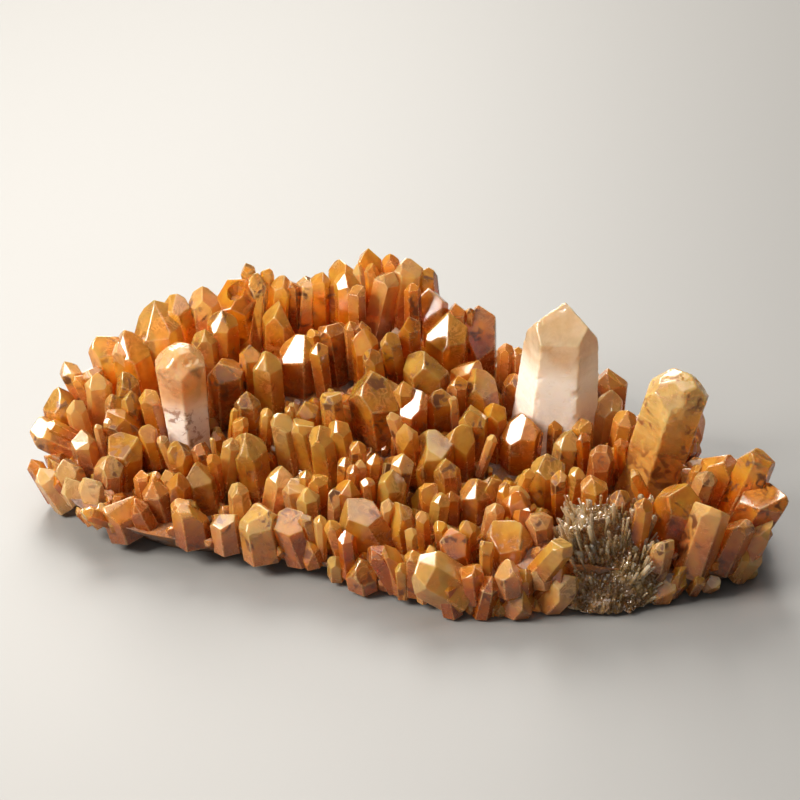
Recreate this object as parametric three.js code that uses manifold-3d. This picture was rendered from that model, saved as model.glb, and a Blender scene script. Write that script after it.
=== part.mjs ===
// Iron-stained quartz crystals on a thin plate of matrix.
//
// Frame: millimetres, +Z up, origin under the middle of the plate on the
// surface it rests on. +X runs to the right along the plate, +Y away.
//
// The plate is one rock with a flat underside. On it stand clusters of
// six-sided quartz crystals that lean outwards towards the rim. Crystals that
// grew into one another are joined in one solid; clusters are kept apart by a
// small gap, as are the crystals and the rock they stand on.

import * as THREE from 'three';
import { ConvexGeometry } from 'three/addons/geometries/ConvexGeometry.js';
import { mergeVertices } from 'three/addons/utils/BufferGeometryUtils.js';
import Module from 'manifold-3d';

// ---------------------------------------------------------------- dimensions
const GAP = 0.3;                 // clearance between neighbouring solids
const FLOOR = 0.45;              // crystals stay this far above the resting surface
const PRISM_RADIUS = 0.47;       // face distance of a prism, as a share of its width
const SHOULDER = 0.6;            // height of a pointed end, as a share of its width
const MERGE = 0.2;               // corners closer than this share of the width meet in one
const POINT_SLOPE = 39;          // degrees between a point's face normal and the base
const CENTRE_X = -0.566;        // middle of the plate in the table below
const CENTRE_Y = -1.767;
const UNDERSIDE_INSET = 0.84;    // flat underside, as a share of the rim radius
const LOWER_RIM = 0.965;         // lower rim of the plate, as a share of the rim radius
const RING_SHARES = [0.25, 0.45, 0.62, 0.77, 0.9, 1];  // rings of the upper surface
const CENTRE_HEIGHT = 16.22;

// The plate, one row for each direction around it:
// rim radius, height of the lower rim, then the upper surface on each ring.
const PLATE = [
  [64.61, 2, 12.92, 9.99, 8.84, 7.25, 5.53, 5],
  [58.78, 2.34, 13.89, 11.52, 9.37, 7.68, 6.5, 6.12],
  [53.18, 2.6, 15, 13.43, 11.41, 8.55, 7.29, 7.06],
  [48.64, 2.6, 16.14, 15.29, 13.61, 10.04, 7.83, 7.34],
  [44.95, 2.6, 17.23, 17.14, 15.67, 11.63, 8.53, 7.62],
  [41.79, 2.6, 18.18, 18.93, 17.79, 13.24, 9.17, 7.91],
  [39.93, 2.6, 18.98, 20.47, 19.86, 14.73, 9.74, 8.12],
  [38.29, 2.6, 19.56, 21.63, 21.48, 15.93, 10.22, 8.31],
  [38.46, 2.6, 20.06, 22.45, 22.57, 16.72, 10.57, 8.5],
  [39.06, 2.6, 20.37, 22.83, 22.96, 16.94, 10.61, 8.5],
  [40.2, 2.6, 20.49, 22.8, 22.73, 16.73, 10.54, 8.5],
  [44.28, 2.62, 20.6, 22.56, 22.21, 16.31, 10.38, 8.44],
  [48.94, 2.7, 20.42, 21.95, 21.49, 15.87, 10.14, 8.25],
  [55.61, 2.77, 19.94, 21.1, 20.92, 15.21, 9.75, 8.06],
  [62.76, 3.1, 18.94, 19.67, 19.5, 13.62, 8.99, 7.88],
  [66.75, 3.55, 17.33, 16.85, 15.69, 10.74, 8.2, 7.69],
  [68.42, 4, 15.44, 13.22, 10.43, 8.28, 7.55, 7.5],
  [67.06, 4.56, 13.56, 10.11, 6.84, 7.02, 7.22, 7.22],
  [59.92, 4.73, 12.23, 8.2, 6.2, 6.57, 6.63, 6.63],
  [47.94, 3.53, 12.11, 7.62, 4.73, 4.96, 4.98, 4.98],
  [40.62, 2.85, 12.06, 7.37, 4.26, 4.38, 4.4, 4.4],
  [37.52, 2.31, 11.82, 6.98, 3.82, 3.99, 4.01, 4.01],
  [36.21, 2.36, 11.53, 6.63, 3.93, 4.1, 4.12, 4.12],
  [37.62, 2.15, 10.96, 5.89, 3.85, 4.03, 4.05, 4.05],
  [40.99, 1.4, 10.28, 4.91, 3.43, 3.58, 3.6, 3.6],
  [45.83, 0.8, 9.61, 3.87, 3, 3.13, 3.15, 3.15],
  [49.68, 0.5, 9.39, 4.97, 5.23, 5.47, 5.5, 5.5],
  [52.25, 0.58, 10.14, 10.18, 10.72, 11.21, 11.27, 11.27],
  [59.11, 0.8, 9.9, 9.93, 10.47, 10.94, 11, 11],
  [70.3, 0.97, 9.44, 5.62, 5.94, 6.21, 6.24, 6.24],
  [75.58, 1.32, 10.29, 6.27, 4.94, 4.46, 4.47, 4.47],
  [70.57, 1.66, 11.79, 8.48, 7.34, 5.3, 4.55, 4.55],
];

// The crystals of each cluster. A row holds the root (x, y, z), the direction
// of growth (x, y, z), length, width, turn about the axis in degrees, taper in
// degrees, form (0 pointed, 1 broken flat, 2 rounded, 3 strongly rounded), the
// number that sets its unequal faces, and any further face as a normal in the
// crystal's own axes with its distance.
const CLUSTERS = {
  golden_right_crystal: { color: 0xd9a552, crystals: [
    [47.785, -12.826, 4.612, 0.22, -0.068, 0.973, 31.95, 12.16, 14, 0, 3, 2260],
  ] },
  milky_centre_crystal: { color: 0xe6d6c6, crystals: [
    [30.647, 3.183, 8.973, 0.05, -0.035, 0.998, 33.95, 14.197, -5, -3.2, 2, 2232],
  ] },
  milky_left_crystal: { color: 0xe6d6c6, crystals: [
    [-41.481, -1.109, 8.846, -0.081, -0.07, 0.994, 27.2, 9.642, 34, 2.2, 3, 1014],
  ] },
  upper_left_crystals_1: { color: 0xdcb48a, crystals: [
    [-42.409, 18.722, 15.888, -0.245, 0.058, 0.968, 21.617, 7.853, 47, -1.2, 0, 1000],
    [-45.927, 16.728, 11.73, -0.161, 0.045, 0.986, 24.2, 10.881, 54, -0.5, 0, 1007],
    [-54.84, 13.092, 10.139, -0.272, 0.049, 0.961, 21.534, 7.821, 8, -1.7, 2, 1028],
    [-51.137, 12.486, 9.301, -0.212, 0.018, 0.977, 22.45, 8.236, 42, -1.1, 2, 1035],
    [-54.032, 11.232, 16.134, -0.198, 0.005, 0.98, 14.142, 4.978, 39, -0.2, 0, 1042],
    [-38.511, 19.823, 17.176, -0.093, 0.047, 0.995, 20.257, 6.113, 57, -0.1, 0, 1021],
  ] },
  upper_mid_left_crystals_1: { color: 0xc8862f, crystals: [
    [-32.345, 26.468, 14.057, -0.05, -0.31, 0.949, 26.5, 7.816, 52, 1.3, 1, 1371],
    [-31.242, 20.762, 17.454, 0.083, 0.037, 0.996, 22.95, 5.888, 22, -0.4, 0, 1385],
    [-25.714, 21.814, 25.129, 0.128, 0.04, 0.991, 14.267, 5.026, 59, -0.3, 0, 1399],
    [-23.94, 16.608, 19.743, -0.012, -0.001, 1, 16.45, 7.381, 38, -1.1, 0, 1413],
    [-20.606, 10.824, 18.709, 0.033, -0.047, 0.998, 13.45, 7.764, 43, 0.1, 0, 1518, [0.651, -0.432, 0.624, 7.622]],
  ] },
  front_right_crystals_1: { color: 0xdcb48a, crystals: [
    [57.099, -21.049, 3.269, 0.347, 0.048, 0.937, 20.2, 7.461, 42, -1, 0, 2323],
    [62.828, -24.578, 3.159, 0.312, 0.045, 0.949, 21.2, 6.587, 2, -1.5, 1, 2330],
    [64.272, -27.571, 3.26, 0.395, -0.118, 0.911, 16.95, 8.186, 10, 1.5, 1, 2337],
    [64.741, -32.22, 4.04, 0.578, -0.054, 0.814, 11.95, 5.724, 49, -1.8, 0, 2351],
    [65.533, -20.504, 3.779, 0.743, -0.284, 0.606, 6.677, 5.774, 15, -1.5, 0, 5440],
    [59.161, -15.414, 3.901, 0.706, -0.279, 0.651, 11.861, 5.756, 23, -1.3, 0, 5913],
  ] },
  upper_centre_crystals_1: { color: 0xd9a552, crystals: [
    [16.641, 19.054, 15.497, -0.027, 0.05, 0.998, 17.95, 7.218, 21, 1.2, 0, 1616],
    [6.096, 20.644, 19.535, 0.013, 0.044, 0.999, 17.95, 6.774, 1, -1.4, 0, 1595],
    [9.755, 16.381, 17.967, 0.014, 0.022, 1, 15.45, 8.706, 18, 1, 0, 1623, [0.688, -0.454, 0.566, 8.966]],
    [18.837, 21.985, 13.911, 0.207, 0.29, 0.934, 8.25, 5.614, 3, 0.5, 0, 5308],
    [5.145, 24.554, 18.547, 0.055, 0.491, 0.87, 13.04, 5.974, 48, -0.9, 0, 5726],
  ] },
  upper_centre_crystals_2: { color: 0xdcb48a, crystals: [
    [1.926, 28.761, 15.493, 0.197, 0.617, 0.762, 14.501, 5.777, 33, 0.4, 0, 5121],
    [-5.487, 24.396, 28.36, -0.04, 0.052, 0.998, 15.922, 5.246, 23, -1.5, 0, 1448],
    [-6.236, 20.633, 21.563, 0.195, 0.03, 0.98, 20.45, 5.442, 33, -0.3, 0, 1469],
    [-0.481, 23.217, 23.22, 0.128, 0.051, 0.99, 19.654, 6.555, 18, 0.8, 0, 1581],
    [-1.362, 27.799, 17.029, -0.018, 0.552, 0.834, 15.638, 5.634, 54, 0.6, 0, 5462],
    [-2.145, 25.245, 19.768, -0.007, 0.431, 0.902, 18.792, 5.77, 4, -0.3, 0, 6144],
  ] },
  middle_centre_crystals_1: { color: 0xc8862f, crystals: [
    [14.974, -4.273, 10.547, -0.039, -0.103, 0.994, 13.7, 5.505, 9, 0.1, 0, 1973],
    [18.831, -2.728, 10.215, 0.017, -0.081, 0.997, 13.45, 4.887, 39, -1.5, 0, 1980],
    [24.053, -3.773, 8.962, 0.029, -0.076, 0.997, 12.95, 8.499, 2, 0.5, 0, 1987, [0.596, -0.485, 0.64, 8.138]],
    [12.226, -8.921, 8.879, -0.045, -0.113, 0.993, 13.95, 5.89, 49, 0.7, 0, 1994],
    [6.766, -11.515, 8.58, -0.075, -0.121, 0.99, 14.45, 8.167, 2, 0.3, 0, 2029],
  ] },
  front_right_crystals_2: { color: 0xdcb48a, crystals: [
    [49.558, -31.371, 4.62, 0.281, -0.109, 0.954, 17.95, 8.925, 4, -0.2, 0, 2316],
    [55.687, -36.539, 4.776, 0.238, -0.064, 0.969, 16.2, 6.856, 48, -1.2, 1, 2365],
    [54.535, -26.642, 4.195, 0.515, -0.472, 0.715, 11.431, 5.635, 7, -0.3, 0, 5099],
    [61.318, -35.016, 4.365, 0.309, -0.063, 0.949, 11.7, 6.095, 50, -0.4, 1, 2379],
  ] },
  middle_left_crystals_1: { color: 0xc8862f, crystals: [
    [-48.448, 1.346, 12.18, -0.174, -0.107, 0.979, 12.859, 4.484, 46, -1.5, 0, 1112],
    [-48.216, -0.653, 8.241, -0.648, -0.088, 0.756, 16.745, 5.979, 23, -0.7, 0, 1154],
    [-55.471, -5.577, 6.143, 0.087, -0.13, 0.988, 13.45, 8.057, 35, -0.4, 0, 1161],
    [-58.087, -9.825, 6.03, 0.097, -0.128, 0.987, 10.45, 5.916, 17, 0.6, 0, 1224],
    [-60.231, -12.499, 5.946, -0.277, -0.084, 0.957, 6.527, 5.074, 47, -2, 0, 1252],
  ] },
  middle_centre_crystals_2: { color: 0xc8862f, crystals: [
    [-3.78, -0.69, 14.265, -0.089, -0.107, 0.99, 15.45, 10.595, 16, 0.1, 0, 1714, [0.591, -0.365, 0.72, 12.245]],
    [2.147, -3.501, 12.821, 0.041, -0.109, 0.993, 14.95, 5.916, 27, -2, 0, 1952, [0.587, -0.473, 0.657, 8.618]],
  ] },
  back_centre_crystals_1: { color: 0xd9a552, crystals: [
    [-5.7, 31.58, 12.449, -0.124, 0.716, 0.687, 15.112, 5.782, 19, -1.1, 0, 5319],
    [-5.62, 29.603, 14.936, 0.041, 0.699, 0.714, 18.357, 5.965, 33, -0.9, 0, 5836],
    [-1.195, 33.606, 10.006, 0.019, 0.783, 0.621, 13.633, 5.866, 17, 0.5, 0, 5286],
    [-1.874, 31.365, 12.816, 0.05, 0.771, 0.634, 17.869, 5.553, 41, -0.3, 0, 6067],
  ] },
  middle_mid_left_crystals_1: { color: 0xc8862f, crystals: [
    [-34.315, 6.245, 14.713, -0.033, -0.089, 0.995, 15.7, 8.139, 12, -1.4, 0, 1497],
    [-30.061, 7.349, 16.856, 0, -0.079, 0.997, 14.645, 4.503, 7, -0.4, 0, 1504],
    [-26.273, 6.507, 16.179, -0.039, -0.085, 0.996, 14.45, 6.215, 41, -1.3, 0, 1511],
  ] },
  middle_left_crystals_2: { color: 0xdcb48a, crystals: [
    [-66.815, 5.713, 6.175, -0.138, -0.009, 0.99, 16.95, 6.904, 19, 0.4, 2, 1070],
    [-60.29, 2.764, 7.098, -0.869, -0.043, 0.493, 17.45, 6.476, 35, -0.7, 0, 1119],
    [-62.472, -2.419, 6.269, -0.121, -0.127, 0.984, 11.45, 5.125, 0, -1.6, 0, 1133],
  ] },
  front_centre_crystals_1: { color: 0xd9a552, crystals: [
    [-11.481, -23.565, 4.806, 0.136, -0.112, 0.984, 13.535, 4.744, 43, -0.6, 0, 1847],
    [-2.261, -30.355, 2.648, -0.503, 0.06, 0.862, 15.7, 8.207, 55, 0.1, 0, 1910],
    [1.732, -29.836, 2.207, -0.157, -0.103, 0.982, 14.7, 5.111, 24, -1.7, 0, 2113],
  ] },
  upper_centre_crystals_3: { color: 0xc8862f, crystals: [
    [-16.347, 22.37, 20.831, 0, 0.043, 0.999, 19.2, 4.591, 54, -0.6, 0, 1427],
    [-12.913, 23.502, 25.174, 0.098, 0.048, 0.994, 17.116, 6.122, 40, -0.3, 0, 1434],
    [-10.426, 20.809, 21.214, -0.029, 0.03, 0.999, 19.45, 5.23, 47, -0.6, 0, 1441, [0.712, -0.407, 0.573, 11.66]],
  ] },
  middle_centre_crystals_3: { color: 0xc8862f, crystals: [
    [13.467, 7.113, 13.81, 0, -0.032, 0.999, 14.95, 6.237, 54, -1.8, 0, 1665],
    [16.532, 4.314, 12.278, -0.099, -0.048, 0.994, 15.2, 7.714, 46, -2, 0, 1931],
  ] },
  front_centre_crystals_2: { color: 0xb8621c, crystals: [
    [11.552, -37.568, 3.057, -0.156, -0.09, 0.984, 10.95, 5.468, 9, -1.8, 1, 2148],
    [14.308, -44.614, 3.264, -0.129, -0.069, 0.989, 9.2, 4.812, 39, 0.9, 0, 1322],
    [12.151, -43.12, 3.023, -0.796, -0.063, 0.602, 11.95, 8.86, 22, 1.4, 1, 2197],
  ] },
  back_mid_left_crystals_1: { color: 0xb8621c, crystals: [
    [-23.998, 29.318, 12.407, -0.288, 0.662, 0.692, 10.178, 5.783, 25, 0.8, 0, 5264],
    [-20.799, 31.217, 10.981, -0.268, 0.757, 0.596, 14.556, 5.927, 45, -1.1, 0, 6045],
    [-20.468, 27.168, 15.528, -0.286, 0.517, 0.807, 14.558, 5.781, 26, -0.4, 0, 5902],
  ] },
  middle_centre_crystals_4: { color: 0xd9a552, crystals: [
    [5.9, 5.718, 15.622, -0.071, -0.056, 0.996, 15.45, 8.777, 58, -1.4, 0, 1630],
  ] },
  front_left_crystals_1: { color: 0x8d5326, crystals: [
    [-46.675, -17.867, 5.266, -0.182, -0.093, 0.979, 9.7, 6.27, 46, 0.6, 0, 1273],
    [-53.185, -19.313, 2.741, -0.287, -0.033, 0.957, 9.549, 7.951, 29, -0.5, 1, 1259],
    [-49.46, -21.102, 5.396, -0.358, -0.066, 0.931, 7.2, 4.588, 47, -0.9, 0, 1364],
  ] },
  middle_mid_left_crystals_2: { color: 0xd9a552, crystals: [
    [-21.446, -6.801, 9.323, -0.142, -0.127, 0.982, 14.2, 4.64, 42, -1.9, 1, 1721],
    [-17.556, -6.85, 9.62, -0.169, -0.125, 0.978, 13.95, 5.062, 36, -1.2, 0, 1728],
    [-14.235, -9.83, 7.994, -0.098, -0.13, 0.987, 14.95, 5.458, 43, -1.7, 0, 1735],
  ] },
  upper_mid_left_crystals_2: { color: 0xc8862f, crystals: [
    [-35.985, 14.092, 18.354, 0, -0.017, 1, 16.95, 6.057, 56, -1.9, 0, 1483, [0.682, -0.386, 0.621, 10.737]],
    [-38.396, 12.175, 17.28, -0.065, -0.028, 0.997, 15.248, 5.403, 55, 0.7, 0, 1490],
  ] },
  front_mid_left_crystals_1: { color: 0xdcb48a, crystals: [
    [-25.216, -18.149, 3.574, 0.154, -0.112, 0.982, 14.725, 5.202, 13, -0.4, 0, 1784],
    [-18.469, -20.981, 2.895, -0.157, -0.103, 0.982, 14.45, 4.976, 7, -1.9, 0, 1791],
    [-16.985, -23.833, 2.799, -0.071, -0.097, 0.993, 13.7, 4.544, 20, -0.4, 0, 1882],
  ] },
  front_mid_right_crystals_1: { color: 0xdcb48a, crystals: [
    [20.989, -35.609, 6.137, 0.04, -0.1, 0.994, 10.351, 8.715, 58, 0.1, 0, 2169],
    [26.979, -34.625, 9.809, -0.1, -0.101, 0.99, 8.2, 5.273, 10, 0.5, 0, 2183],
  ] },
  middle_mid_left_crystals_3: { color: 0x8d5326, crystals: [
    [-37.855, -9.877, 6.741, -0.098, -0.137, 0.986, 13.24, 4.631, 8, 1, 0, 1301],
    [-38.795, -14.392, 5.094, -0.121, -0.116, 0.986, 12.7, 7.541, 15, -1.3, 0, 1861],
  ] },
  front_mid_left_crystals_2: { color: 0xc8862f, crystals: [
    [-18.708, -29.037, 2.786, -0.278, -0.068, 0.958, 11.45, 6.164, 23, 0.3, 1, 1315],
    [-26.251, -27.984, 3.016, -0.144, -0.067, 0.987, 10.2, 7.415, 4, -1.6, 1, 1875],
  ] },
  upper_left_crystals_2: { color: 0x8d5326, crystals: [
    [-45.084, 23.775, 9.533, -0.572, 0.462, 0.678, 13.64, 5.502, 18, -0.5, 0, 5275],
    [-41.768, 21.891, 12.009, -0.413, 0.442, 0.796, 15.893, 5.906, 30, -1.5, 0, 5979],
  ] },
  back_centre_crystals_2: { color: 0xdcb48a, crystals: [
    [9.836, 30.311, 11.802, 0.215, 0.698, 0.683, 12.704, 5.72, 59, 1.1, 0, 5418],
    [13.62, 31.843, 9.392, 0.254, 0.743, 0.62, 15.45, 5.509, 46, -0.3, 0, 6320],
  ] },
  upper_mid_right_crystals_1: { color: 0x8d5326, crystals: [
    [41.583, 9.624, 6.805, 0.094, 0.06, 0.994, 17.7, 6.734, 22, -1.4, 2, 2239],
  ] },
  front_mid_right_crystals_2: { color: 0xd9a552, crystals: [
    [28.755, -15.953, 4.514, 0.031, -0.122, 0.992, 15.2, 7.088, 21, -0.3, 0, 2057],
  ] },
  upper_mid_right_crystals_2: { color: 0xb8621c, crystals: [
    [32.821, 12.83, 9.288, 0.27, 0.149, 0.951, 10.929, 5.889, 4, -0.5, 0, 5374],
    [27.998, 14.071, 11.166, 0.339, 0.219, 0.915, 11.44, 5.686, 4, 1.5, 0, 5924],
  ] },
  middle_left_crystals_3: { color: 0xdcb48a, crystals: [
    [-58.946, 8.166, 13.345, -0.313, -0.01, 0.95, 13.555, 4.752, 44, -0.6, 0, 1056],
    [-61.225, 6.757, 10.21, 0, -0.043, 0.999, 15.207, 5.387, 5, 1.3, 0, 1077],
  ] },
  upper_centre_crystals_4: { color: 0xb8621c, crystals: [
    [1.609, 11.142, 18.779, 0, -0.028, 1, 16.95, 4.949, 33, -1.9, 0, 1651],
    [0.109, 7.875, 18.433, -0.157, -0.054, 0.986, 15.966, 4.499, 44, -0.6, 0, 1658],
  ] },
  front_centre_crystals_3: { color: 0xdcb48a, crystals: [
    [-1.187, -18.652, 8.478, 0.15, -0.135, 0.979, 13.057, 4.56, 20, 1.1, 0, 2022, [0.545, -0.544, 0.638, 8.611]],
    [-2.035, -21.957, 4.679, 0.045, -0.13, 0.991, 15.152, 5.366, 18, -1.1, 0, 2092],
  ] },
  middle_mid_left_crystals_4: { color: 0xd9a552, crystals: [
    [-28.568, -10.183, 6.733, -0.113, -0.138, 0.984, 14.7, 6.932, 48, 0.7, 0, 1749],
  ] },
  upper_mid_right_crystals_3: { color: 0xc8862f, crystals: [
    [27.217, 26.649, 8.552, 0.389, 0.65, 0.653, 13.085, 5.625, 17, -0.1, 0, 5627],
    [22.756, 26.215, 10.231, 0.288, 0.549, 0.784, 8.28, 5.676, 15, -0.1, 0, 5649],
  ] },
  front_mid_right_crystals_3: { color: 0xc8862f, crystals: [
    [14.692, -23.283, 8.483, 0.037, -0.137, 0.99, 9.7, 6.193, 39, -1.5, 0, 2064, [0.533, -0.487, 0.692, 6.907]],
    [17.775, -22.642, 8.996, -0.021, -0.135, 0.991, 9.45, 5.166, 50, -0.9, 0, 2071],
  ] },
  upper_centre_crystals_5: { color: 0x8d5326, crystals: [
    [-12.585, 12.752, 20.045, -0.103, -0.029, 0.994, 14.95, 6.261, 35, 0.8, 2, 1532],
  ] },
  back_mid_left_crystals_2: { color: 0xb8621c, crystals: [
    [-36.154, 27.578, 10.406, -0.457, 0.615, 0.642, 15.574, 5.912, 41, -0.3, 0, 5022],
  ] },
  front_mid_right_crystals_4: { color: 0xdcb48a, crystals: [
    [22.691, -26.029, 9.174, -0.024, -0.136, 0.99, 8.95, 4.728, 52, -1.9, 0, 2085],
    [21.967, -27.113, 9.371, 0.099, -0.132, 0.986, 8.7, 5.952, 2, -1.9, 0, 2162],
  ] },
  middle_mid_right_crystals_1: { color: 0xdcb48a, crystals: [
    [40.968, 2.053, 7.387, 0.081, -0.011, 0.997, 16.2, 5.575, 15, -1.1, 0, 2246, [0.637, -0.537, 0.552, 8.738]],
  ] },
  middle_left_crystals_4: { color: 0xe2d5c4, crystals: [
    [-64.896, -7.298, 6.173, -0.302, -0.1, 0.948, 7.2, 5.537, 2, -0.2, 0, 1231],
    [-66.858, -6.379, 1.465, -0.484, -0.058, 0.873, 10.45, 4.702, 3, -1.1, 0, 1245],
  ] },
  back_centre_crystals_3: { color: 0xd9a552, crystals: [
    [-12.438, 30.749, 12.197, -0.175, 0.706, 0.686, 14.595, 5.529, 51, -1.2, 0, 6012],
  ] },
  upper_left_crystals_3: { color: 0xc8862f, crystals: [
    [-56.754, 20.251, 7.405, -0.662, 0.302, 0.686, 12.671, 5.915, 52, 1.9, 0, 5759],
  ] },
  middle_left_crystals_5: { color: 0xb8621c, crystals: [
    [-41.232, 6.364, 13.238, -0.203, 0.079, 0.976, 14.006, 5.607, 49, -0.2, 0, 5748],
  ] },
  back_centre_crystals_4: { color: 0x8d5326, crystals: [
    [-8.807, 26.309, 18.059, -0.189, 0.514, 0.837, 14.466, 5.5, 11, 1.8, 0, 5187],
  ] },
  middle_mid_right_crystals_2: { color: 0xd8b878, crystals: [
    [31.988, -7.946, 6.531, 0.124, -0.101, 0.987, 14.2, 5.49, 5, 0.9, 0, 2281],
  ] },
  front_mid_right_crystals_5: { color: 0x8d5326, crystals: [
    [37.451, -25.067, 4.822, -0.016, -0.131, 0.991, 15.95, 5.128, 34, 1.3, 0, 2302],
  ] },
  middle_centre_crystals_5: { color: 0xc8862f, crystals: [
    [8.027, -0.925, 12.943, -0.036, -0.091, 0.995, 13.45, 5.526, 16, 1.4, 0, 1959],
  ] },
  upper_centre_crystals_6: { color: 0xb8621c, crystals: [
    [-6.455, 8.506, 18.918, -0.062, -0.056, 0.996, 15.45, 5.146, 52, 0, 0, 1553],
  ] },
  front_mid_left_crystals_3: { color: 0x8d5326, crystals: [
    [-40.144, -24.504, 3.905, -0.098, -0.069, 0.993, 9.2, 6.63, 15, -1.5, 1, 1287],
  ] },
  middle_left_crystals_6: { color: 0xd9a552, crystals: [
    [-54.641, 5.811, 11.739, -0.082, -0.065, 0.995, 14.611, 5.158, 55, -1.9, 0, 1084],
  ] },
  middle_mid_left_crystals_5: { color: 0xc8862f, crystals: [
    [-29.614, -1.592, 11.258, -0.062, -0.119, 0.991, 14.95, 5.092, 0, -1.8, 0, 1679],
  ] },
  middle_right_crystals_1: { color: 0xc8862f, crystals: [
    [53.548, -10.401, 4.256, 0.523, -0.23, 0.821, 11.371, 5.671, 59, 0.4, 0, 5946],
  ] },
  front_mid_right_crystals_6: { color: 0x8d5326, crystals: [
    [38.617, -15.159, 6.709, 0.061, -0.12, 0.991, 15.002, 4.793, 57, -1.4, 0, 2274],
  ] },
};

// The bank of fine needle quartz along the broken edge at the right front,
// as the outer planes of the bank: normal (x, y, z) and a point on the plane.
const NEEDLE_BANK = [
  [[0.05, -0.94, 0.34], [39.5, -43.6, 6]],
  [[-0.35, -0.9, 0.25], [33, -44.2, 5]],
  [[0.5, -0.82, 0.28], [46.5, -42.2, 5]],
  [[-0.93, -0.1, 0.35], [29.4, -41, 8]],
  [[0.93, -0.1, 0.35], [49, -39, 7]],
  [[0, -0.45, 0.89], [40, -42, 16.4]],
  [[-0.5, -0.35, 0.79], [33, -41, 15.4]],
  [[0.55, -0.35, 0.76], [45.5, -39.5, 14.2]],
  [[0, 0.25, 0.97], [41, -36, 18.6]],
  [[0, 1, 0], [41, -31.5, 8]],
  [[0, 0, -1], [41, -42, 0.9]],
];

// ---------------------------------------------------------------- helpers
const wasm = await Module();
wasm.setup();

const radians = (d) => (d * Math.PI) / 180;

// repeatable numbers between 0 and 1
function numbers(seed) {
  let a = seed | 0;
  return () => {
    a = (a + 0x6d2b79f5) | 0;
    let t = Math.imul(a ^ (a >>> 15), 1 | a);
    t = (t + Math.imul(t ^ (t >>> 7), 61 | t)) ^ t;
    return ((t ^ (t >>> 14)) >>> 0) / 4294967296;
  };
}

const slanted = (th, el) =>
  new THREE.Vector3(Math.cos(th) * Math.cos(el), Math.sin(th) * Math.cos(el), Math.sin(el));

// the faces of one crystal in its own axes, as { n, d } with n . x <= d inside
function crystalFaces(row) {
  const [, , , , , , L, w, turn, taper, form, seed] = row;
  const r = numbers(seed);
  const faces = [];
  const hs = L - SHOULDER * w;
  for (let k = 0; k < 6; k++) {
    const th = radians(turn + 60 * k + (r() - 0.5) * 7);
    const d = PRISM_RADIUS * w * (0.9 + 0.2 * r());
    const n = slanted(th, -radians(taper + (r() - 0.5) * 2));
    faces.push({ n, d: n.x * d * Math.cos(th) + n.y * d * Math.sin(th) + n.z * hs });
  }
  const top = L + (form === 1 ? 0.28 * w : form === 3 ? 0.24 * w : 0);
  for (let k = 0; k < 6; k++) {
    const th = radians(turn + 60 * k + (r() - 0.5) * 6);
    const n = slanted(th, radians(POINT_SLOPE + (r() - 0.5) * 7));
    const h = top + (k % 2 === 0 ? r() * 0.07 * w : (0.05 + 0.3 * r()) * w);
    faces.push({ n, d: n.z * h });
  }
  if (form === 1) {
    const th = r() * 2 * Math.PI;
    const n = slanted(th, radians(90 - 6 - 14 * r()));
    faces.push({ n, d: n.z * L - 0.02 * w });
  }
  if (form >= 2) {
    const m = form === 2 ? 8 : 16;
    const a = 0.5 * w;
    const c = (form === 2 ? 0.52 : 0.56) * w;
    for (let k = 0; k < m; k++) {
      const th = ((2 * Math.PI * (k + r() * 0.8)) / m) * (form === 3 ? 3 : 2);
      const n = slanted(th, radians(24 + 56 * r()));
      const rise = Math.sqrt(a * a * (n.x * n.x + n.y * n.y) + c * c * n.z * n.z);
      faces.push({ n, d: n.z * (L - c) + rise });
    }
  }
  for (const e of row.slice(12)) faces.push({ n: new THREE.Vector3(e[0], e[1], e[2]), d: e[3] });
  faces.push({ n: new THREE.Vector3(0, 0, -1), d: 0 });
  return faces;
}

// corner points of the solid that a set of planes bounds
function corners(faces, merge) {
  const points = [];
  const p = new THREE.Vector3();
  const c1 = new THREE.Vector3();
  const c2 = new THREE.Vector3();
  const c3 = new THREE.Vector3();
  for (let i = 0; i < faces.length; i++)
    for (let j = i + 1; j < faces.length; j++)
      for (let k = j + 1; k < faces.length; k++) {
        const A = faces[i];
        const B = faces[j];
        const C = faces[k];
        c1.crossVectors(B.n, C.n);
        const det = A.n.dot(c1);
        if (Math.abs(det) < 1e-4) continue;
        c2.crossVectors(C.n, A.n);
        c3.crossVectors(A.n, B.n);
        p.set(0, 0, 0).addScaledVector(c1, A.d).addScaledVector(c2, B.d).addScaledVector(c3, C.d);
        p.multiplyScalar(1 / det);
        if (faces.some((f) => f.n.dot(p) - f.d > 1e-5)) continue;
        if (points.some((q) => q.distanceTo(p) < merge)) continue;
        points.push(p.clone());
      }
  return points;
}

// a closed geometry as a solid that can be joined and cut
function toSolid(geometry) {
  geometry.deleteAttribute('normal');
  geometry.deleteAttribute('uv');
  const g = mergeVertices(geometry, 1e-5);
  return new wasm.Manifold(
    new wasm.Mesh({
      numProp: 3,
      vertProperties: new Float32Array(g.attributes.position.array),
      triVerts: new Uint32Array(g.index.array),
    }),
  );
}

// back to a geometry with flat faces
function toGeometry(solid) {
  const mesh = solid.getMesh();
  const g = new THREE.BufferGeometry();
  const pos = new Float32Array((mesh.vertProperties.length / mesh.numProp) * 3);
  for (let i = 0; i < pos.length / 3; i++)
    for (let k = 0; k < 3; k++) pos[3 * i + k] = mesh.vertProperties[mesh.numProp * i + k];
  g.setAttribute('position', new THREE.BufferAttribute(pos, 3));
  g.setIndex(new THREE.BufferAttribute(new Uint32Array(mesh.triVerts), 1));
  g.computeVertexNormals();
  return g;
}

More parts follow.
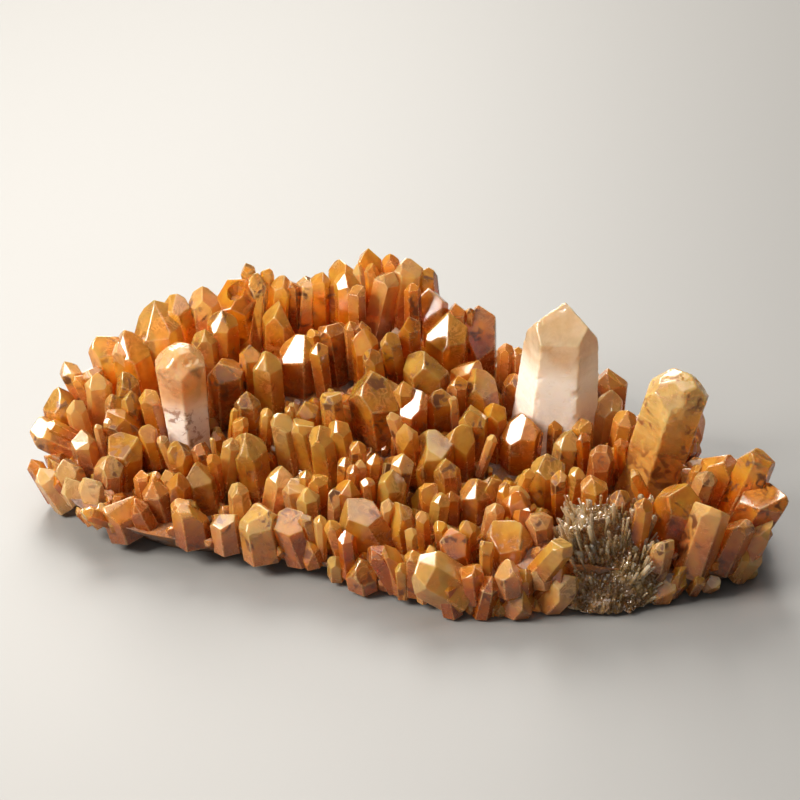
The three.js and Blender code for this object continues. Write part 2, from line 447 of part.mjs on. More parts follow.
// one crystal, optionally swollen by a clearance
function crystal(row, grow = 0) {
  const [x, y, z, ax, ay, az] = row;
  const axis = new THREE.Vector3(ax, ay, az).normalize();
  const hint = Math.abs(axis.z) < 0.9 ? new THREE.Vector3(0, 0, 1) : new THREE.Vector3(1, 0, 0);
  const e1 = new THREE.Vector3().crossVectors(hint, axis).normalize();
  const e2 = new THREE.Vector3().crossVectors(axis, e1);
  const place = new THREE.Matrix4().makeBasis(e1, e2, axis).setPosition(x, y, z);
  const faces = crystalFaces(row);
  for (const f of faces) f.d += grow;
  const down = new THREE.Vector3(-e1.z, -e2.z, -axis.z);
  faces.push({ n: down, d: z - FLOOR + grow });
  const points = corners(faces, MERGE * row[7]).map((q) => q.applyMatrix4(place));
  return toSolid(new ConvexGeometry(points));
}

// the plate of matrix, optionally swollen by a clearance
function plate(grow = 0) {
  const n = PLATE.length;
  const rings = [
    { share: UNDERSIDE_INSET, height: () => -grow },
    { share: LOWER_RIM, height: (t) => t[1] - grow },
    ...RING_SHARES.map((share, k) => ({ share, height: (t) => t[2 + k] + grow })).reverse(),
  ];
  const pos = [];
  const index = [];
  for (const ring of rings)
    PLATE.forEach(([radius, ...rest], i) => {
      const a = (2 * Math.PI * i) / n;
      const r = radius * ring.share + grow;
      pos.push(r * Math.cos(a), r * Math.sin(a), ring.height([radius, ...rest]));
    });
  const under = pos.length / 3;
  pos.push(0, 0, -grow);
  const top = pos.length / 3;
  pos.push(0, 0, CENTRE_HEIGHT + grow);
  for (let k = 0; k + 1 < rings.length; k++)
    for (let i = 0; i < n; i++) {
      const j = (i + 1) % n;
      const a = k * n + i;
      const b = k * n + j;
      const c = a + n;
      const d = b + n;
      index.push(a, b, d, a, d, c);
    }
  const last = (rings.length - 1) * n;
  for (let i = 0; i < n; i++) {
    const j = (i + 1) % n;
    index.push(under, j, i);
    index.push(top, last + i, last + j);
  }
  const g = new THREE.BufferGeometry();
  g.setAttribute('position', new THREE.Float32BufferAttribute(pos, 3));
  g.setIndex(index);
  return g;
}

// the largest single body of a solid
function largest(solid) {
  const bodies = solid.decompose();
  let best = bodies[0];
  for (const b of bodies) if (b.volume() > best.volume()) best = b;
  return best;
}

const join = (solids) => solids.reduce((a, b) => a.add(b));

const boxOf = (solid) => {
  const b = solid.boundingBox();
  return new THREE.Box3(new THREE.Vector3(...b.min), new THREE.Vector3(...b.max));
};

// ---------------------------------------------------------------- the object
const specimen = new THREE.Group();
specimen.name = 'quartz_on_matrix';
specimen.position.set(-CENTRE_X, -CENTRE_Y, 0);

function place(name, geometry, color, roughness) {
  const mesh = new THREE.Mesh(
    geometry,
    new THREE.MeshStandardMaterial({ color, roughness, metalness: 0, flatShading: true }),
  );
  mesh.name = name;
  specimen.add(mesh);
}

const rock = plate();
rock.computeVertexNormals();
place('matrix', rock, 0x6e5443, 0.9);
const rockClear = toSolid(plate(GAP));

const taken = [];
for (const [name, { color, crystals }] of Object.entries(CLUSTERS)) {
  let solid = join(crystals.map((row) => crystal(row))).subtract(rockClear);
  const swollen = join(crystals.map((row) => crystal(row, GAP)));
  const box = boxOf(solid);
  for (const t of taken) if (t.box.intersectsBox(box)) solid = solid.subtract(t.swollen);
  solid = largest(solid).simplify(0.15);
  solid = largest(solid);
  taken.push({ box: boxOf(swollen), swollen });
  place(name, toGeometry(solid), color, 0.25);
}

// needle quartz on the broken edge
const bankFaces = NEEDLE_BANK.map(([n, p]) => {
  const normal = new THREE.Vector3(...n).normalize();
  return { n: normal, d: normal.dot(new THREE.Vector3(...p)) };
});
let bank = toSolid(new ConvexGeometry(corners(bankFaces, 0.3))).subtract(rockClear);
for (const t of taken) if (t.box.intersectsBox(boxOf(bank))) bank = bank.subtract(t.swollen);
place('needle_quartz', toGeometry(largest(largest(bank).simplify(0.15))), 0xb9ab93, 0.3);

export default specimen;
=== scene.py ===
import bpy, bmesh, math
import numpy as np
from mathutils import Vector, Matrix


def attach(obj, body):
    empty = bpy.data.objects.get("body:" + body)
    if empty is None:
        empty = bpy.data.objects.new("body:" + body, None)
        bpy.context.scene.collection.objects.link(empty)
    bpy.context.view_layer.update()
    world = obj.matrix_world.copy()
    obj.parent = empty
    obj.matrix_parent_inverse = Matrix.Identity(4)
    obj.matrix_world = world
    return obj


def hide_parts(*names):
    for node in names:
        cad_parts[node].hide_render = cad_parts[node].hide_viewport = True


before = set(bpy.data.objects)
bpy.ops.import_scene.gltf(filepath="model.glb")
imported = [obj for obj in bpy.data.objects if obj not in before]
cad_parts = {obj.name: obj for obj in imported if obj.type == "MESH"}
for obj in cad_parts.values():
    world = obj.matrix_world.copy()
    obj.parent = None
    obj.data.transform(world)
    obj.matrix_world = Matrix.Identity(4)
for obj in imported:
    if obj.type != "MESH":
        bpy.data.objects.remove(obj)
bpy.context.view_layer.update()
MM = 0.001

# ------------------------------------------------------------------ tables
# middle of the plate in the layout the tables were drawn in, mm
CENTRE = (-0.566, -1.767)
FLOOR = 0.45
CENTRE_HEIGHT = 16.22
RING_SHARES = (0.25, 0.45, 0.62, 0.77, 0.9, 1)
CAMERA = (0.566, -492.684, 285.166)
AIM = (0.566, 1.767, 22.262)
# rim radius, lower rim height, then the height of the upper surface on each ring, for directions around the plate
PLATE = [
    (64.61, 2, 12.92, 9.99, 8.84, 7.25, 5.53, 5),
    (58.78, 2.34, 13.89, 11.52, 9.37, 7.68, 6.5, 6.12),
    (53.18, 2.6, 15, 13.43, 11.41, 8.55, 7.29, 7.06),
    (48.64, 2.6, 16.14, 15.29, 13.61, 10.04, 7.83, 7.34),
    (44.95, 2.6, 17.23, 17.14, 15.67, 11.63, 8.53, 7.62),
    (41.79, 2.6, 18.18, 18.93, 17.79, 13.24, 9.17, 7.91),
    (39.93, 2.6, 18.98, 20.47, 19.86, 14.73, 9.74, 8.12),
    (38.29, 2.6, 19.56, 21.63, 21.48, 15.93, 10.22, 8.31),
    (38.46, 2.6, 20.06, 22.45, 22.57, 16.72, 10.57, 8.5),
    (39.06, 2.6, 20.37, 22.83, 22.96, 16.94, 10.61, 8.5),
    (40.2, 2.6, 20.49, 22.8, 22.73, 16.73, 10.54, 8.5),
    (44.28, 2.62, 20.6, 22.56, 22.21, 16.31, 10.38, 8.44),
    (48.94, 2.7, 20.42, 21.95, 21.49, 15.87, 10.14, 8.25),
    (55.61, 2.77, 19.94, 21.1, 20.92, 15.21, 9.75, 8.06),
    (62.76, 3.1, 18.94, 19.67, 19.5, 13.62, 8.99, 7.88),
    (66.75, 3.55, 17.33, 16.85, 15.69, 10.74, 8.2, 7.69),
    (68.42, 4, 15.44, 13.22, 10.43, 8.28, 7.55, 7.5),
    (67.06, 4.56, 13.56, 10.11, 6.84, 7.02, 7.22, 7.22),
    (59.92, 4.73, 12.23, 8.2, 6.2, 6.57, 6.63, 6.63),
    (47.94, 3.53, 12.11, 7.62, 4.73, 4.96, 4.98, 4.98),
    (40.62, 2.85, 12.06, 7.37, 4.26, 4.38, 4.4, 4.4),
    (37.52, 2.31, 11.82, 6.98, 3.82, 3.99, 4.01, 4.01),
    (36.21, 2.36, 11.53, 6.63, 3.93, 4.1, 4.12, 4.12),
    (37.62, 2.15, 10.96, 5.89, 3.85, 4.03, 4.05, 4.05),
    (40.99, 1.4, 10.28, 4.91, 3.43, 3.58, 3.6, 3.6),
    (45.83, 0.8, 9.61, 3.87, 3, 3.13, 3.15, 3.15),
    (49.68, 0.5, 9.39, 4.97, 5.23, 5.47, 5.5, 5.5),
    (52.25, 0.58, 10.14, 10.18, 10.72, 11.21, 11.27, 11.27),
    (59.11, 0.8, 9.9, 9.93, 10.47, 10.94, 11, 11),
    (70.3, 0.97, 9.44, 5.62, 5.94, 6.21, 6.24, 6.24),
    (75.58, 1.32, 10.29, 6.27, 4.94, 4.46, 4.47, 4.47),
    (70.57, 1.66, 11.79, 8.48, 7.34, 5.3, 4.55, 4.55),
]
NEEDLE_BANK = [
    [[0.05, -0.94, 0.34], [39.5, -43.6, 6]],
    [[-0.35, -0.9, 0.25], [33, -44.2, 5]],
    [[0.5, -0.82, 0.28], [46.5, -42.2, 5]],
    [[-0.93, -0.1, 0.35], [29.4, -41, 8]],
    [[0.93, -0.1, 0.35], [49, -39, 7]],
    [[0, -0.45, 0.89], [40, -42, 16.4]],
    [[-0.5, -0.35, 0.79], [33, -41, 15.4]],
    [[0.55, -0.35, 0.76], [45.5, -39.5, 14.2]],
    [[0, 0.25, 0.97], [41, -36, 18.6]],
    [[0, 1, 0], [41, -31.5, 8]],
    [[0, 0, -1], [41, -42, 0.9]],
]
HOLLOW = 53
HERO = {"golden_right_crystal": 180, "milky_centre_crystal": 176, "milky_left_crystal": 2}
NODES = [
    "upper_left_crystals_1",
    "upper_mid_left_crystals_1",
    "front_right_crystals_1",
    "upper_centre_crystals_1",
    "upper_centre_crystals_2",
    "middle_centre_crystals_1",
    "front_right_crystals_2",
    "middle_left_crystals_1",
    "middle_centre_crystals_2",
    "back_centre_crystals_1",
    "middle_mid_left_crystals_1",
    "middle_left_crystals_2",
    "front_centre_crystals_1",
    "upper_centre_crystals_3",
    "middle_centre_crystals_3",
    "front_centre_crystals_2",
    "back_mid_left_crystals_1",
    "middle_centre_crystals_4",
    "front_left_crystals_1",
    "middle_mid_left_crystals_2",
    "upper_mid_left_crystals_2",
    "front_mid_left_crystals_1",
    "front_mid_right_crystals_1",
    "middle_mid_left_crystals_3",
    "front_mid_left_crystals_2",
    "upper_left_crystals_2",
    "back_centre_crystals_2",
    "upper_mid_right_crystals_1",
    "front_mid_right_crystals_2",
    "upper_mid_right_crystals_2",
    "middle_left_crystals_3",
    "upper_centre_crystals_4",
    "front_centre_crystals_3",
    "middle_mid_left_crystals_4",
    "upper_mid_right_crystals_3",
    "front_mid_right_crystals_3",
    "upper_centre_crystals_5",
    "back_mid_left_crystals_2",
    "front_mid_right_crystals_4",
    "middle_mid_right_crystals_1",
    "middle_left_crystals_4",
    "back_centre_crystals_3",
    "upper_left_crystals_3",
    "middle_left_crystals_5",
    "back_centre_crystals_4",
    "middle_mid_right_crystals_2",
    "front_mid_right_crystals_5",
    "middle_centre_crystals_5",
    "upper_centre_crystals_6",
    "front_mid_left_crystals_3",
    "middle_left_crystals_6",
    "middle_mid_left_crystals_5",
    "middle_right_crystals_1",
    "front_mid_right_crystals_6",
]
# root x y z, direction of growth, length, width, turn, taper, form, number, further faces
ROWS = [
    (-41.843, 20.489, 15.888, -0.245, 0.058, 0.968, 21.617, 7.853, 47, -1.2, 0, 1000),
    (-45.361, 18.495, 11.73, -0.161, 0.045, 0.986, 24.2, 10.881, 54, -0.5, 0, 1007),
    (-40.915, 0.658, 8.846, -0.081, -0.07, 0.994, 27.2, 9.642, 34, 2.2, 3, 1014),
    (-37.945, 21.59, 17.176, -0.093, 0.047, 0.995, 20.257, 6.113, 57, -0.1, 0, 1021),
    (-54.274, 14.859, 10.139, -0.272, 0.049, 0.961, 21.534, 7.821, 8, -1.7, 2, 1028),
    (-50.571, 14.253, 9.301, -0.212, 0.018, 0.977, 22.45, 8.236, 42, -1.1, 2, 1035),
    (-53.466, 12.999, 16.134, -0.198, 0.005, 0.98, 14.142, 4.978, 39, -0.2, 0, 1042),
    (-61.136, 10.295, 11.913, -0.385, 0.038, 0.922, 15.65, 4.327, 48, 0.8, 2, 1049),
    (-58.38, 9.933, 13.345, -0.313, -0.01, 0.95, 13.555, 4.752, 44, -0.6, 0, 1056),
    (-61.364, 8.848, 15.163, -0.348, -0.012, 0.937, 10.452, 3.022, 55, -1, 0, 1063),
    (-66.249, 7.48, 6.175, -0.138, -0.009, 0.99, 16.95, 6.904, 19, 0.4, 2, 1070),
    (-60.659, 8.524, 10.21, 0, -0.043, 0.999, 15.207, 5.387, 5, 1.3, 0, 1077),
    (-54.075, 7.578, 11.739, -0.082, -0.065, 0.995, 14.611, 5.158, 55, -1.9, 0, 1084),
    (-63.082, 4.785, 9.617, -0.153, -0.093, 0.984, 11.813, 4.082, 59, -1.1, 0, 1091),
    (-56.302, 3.716, 11.556, -0.064, -0.105, 0.992, 11.775, 4.067, 34, -1.2, 0, 1098),
    (-54.026, 3.195, 13.61, 0.099, -0.107, 0.989, 10.648, 3.634, 14, 0.8, 0, 1105),
    (-47.882, 3.113, 12.18, -0.174, -0.107, 0.979, 12.859, 4.484, 46, -1.5, 0, 1112),
    (-59.724, 4.531, 7.098, -0.869, -0.043, 0.493, 17.45, 6.476, 35, -0.7, 0, 1119),
    (-61.818, 2.355, 11.773, -0.856, -0.056, 0.514, 10.2, 2.794, 19, 0.3, 0, 1126),
    (-61.906, -0.652, 6.269, -0.121, -0.127, 0.984, 11.45, 5.125, 0, -1.6, 0, 1133),
    (-58.145, -0.762, 6.297, -0.128, -0.123, 0.984, 12.95, 1.705, 31, -0.3, 0, 1140),
    (-55.85, -0.529, 9.718, -0.179, -0.118, 0.977, 10.865, 1.705, 28, 1.3, 0, 1147),
    (-47.65, 1.114, 8.241, -0.648, -0.088, 0.756, 16.745, 5.979, 23, -0.7, 0, 1154),
    (-54.905, -3.81, 6.143, 0.087, -0.13, 0.988, 13.45, 8.057, 35, -0.4, 0, 1161),
    (-48.17, -3.832, 10.462, -0.167, -0.127, 0.978, 10.567, 3.603, 7, -0.9, 0, 1168),
    (-43.709, -7.029, 9.969, -0.301, -0.131, 0.945, 10.2, 2.322, 55, -1.5, 0, 1175),
    (-42.91, -7.792, 6.331, -0.048, -0.138, 0.989, 13.201, 4.424, 36, -0.4, 0, 1182),
    (-48.787, -14.42, 5.413, -0.141, -0.099, 0.985, 9.7, 3.352, 3, -0.9, 1, 1189),
    (-46.213, -15.333, 5.411, -0.092, -0.098, 0.991, 9.95, 3.346, 33, -0.7, 1, 1196),
    (-41.982, -14.569, 6.418, -0.335, -0.099, 0.937, 10.2, 3.139, 4, -0.5, 0, 1203),
    (-43.078, -15.774, 5.155, 0.029, -0.1, 0.995, 10.7, 4.386, 59, -0.6, 0, 1210),
    (-40.994, -22.26, 4.094, -0.098, -0.069, 0.993, 8.95, 4.147, 37, 0.8, 1, 1217),
    (-57.521, -8.058, 6.03, 0.097, -0.128, 0.987, 10.45, 5.916, 17, 0.6, 0, 1224),
    (-64.33, -5.531, 6.173, -0.302, -0.1, 0.948, 7.2, 5.537, 2, -0.2, 0, 1231),
    (-69.122, -2.225, 1.377, -0.391, -0.061, 0.918, 10.857, 3.216, 18, 0.2, 0, 1238),
    (-66.292, -4.612, 1.465, -0.484, -0.058, 0.873, 10.45, 4.702, 3, -1.1, 0, 1245),
    (-59.665, -10.732, 5.946, -0.277, -0.084, 0.957, 6.527, 5.074, 47, -2, 0, 1252),
    (-52.619, -17.546, 2.741, -0.287, -0.033, 0.957, 9.549, 7.951, 29, -0.5, 1, 1259),
    (-57.636, -16.615, 5.617, -0.171, -0.065, 0.983, 3.95, 2.52, 9, -0.2, 0, 1266),
    (-46.109, -16.1, 5.266, -0.182, -0.093, 0.979, 9.7, 6.27, 46, 0.6, 0, 1273),
    (-32.901, -24.86, 3.318, -0.094, -0.066, 0.993, 9.45, 5.37, 20, 0.4, 1, 1280),
    (-39.578, -22.737, 3.905, -0.098, -0.069, 0.993, 9.2, 6.63, 15, -1.5, 1, 1287),
    (-42.55, -7.969, 5.505, -0.042, -0.137, 0.99, 13.95, 4.633, 48, 0.1, 0, 1294),
    (-37.289, -8.11, 6.741, -0.098, -0.137, 0.986, 13.24, 4.631, 8, 1, 0, 1301),
    (-10.084, -30.625, 2.884, -0.237, -0.072, 0.969, 11.45, 3.064, 54, 1.3, 0, 1308),
    (-18.142, -27.27, 2.786, -0.278, -0.068, 0.958, 11.45, 6.164, 23, 0.3, 1, 1315),
    (14.874, -42.847, 3.264, -0.129, -0.069, 0.989, 9.2, 4.812, 39, 0.9, 0, 1322),
    (21.542, -43.387, 5.209, -0.101, -0.066, 0.993, 7.45, 5.209, 12, -0.1, 0, 1329),
    (27.8, -41.975, 5.925, -0.16, -0.065, 0.985, 5.843, 4.422, 29, -0.4, 0, 1336),
    (10.619, -43.594, 0.6, -0.177, -0.065, 0.982, 9.066, 4.016, 38, 0.8, 0, 1343),
    (1.368, -37.947, 2.437, -0.332, -0.065, 0.941, 10.95, 3.637, 21, -1.5, 0, 1350),
    (-63.565, -9.281, 5.581, -0.372, -0.067, 0.926, 5.656, 4.244, 7, -0.2, 0, 1357),
    (-48.894, -19.335, 5.396, -0.358, -0.066, 0.931, 7.2, 4.588, 47, -0.9, 0, 1364),
    (-31.779, 28.235, 14.057, -0.05, -0.31, 0.949, 26.5, 7.816, 52, 1.3, 1, 1371),
    (-28.529, 24.2, 30.731, -0.207, 0.048, 0.977, 11.223, 3.056, 29, -0.4, 0, 1378),
    (-30.676, 22.529, 17.454, 0.083, 0.037, 0.996, 22.95, 5.888, 22, -0.4, 0, 1385),
    (-27.074, 24.771, 30.415, 0.065, 0.05, 0.997, 10.38, 2.623, 6, -0.4, 0, 1392),
    (-25.148, 23.581, 25.129, 0.128, 0.04, 0.991, 14.267, 5.026, 59, -0.3, 0, 1399),
    (-21.154, 23.355, 27.82, -0.031, 0.037, 0.999, 10.749, 3.059, 52, 0.4, 0, 1406),
    (-23.374, 18.375, 19.743, -0.012, -0.001, 1, 16.45, 7.381, 38, -1.1, 0, 1413),
    (-19.594, 24.173, 19.916, 0.069, 0.044, 0.997, 19.45, 3.938, 5, -1.9, 0, 1420),
    (-15.781, 24.137, 20.831, 0, 0.043, 0.999, 19.2, 4.591, 54, -0.6, 0, 1427),
    (-12.347, 25.269, 25.174, 0.098, 0.048, 0.994, 17.116, 6.122, 40, -0.3, 0, 1434),
    (-9.86, 22.576, 21.214, -0.029, 0.03, 0.999, 19.45, 5.23, 47, -0.6, 0, 1441, ((0.712, -0.407, 0.573, 11.66),)),
    (-4.921, 26.163, 28.36, -0.04, 0.052, 0.998, 15.922, 5.246, 23, -1.5, 0, 1448),
    (-5.685, 23.796, 30.595, -0.199, 0.035, 0.979, 11.596, 3.271, 27, 0.2, 0, 1455),
    (-5.134, 23.304, 28.702, 0, 0.032, 0.999, 13.695, 3.267, 11, -0.8, 0, 1462),
    (-5.67, 22.4, 21.563, 0.195, 0.03, 0.98, 20.45, 5.442, 33, -0.3, 0, 1469),
    (-7.839, 19.707, 22.072, -0.018, 0.008, 1, 17.451, 3.689, 30, 0.1, 0, 1476),
    (-35.419, 15.859, 18.354, 0, -0.017, 1, 16.95, 6.057, 56, -1.9, 0, 1483, ((0.682, -0.386, 0.621, 10.737),)),
    (-37.83, 13.942, 17.28, -0.065, -0.028, 0.997, 15.248, 5.403, 55, 0.7, 0, 1490),
    (-33.749, 8.012, 14.713, -0.033, -0.089, 0.995, 15.7, 8.139, 12, -1.4, 0, 1497),
    (-29.495, 9.116, 16.856, 0, -0.079, 0.997, 14.645, 4.503, 7, -0.4, 0, 1504),
    (-25.707, 8.274, 16.179, -0.039, -0.085, 0.996, 14.45, 6.215, 41, -1.3, 0, 1511),
    (-20.04, 12.591, 18.709, 0.033, -0.047, 0.998, 13.45, 7.764, 43, 0.1, 0, 1518, ((0.651, -0.432, 0.624, 7.622),)),
    (-14.536, 9.806, 18.282, -0.101, -0.065, 0.993, 13.45, 4.08, 28, 1.3, 0, 1525),
    (-12.019, 14.519, 20.045, -0.103, -0.029, 0.994, 14.95, 6.261, 35, 0.8, 2, 1532),
    (-8.845, 12.403, 21.869, -0.049, -0.042, 0.998, 13.047, 2.797, 53, 0.3, 0, 1539),
    (-5.773, 11.961, 23.321, -0.107, -0.044, 0.993, 12.081, 3.224, 33, 0.8, 0, 1546),
    (-5.889, 10.273, 18.918, -0.062, -0.056, 0.996, 15.45, 5.146, 52, 0, 0, 1553),
    (-3.776, 5.965, 16.897, -0.093, -0.084, 0.992, 15.45, 3.837, 45, -1.9, 0, 1560),
    (-15.983, 13.051, 23.028, -0.117, -0.041, 0.992, 10.2, 2.804, 32, 1, 0, 1567),
    (-0.586, 25.41, 32.359, -0.082, 0.048, 0.995, 10.853, 3.713, 48, -1.2, 0, 1574),
    (0.085, 24.984, 23.22, 0.128, 0.051, 0.99, 19.654, 6.555, 18, 0.8, 0, 1581),
    (6.987, 25.904, 26.398, -0.093, 0.062, 0.994, 13.981, 4.384, 13, -0.3, 0, 1588),
    (6.662, 22.411, 19.535, 0.013, 0.044, 0.999, 17.95, 6.774, 1, -1.4, 0, 1595),
    (12.207, 21.075, 21.826, 0, 0.043, 0.999, 12.563, 4.37, 16, 1.4, 0, 1602),
    (14.862, 20.795, 23.457, 0, 0.044, 0.999, 10.2, 1.967, 49, -1.3, 0, 1609),
    (17.207, 20.821, 15.497, -0.027, 0.05, 0.998, 17.95, 7.218, 21, 1.2, 0, 1616),
    (10.321, 18.148, 17.967, 0.014, 0.022, 1, 15.45, 8.706, 18, 1, 0, 1623, ((0.688, -0.454, 0.566, 8.966),)),
    (6.466, 7.485, 15.622, -0.071, -0.056, 0.996, 15.45, 8.777, 58, -1.4, 0, 1630),
    (21.823, 15.771, 16.369, 0.029, 0.043, 0.999, 11.351, 3.269, 52, 0.8, 0, 1637),
    (24.696, 16.483, 15.529, -0.058, 0.054, 0.997, 11.328, 3.275, 28, -0.8, 0, 1644),
    (2.175, 12.909, 18.779, 0, -0.028, 1, 16.95, 4.949, 33, -1.9, 0, 1651),
    (0.675, 9.642, 18.433, -0.157, -0.054, 0.986, 15.966, 4.499, 44, -0.6, 0, 1658),
    (14.033, 8.88, 13.81, 0, -0.032, 0.999, 14.95, 6.237, 54, -1.8, 0, 1665),
    (3.329, 20.223, 27.366, -0.027, 0.02, 0.999, 12.091, 3.041, 7, 0.2, 0, 1672),
    (-29.048, 0.175, 11.258, -0.062, -0.119, 0.991, 14.95, 5.092, 0, -1.8, 0, 1679),
    (-31.732, -5.09, 10.87, 0.076, -0.131, 0.989, 12.474, 3.165, 44, 1.5, 0, 1686),
    (-26.748, -3.837, 14.082, 0.122, -0.124, 0.985, 10.2, 2.748, 44, -0.2, 0, 1693),
    (-21.77, -3.361, 14.204, 0.058, -0.123, 0.991, 10.2, 2.115, 56, -1.7, 0, 1700),
    (-12.112, -1.835, 13.166, -0.072, -0.116, 0.991, 13.3, 4.654, 43, -1.2, 1, 1707),
    (-3.214, 1.077, 14.265, -0.089, -0.107, 0.99, 15.45, 10.595, 16, 0.1, 0, 1714, ((0.591, -0.365, 0.72, 12.245),)),
    (-20.88, -5.034, 9.323, -0.142, -0.127, 0.982, 14.2, 4.64, 42, -1.9, 1, 1721),
    (-16.99, -5.083, 9.62, -0.169, -0.125, 0.978, 13.95, 5.062, 36, -1.2, 0, 1728),
    (-13.669, -8.063, 7.994, -0.098, -0.13, 0.987, 14.95, 5.458, 43, -1.7, 0, 1735),
    (-9.094, -7.509, 8.962, -0.191, -0.125, 0.974, 15.2, 4.409, 46, -1.1, 0, 1742, ((0.566, -0.28, 0.775, 11.642),)),
    (-28.002, -8.416, 6.733, -0.113, -0.138, 0.984, 14.7, 6.932, 48, 0.7, 0, 1749),
    (-34.637, -9.095, 5.797, 0.16, -0.133, 0.978, 15.2, 3.989, 28, -0.8, 0, 1756),
    (-35.351, -12.375, 8.36, -0.068, -0.121, 0.99, 10.2, 2.723, 50, 1.1, 0, 1763),
    (-35.683, -8.59, 10.201, -0.07, -0.138, 0.988, 10.2, 1.052, 47, 1, 0, 1770),
    (-33.11, -3.641, 14.197, 0.106, -0.127, 0.986, 10.2, 1.48, 13, -1, 0, 1777),
    (-24.65, -16.382, 3.574, 0.154, -0.112, 0.982, 14.725, 5.202, 13, -0.4, 0, 1784),
    (-17.903, -19.214, 2.895, -0.157, -0.103, 0.982, 14.45, 4.976, 7, -1.9, 0, 1791),
    (-18.026, -18.133, 7.947, 0.034, -0.114, 0.993, 10.2, 2.699, 32, -0.9, 0, 1798, ((0.562, -0.438, 0.702, 7.158),)),
    (-14.677, -18.698, 6.909, -0.057, -0.115, 0.992, 11.444, 3.94, 27, -0.7, 0, 1805),
    (-10.739, -16.565, 9.132, 0.056, -0.131, 0.99, 11.248, 2.907, 31, 0.4, 0, 1812, ((0.551, -0.465, 0.693, 7.729),)),
    (-9.001, -18.856, 9.565, 0.065, -0.126, 0.99, 10.2, 2.485, 49, -0.2, 0, 1819, ((0.551, -0.474, 0.687, 7.011),)),
    (-7.322, -17.728, 10.29, 0.033, -0.132, 0.991, 10.2, 2.488, 14, 0.3, 0, 1826),
    (-5.192, -16.197, 5.49, 0.058, -0.138, 0.989, 15.804, 3.111, 12, 0.6, 0, 1833, ((0.545, -0.475, 0.691, 10.925),)),
    (-5.166, -21.743, 8.194, -0.059, -0.119, 0.991, 10.75, 2.681, 58, 0, 0, 1840),
    (-10.915, -21.798, 4.806, 0.136, -0.112, 0.984, 13.535, 4.744, 43, -0.6, 0, 1847),
    (-7.613, -13.277, 9.562, 0, -0.136, 0.991, 12.688, 3.125, 52, -1.3, 0, 1854),
    (-38.229, -12.625, 5.094, -0.121, -0.116, 0.986, 12.7, 7.541, 15, -1.3, 0, 1861),
    (-30.306, -19.2, 3.625, -0.047, -0.092, 0.995, 12.2, 3.947, 53, -1.6, 0, 1868),
    (-25.685, -26.217, 3.016, -0.144, -0.067, 0.987, 10.2, 7.415, 4, -1.6, 1, 1875),
    (-16.419, -22.066, 2.799, -0.071, -0.097, 0.993, 13.7, 4.544, 20, -0.4, 0, 1882),
    (-15.615, -27.82, 2.7, -0.207, -0.072, 0.976, 11.7, 2.668, 18, 1.3, 0, 1889),
    (-14.292, -29.094, 2.801, -0.039, -0.076, 0.996, 11.45, 2.457, 50, 1.2, 0, 1896),
    (-12.099, -23.017, 2.667, 0.01, -0.103, 0.995, 14.45, 2.473, 18, -2, 0, 1903),
    (-1.695, -28.588, 2.648, -0.503, 0.06, 0.862, 15.7, 8.207, 55, 0.1, 0, 1910),
    (-8.816, -33.49, 2.789, -0.1, -0.069, 0.993, 10.7, 3.255, 6, -0.1, 0, 1917),
    (12.144, 3.98, 13.079, 0, -0.066, 0.998, 13.95, 4.058, 16, 0.6, 0, 1924),
    (17.098, 6.081, 12.278, -0.099, -0.048, 0.994, 15.2, 7.714, 46, -2, 0, 1931),
    (22.788, 8.397, 12.22, 0.078, -0.003, 0.997, 12.512, 4.316, 38, -1, 0, 1938),
    (1.794, -1.212, 16.974, -0.038, -0.108, 0.993, 11.645, 4.017, 12, 1.1, 0, 1945),
    (2.713, -1.734, 12.821, 0.041, -0.109, 0.993, 14.95, 5.916, 27, -2, 0, 1952, ((0.587, -0.473, 0.657, 8.618),)),
    (8.593, 0.842, 12.943, -0.036, -0.091, 0.995, 13.45, 5.526, 16, 1.4, 0, 1959),
    (11.758, -0.851, 15.163, -0.067, -0.095, 0.993, 10.2, 1.698, 5, -1, 0, 1966),
    (15.54, -2.506, 10.547, -0.039, -0.103, 0.994, 13.7, 5.505, 9, 0.1, 0, 1973),
    (19.397, -0.961, 10.215, 0.017, -0.081, 0.997, 13.45, 4.887, 39, -1.5, 0, 1980),
    (24.619, -2.006, 8.962, 0.029, -0.076, 0.997, 12.95, 8.499, 2, 0.5, 0, 1987, ((0.596, -0.485, 0.64, 8.138),)),
    (12.792, -7.154, 8.879, -0.045, -0.113, 0.993, 13.95, 5.89, 49, 0.7, 0, 1994),
    (16.305, -9.842, 11.485, 0.265, -0.11, 0.958, 10.2, 2.099, 35, 0.8, 0, 2001),
    (2.556, -7.469, 13.037, -0.286, -0.116, 0.951, 13.142, 2.937, 32, -1.1, 0, 2008),
    (3.209, -10.203, 10.665, -0.135, -0.123, 0.983, 13.788, 4.39, 6, 0.4, 0, 2015),
    (-0.621, -16.885, 8.478, 0.15, -0.135, 0.979, 13.057, 4.56, 20, 1.1, 0, 2022, ((0.545, -0.544, 0.638, 8.611),)),
    (7.332, -9.748, 8.58, -0.075, -0.121, 0.99, 14.45, 8.167, 2, 0.3, 0, 2029),
    (10.36, -16.158, 6.896, -0.066, -0.13, 0.989, 12.95, 4.78, 11, -1.6, 0, 2036),
    (5.958, -22.564, 8.04, 0, -0.132, 0.991, 10.307, 3.503, 45, 0.6, 2, 2043),
    (23.051, -19.267, 9.251, 0.262, -0.127, 0.957, 10.2, 2.692, 7, 0.2, 0, 2050),
    (29.321, -14.186, 4.514, 0.031, -0.122, 0.992, 15.2, 7.088, 21, -0.3, 0, 2057),
    (15.258, -21.516, 8.483, 0.037, -0.137, 0.99, 9.7, 6.193, 39, -1.5, 0, 2064, ((0.533, -0.487, 0.692, 6.907),)),
    (18.341, -20.875, 8.996, -0.021, -0.135, 0.991, 9.45, 5.166, 50, -0.9, 0, 2071),
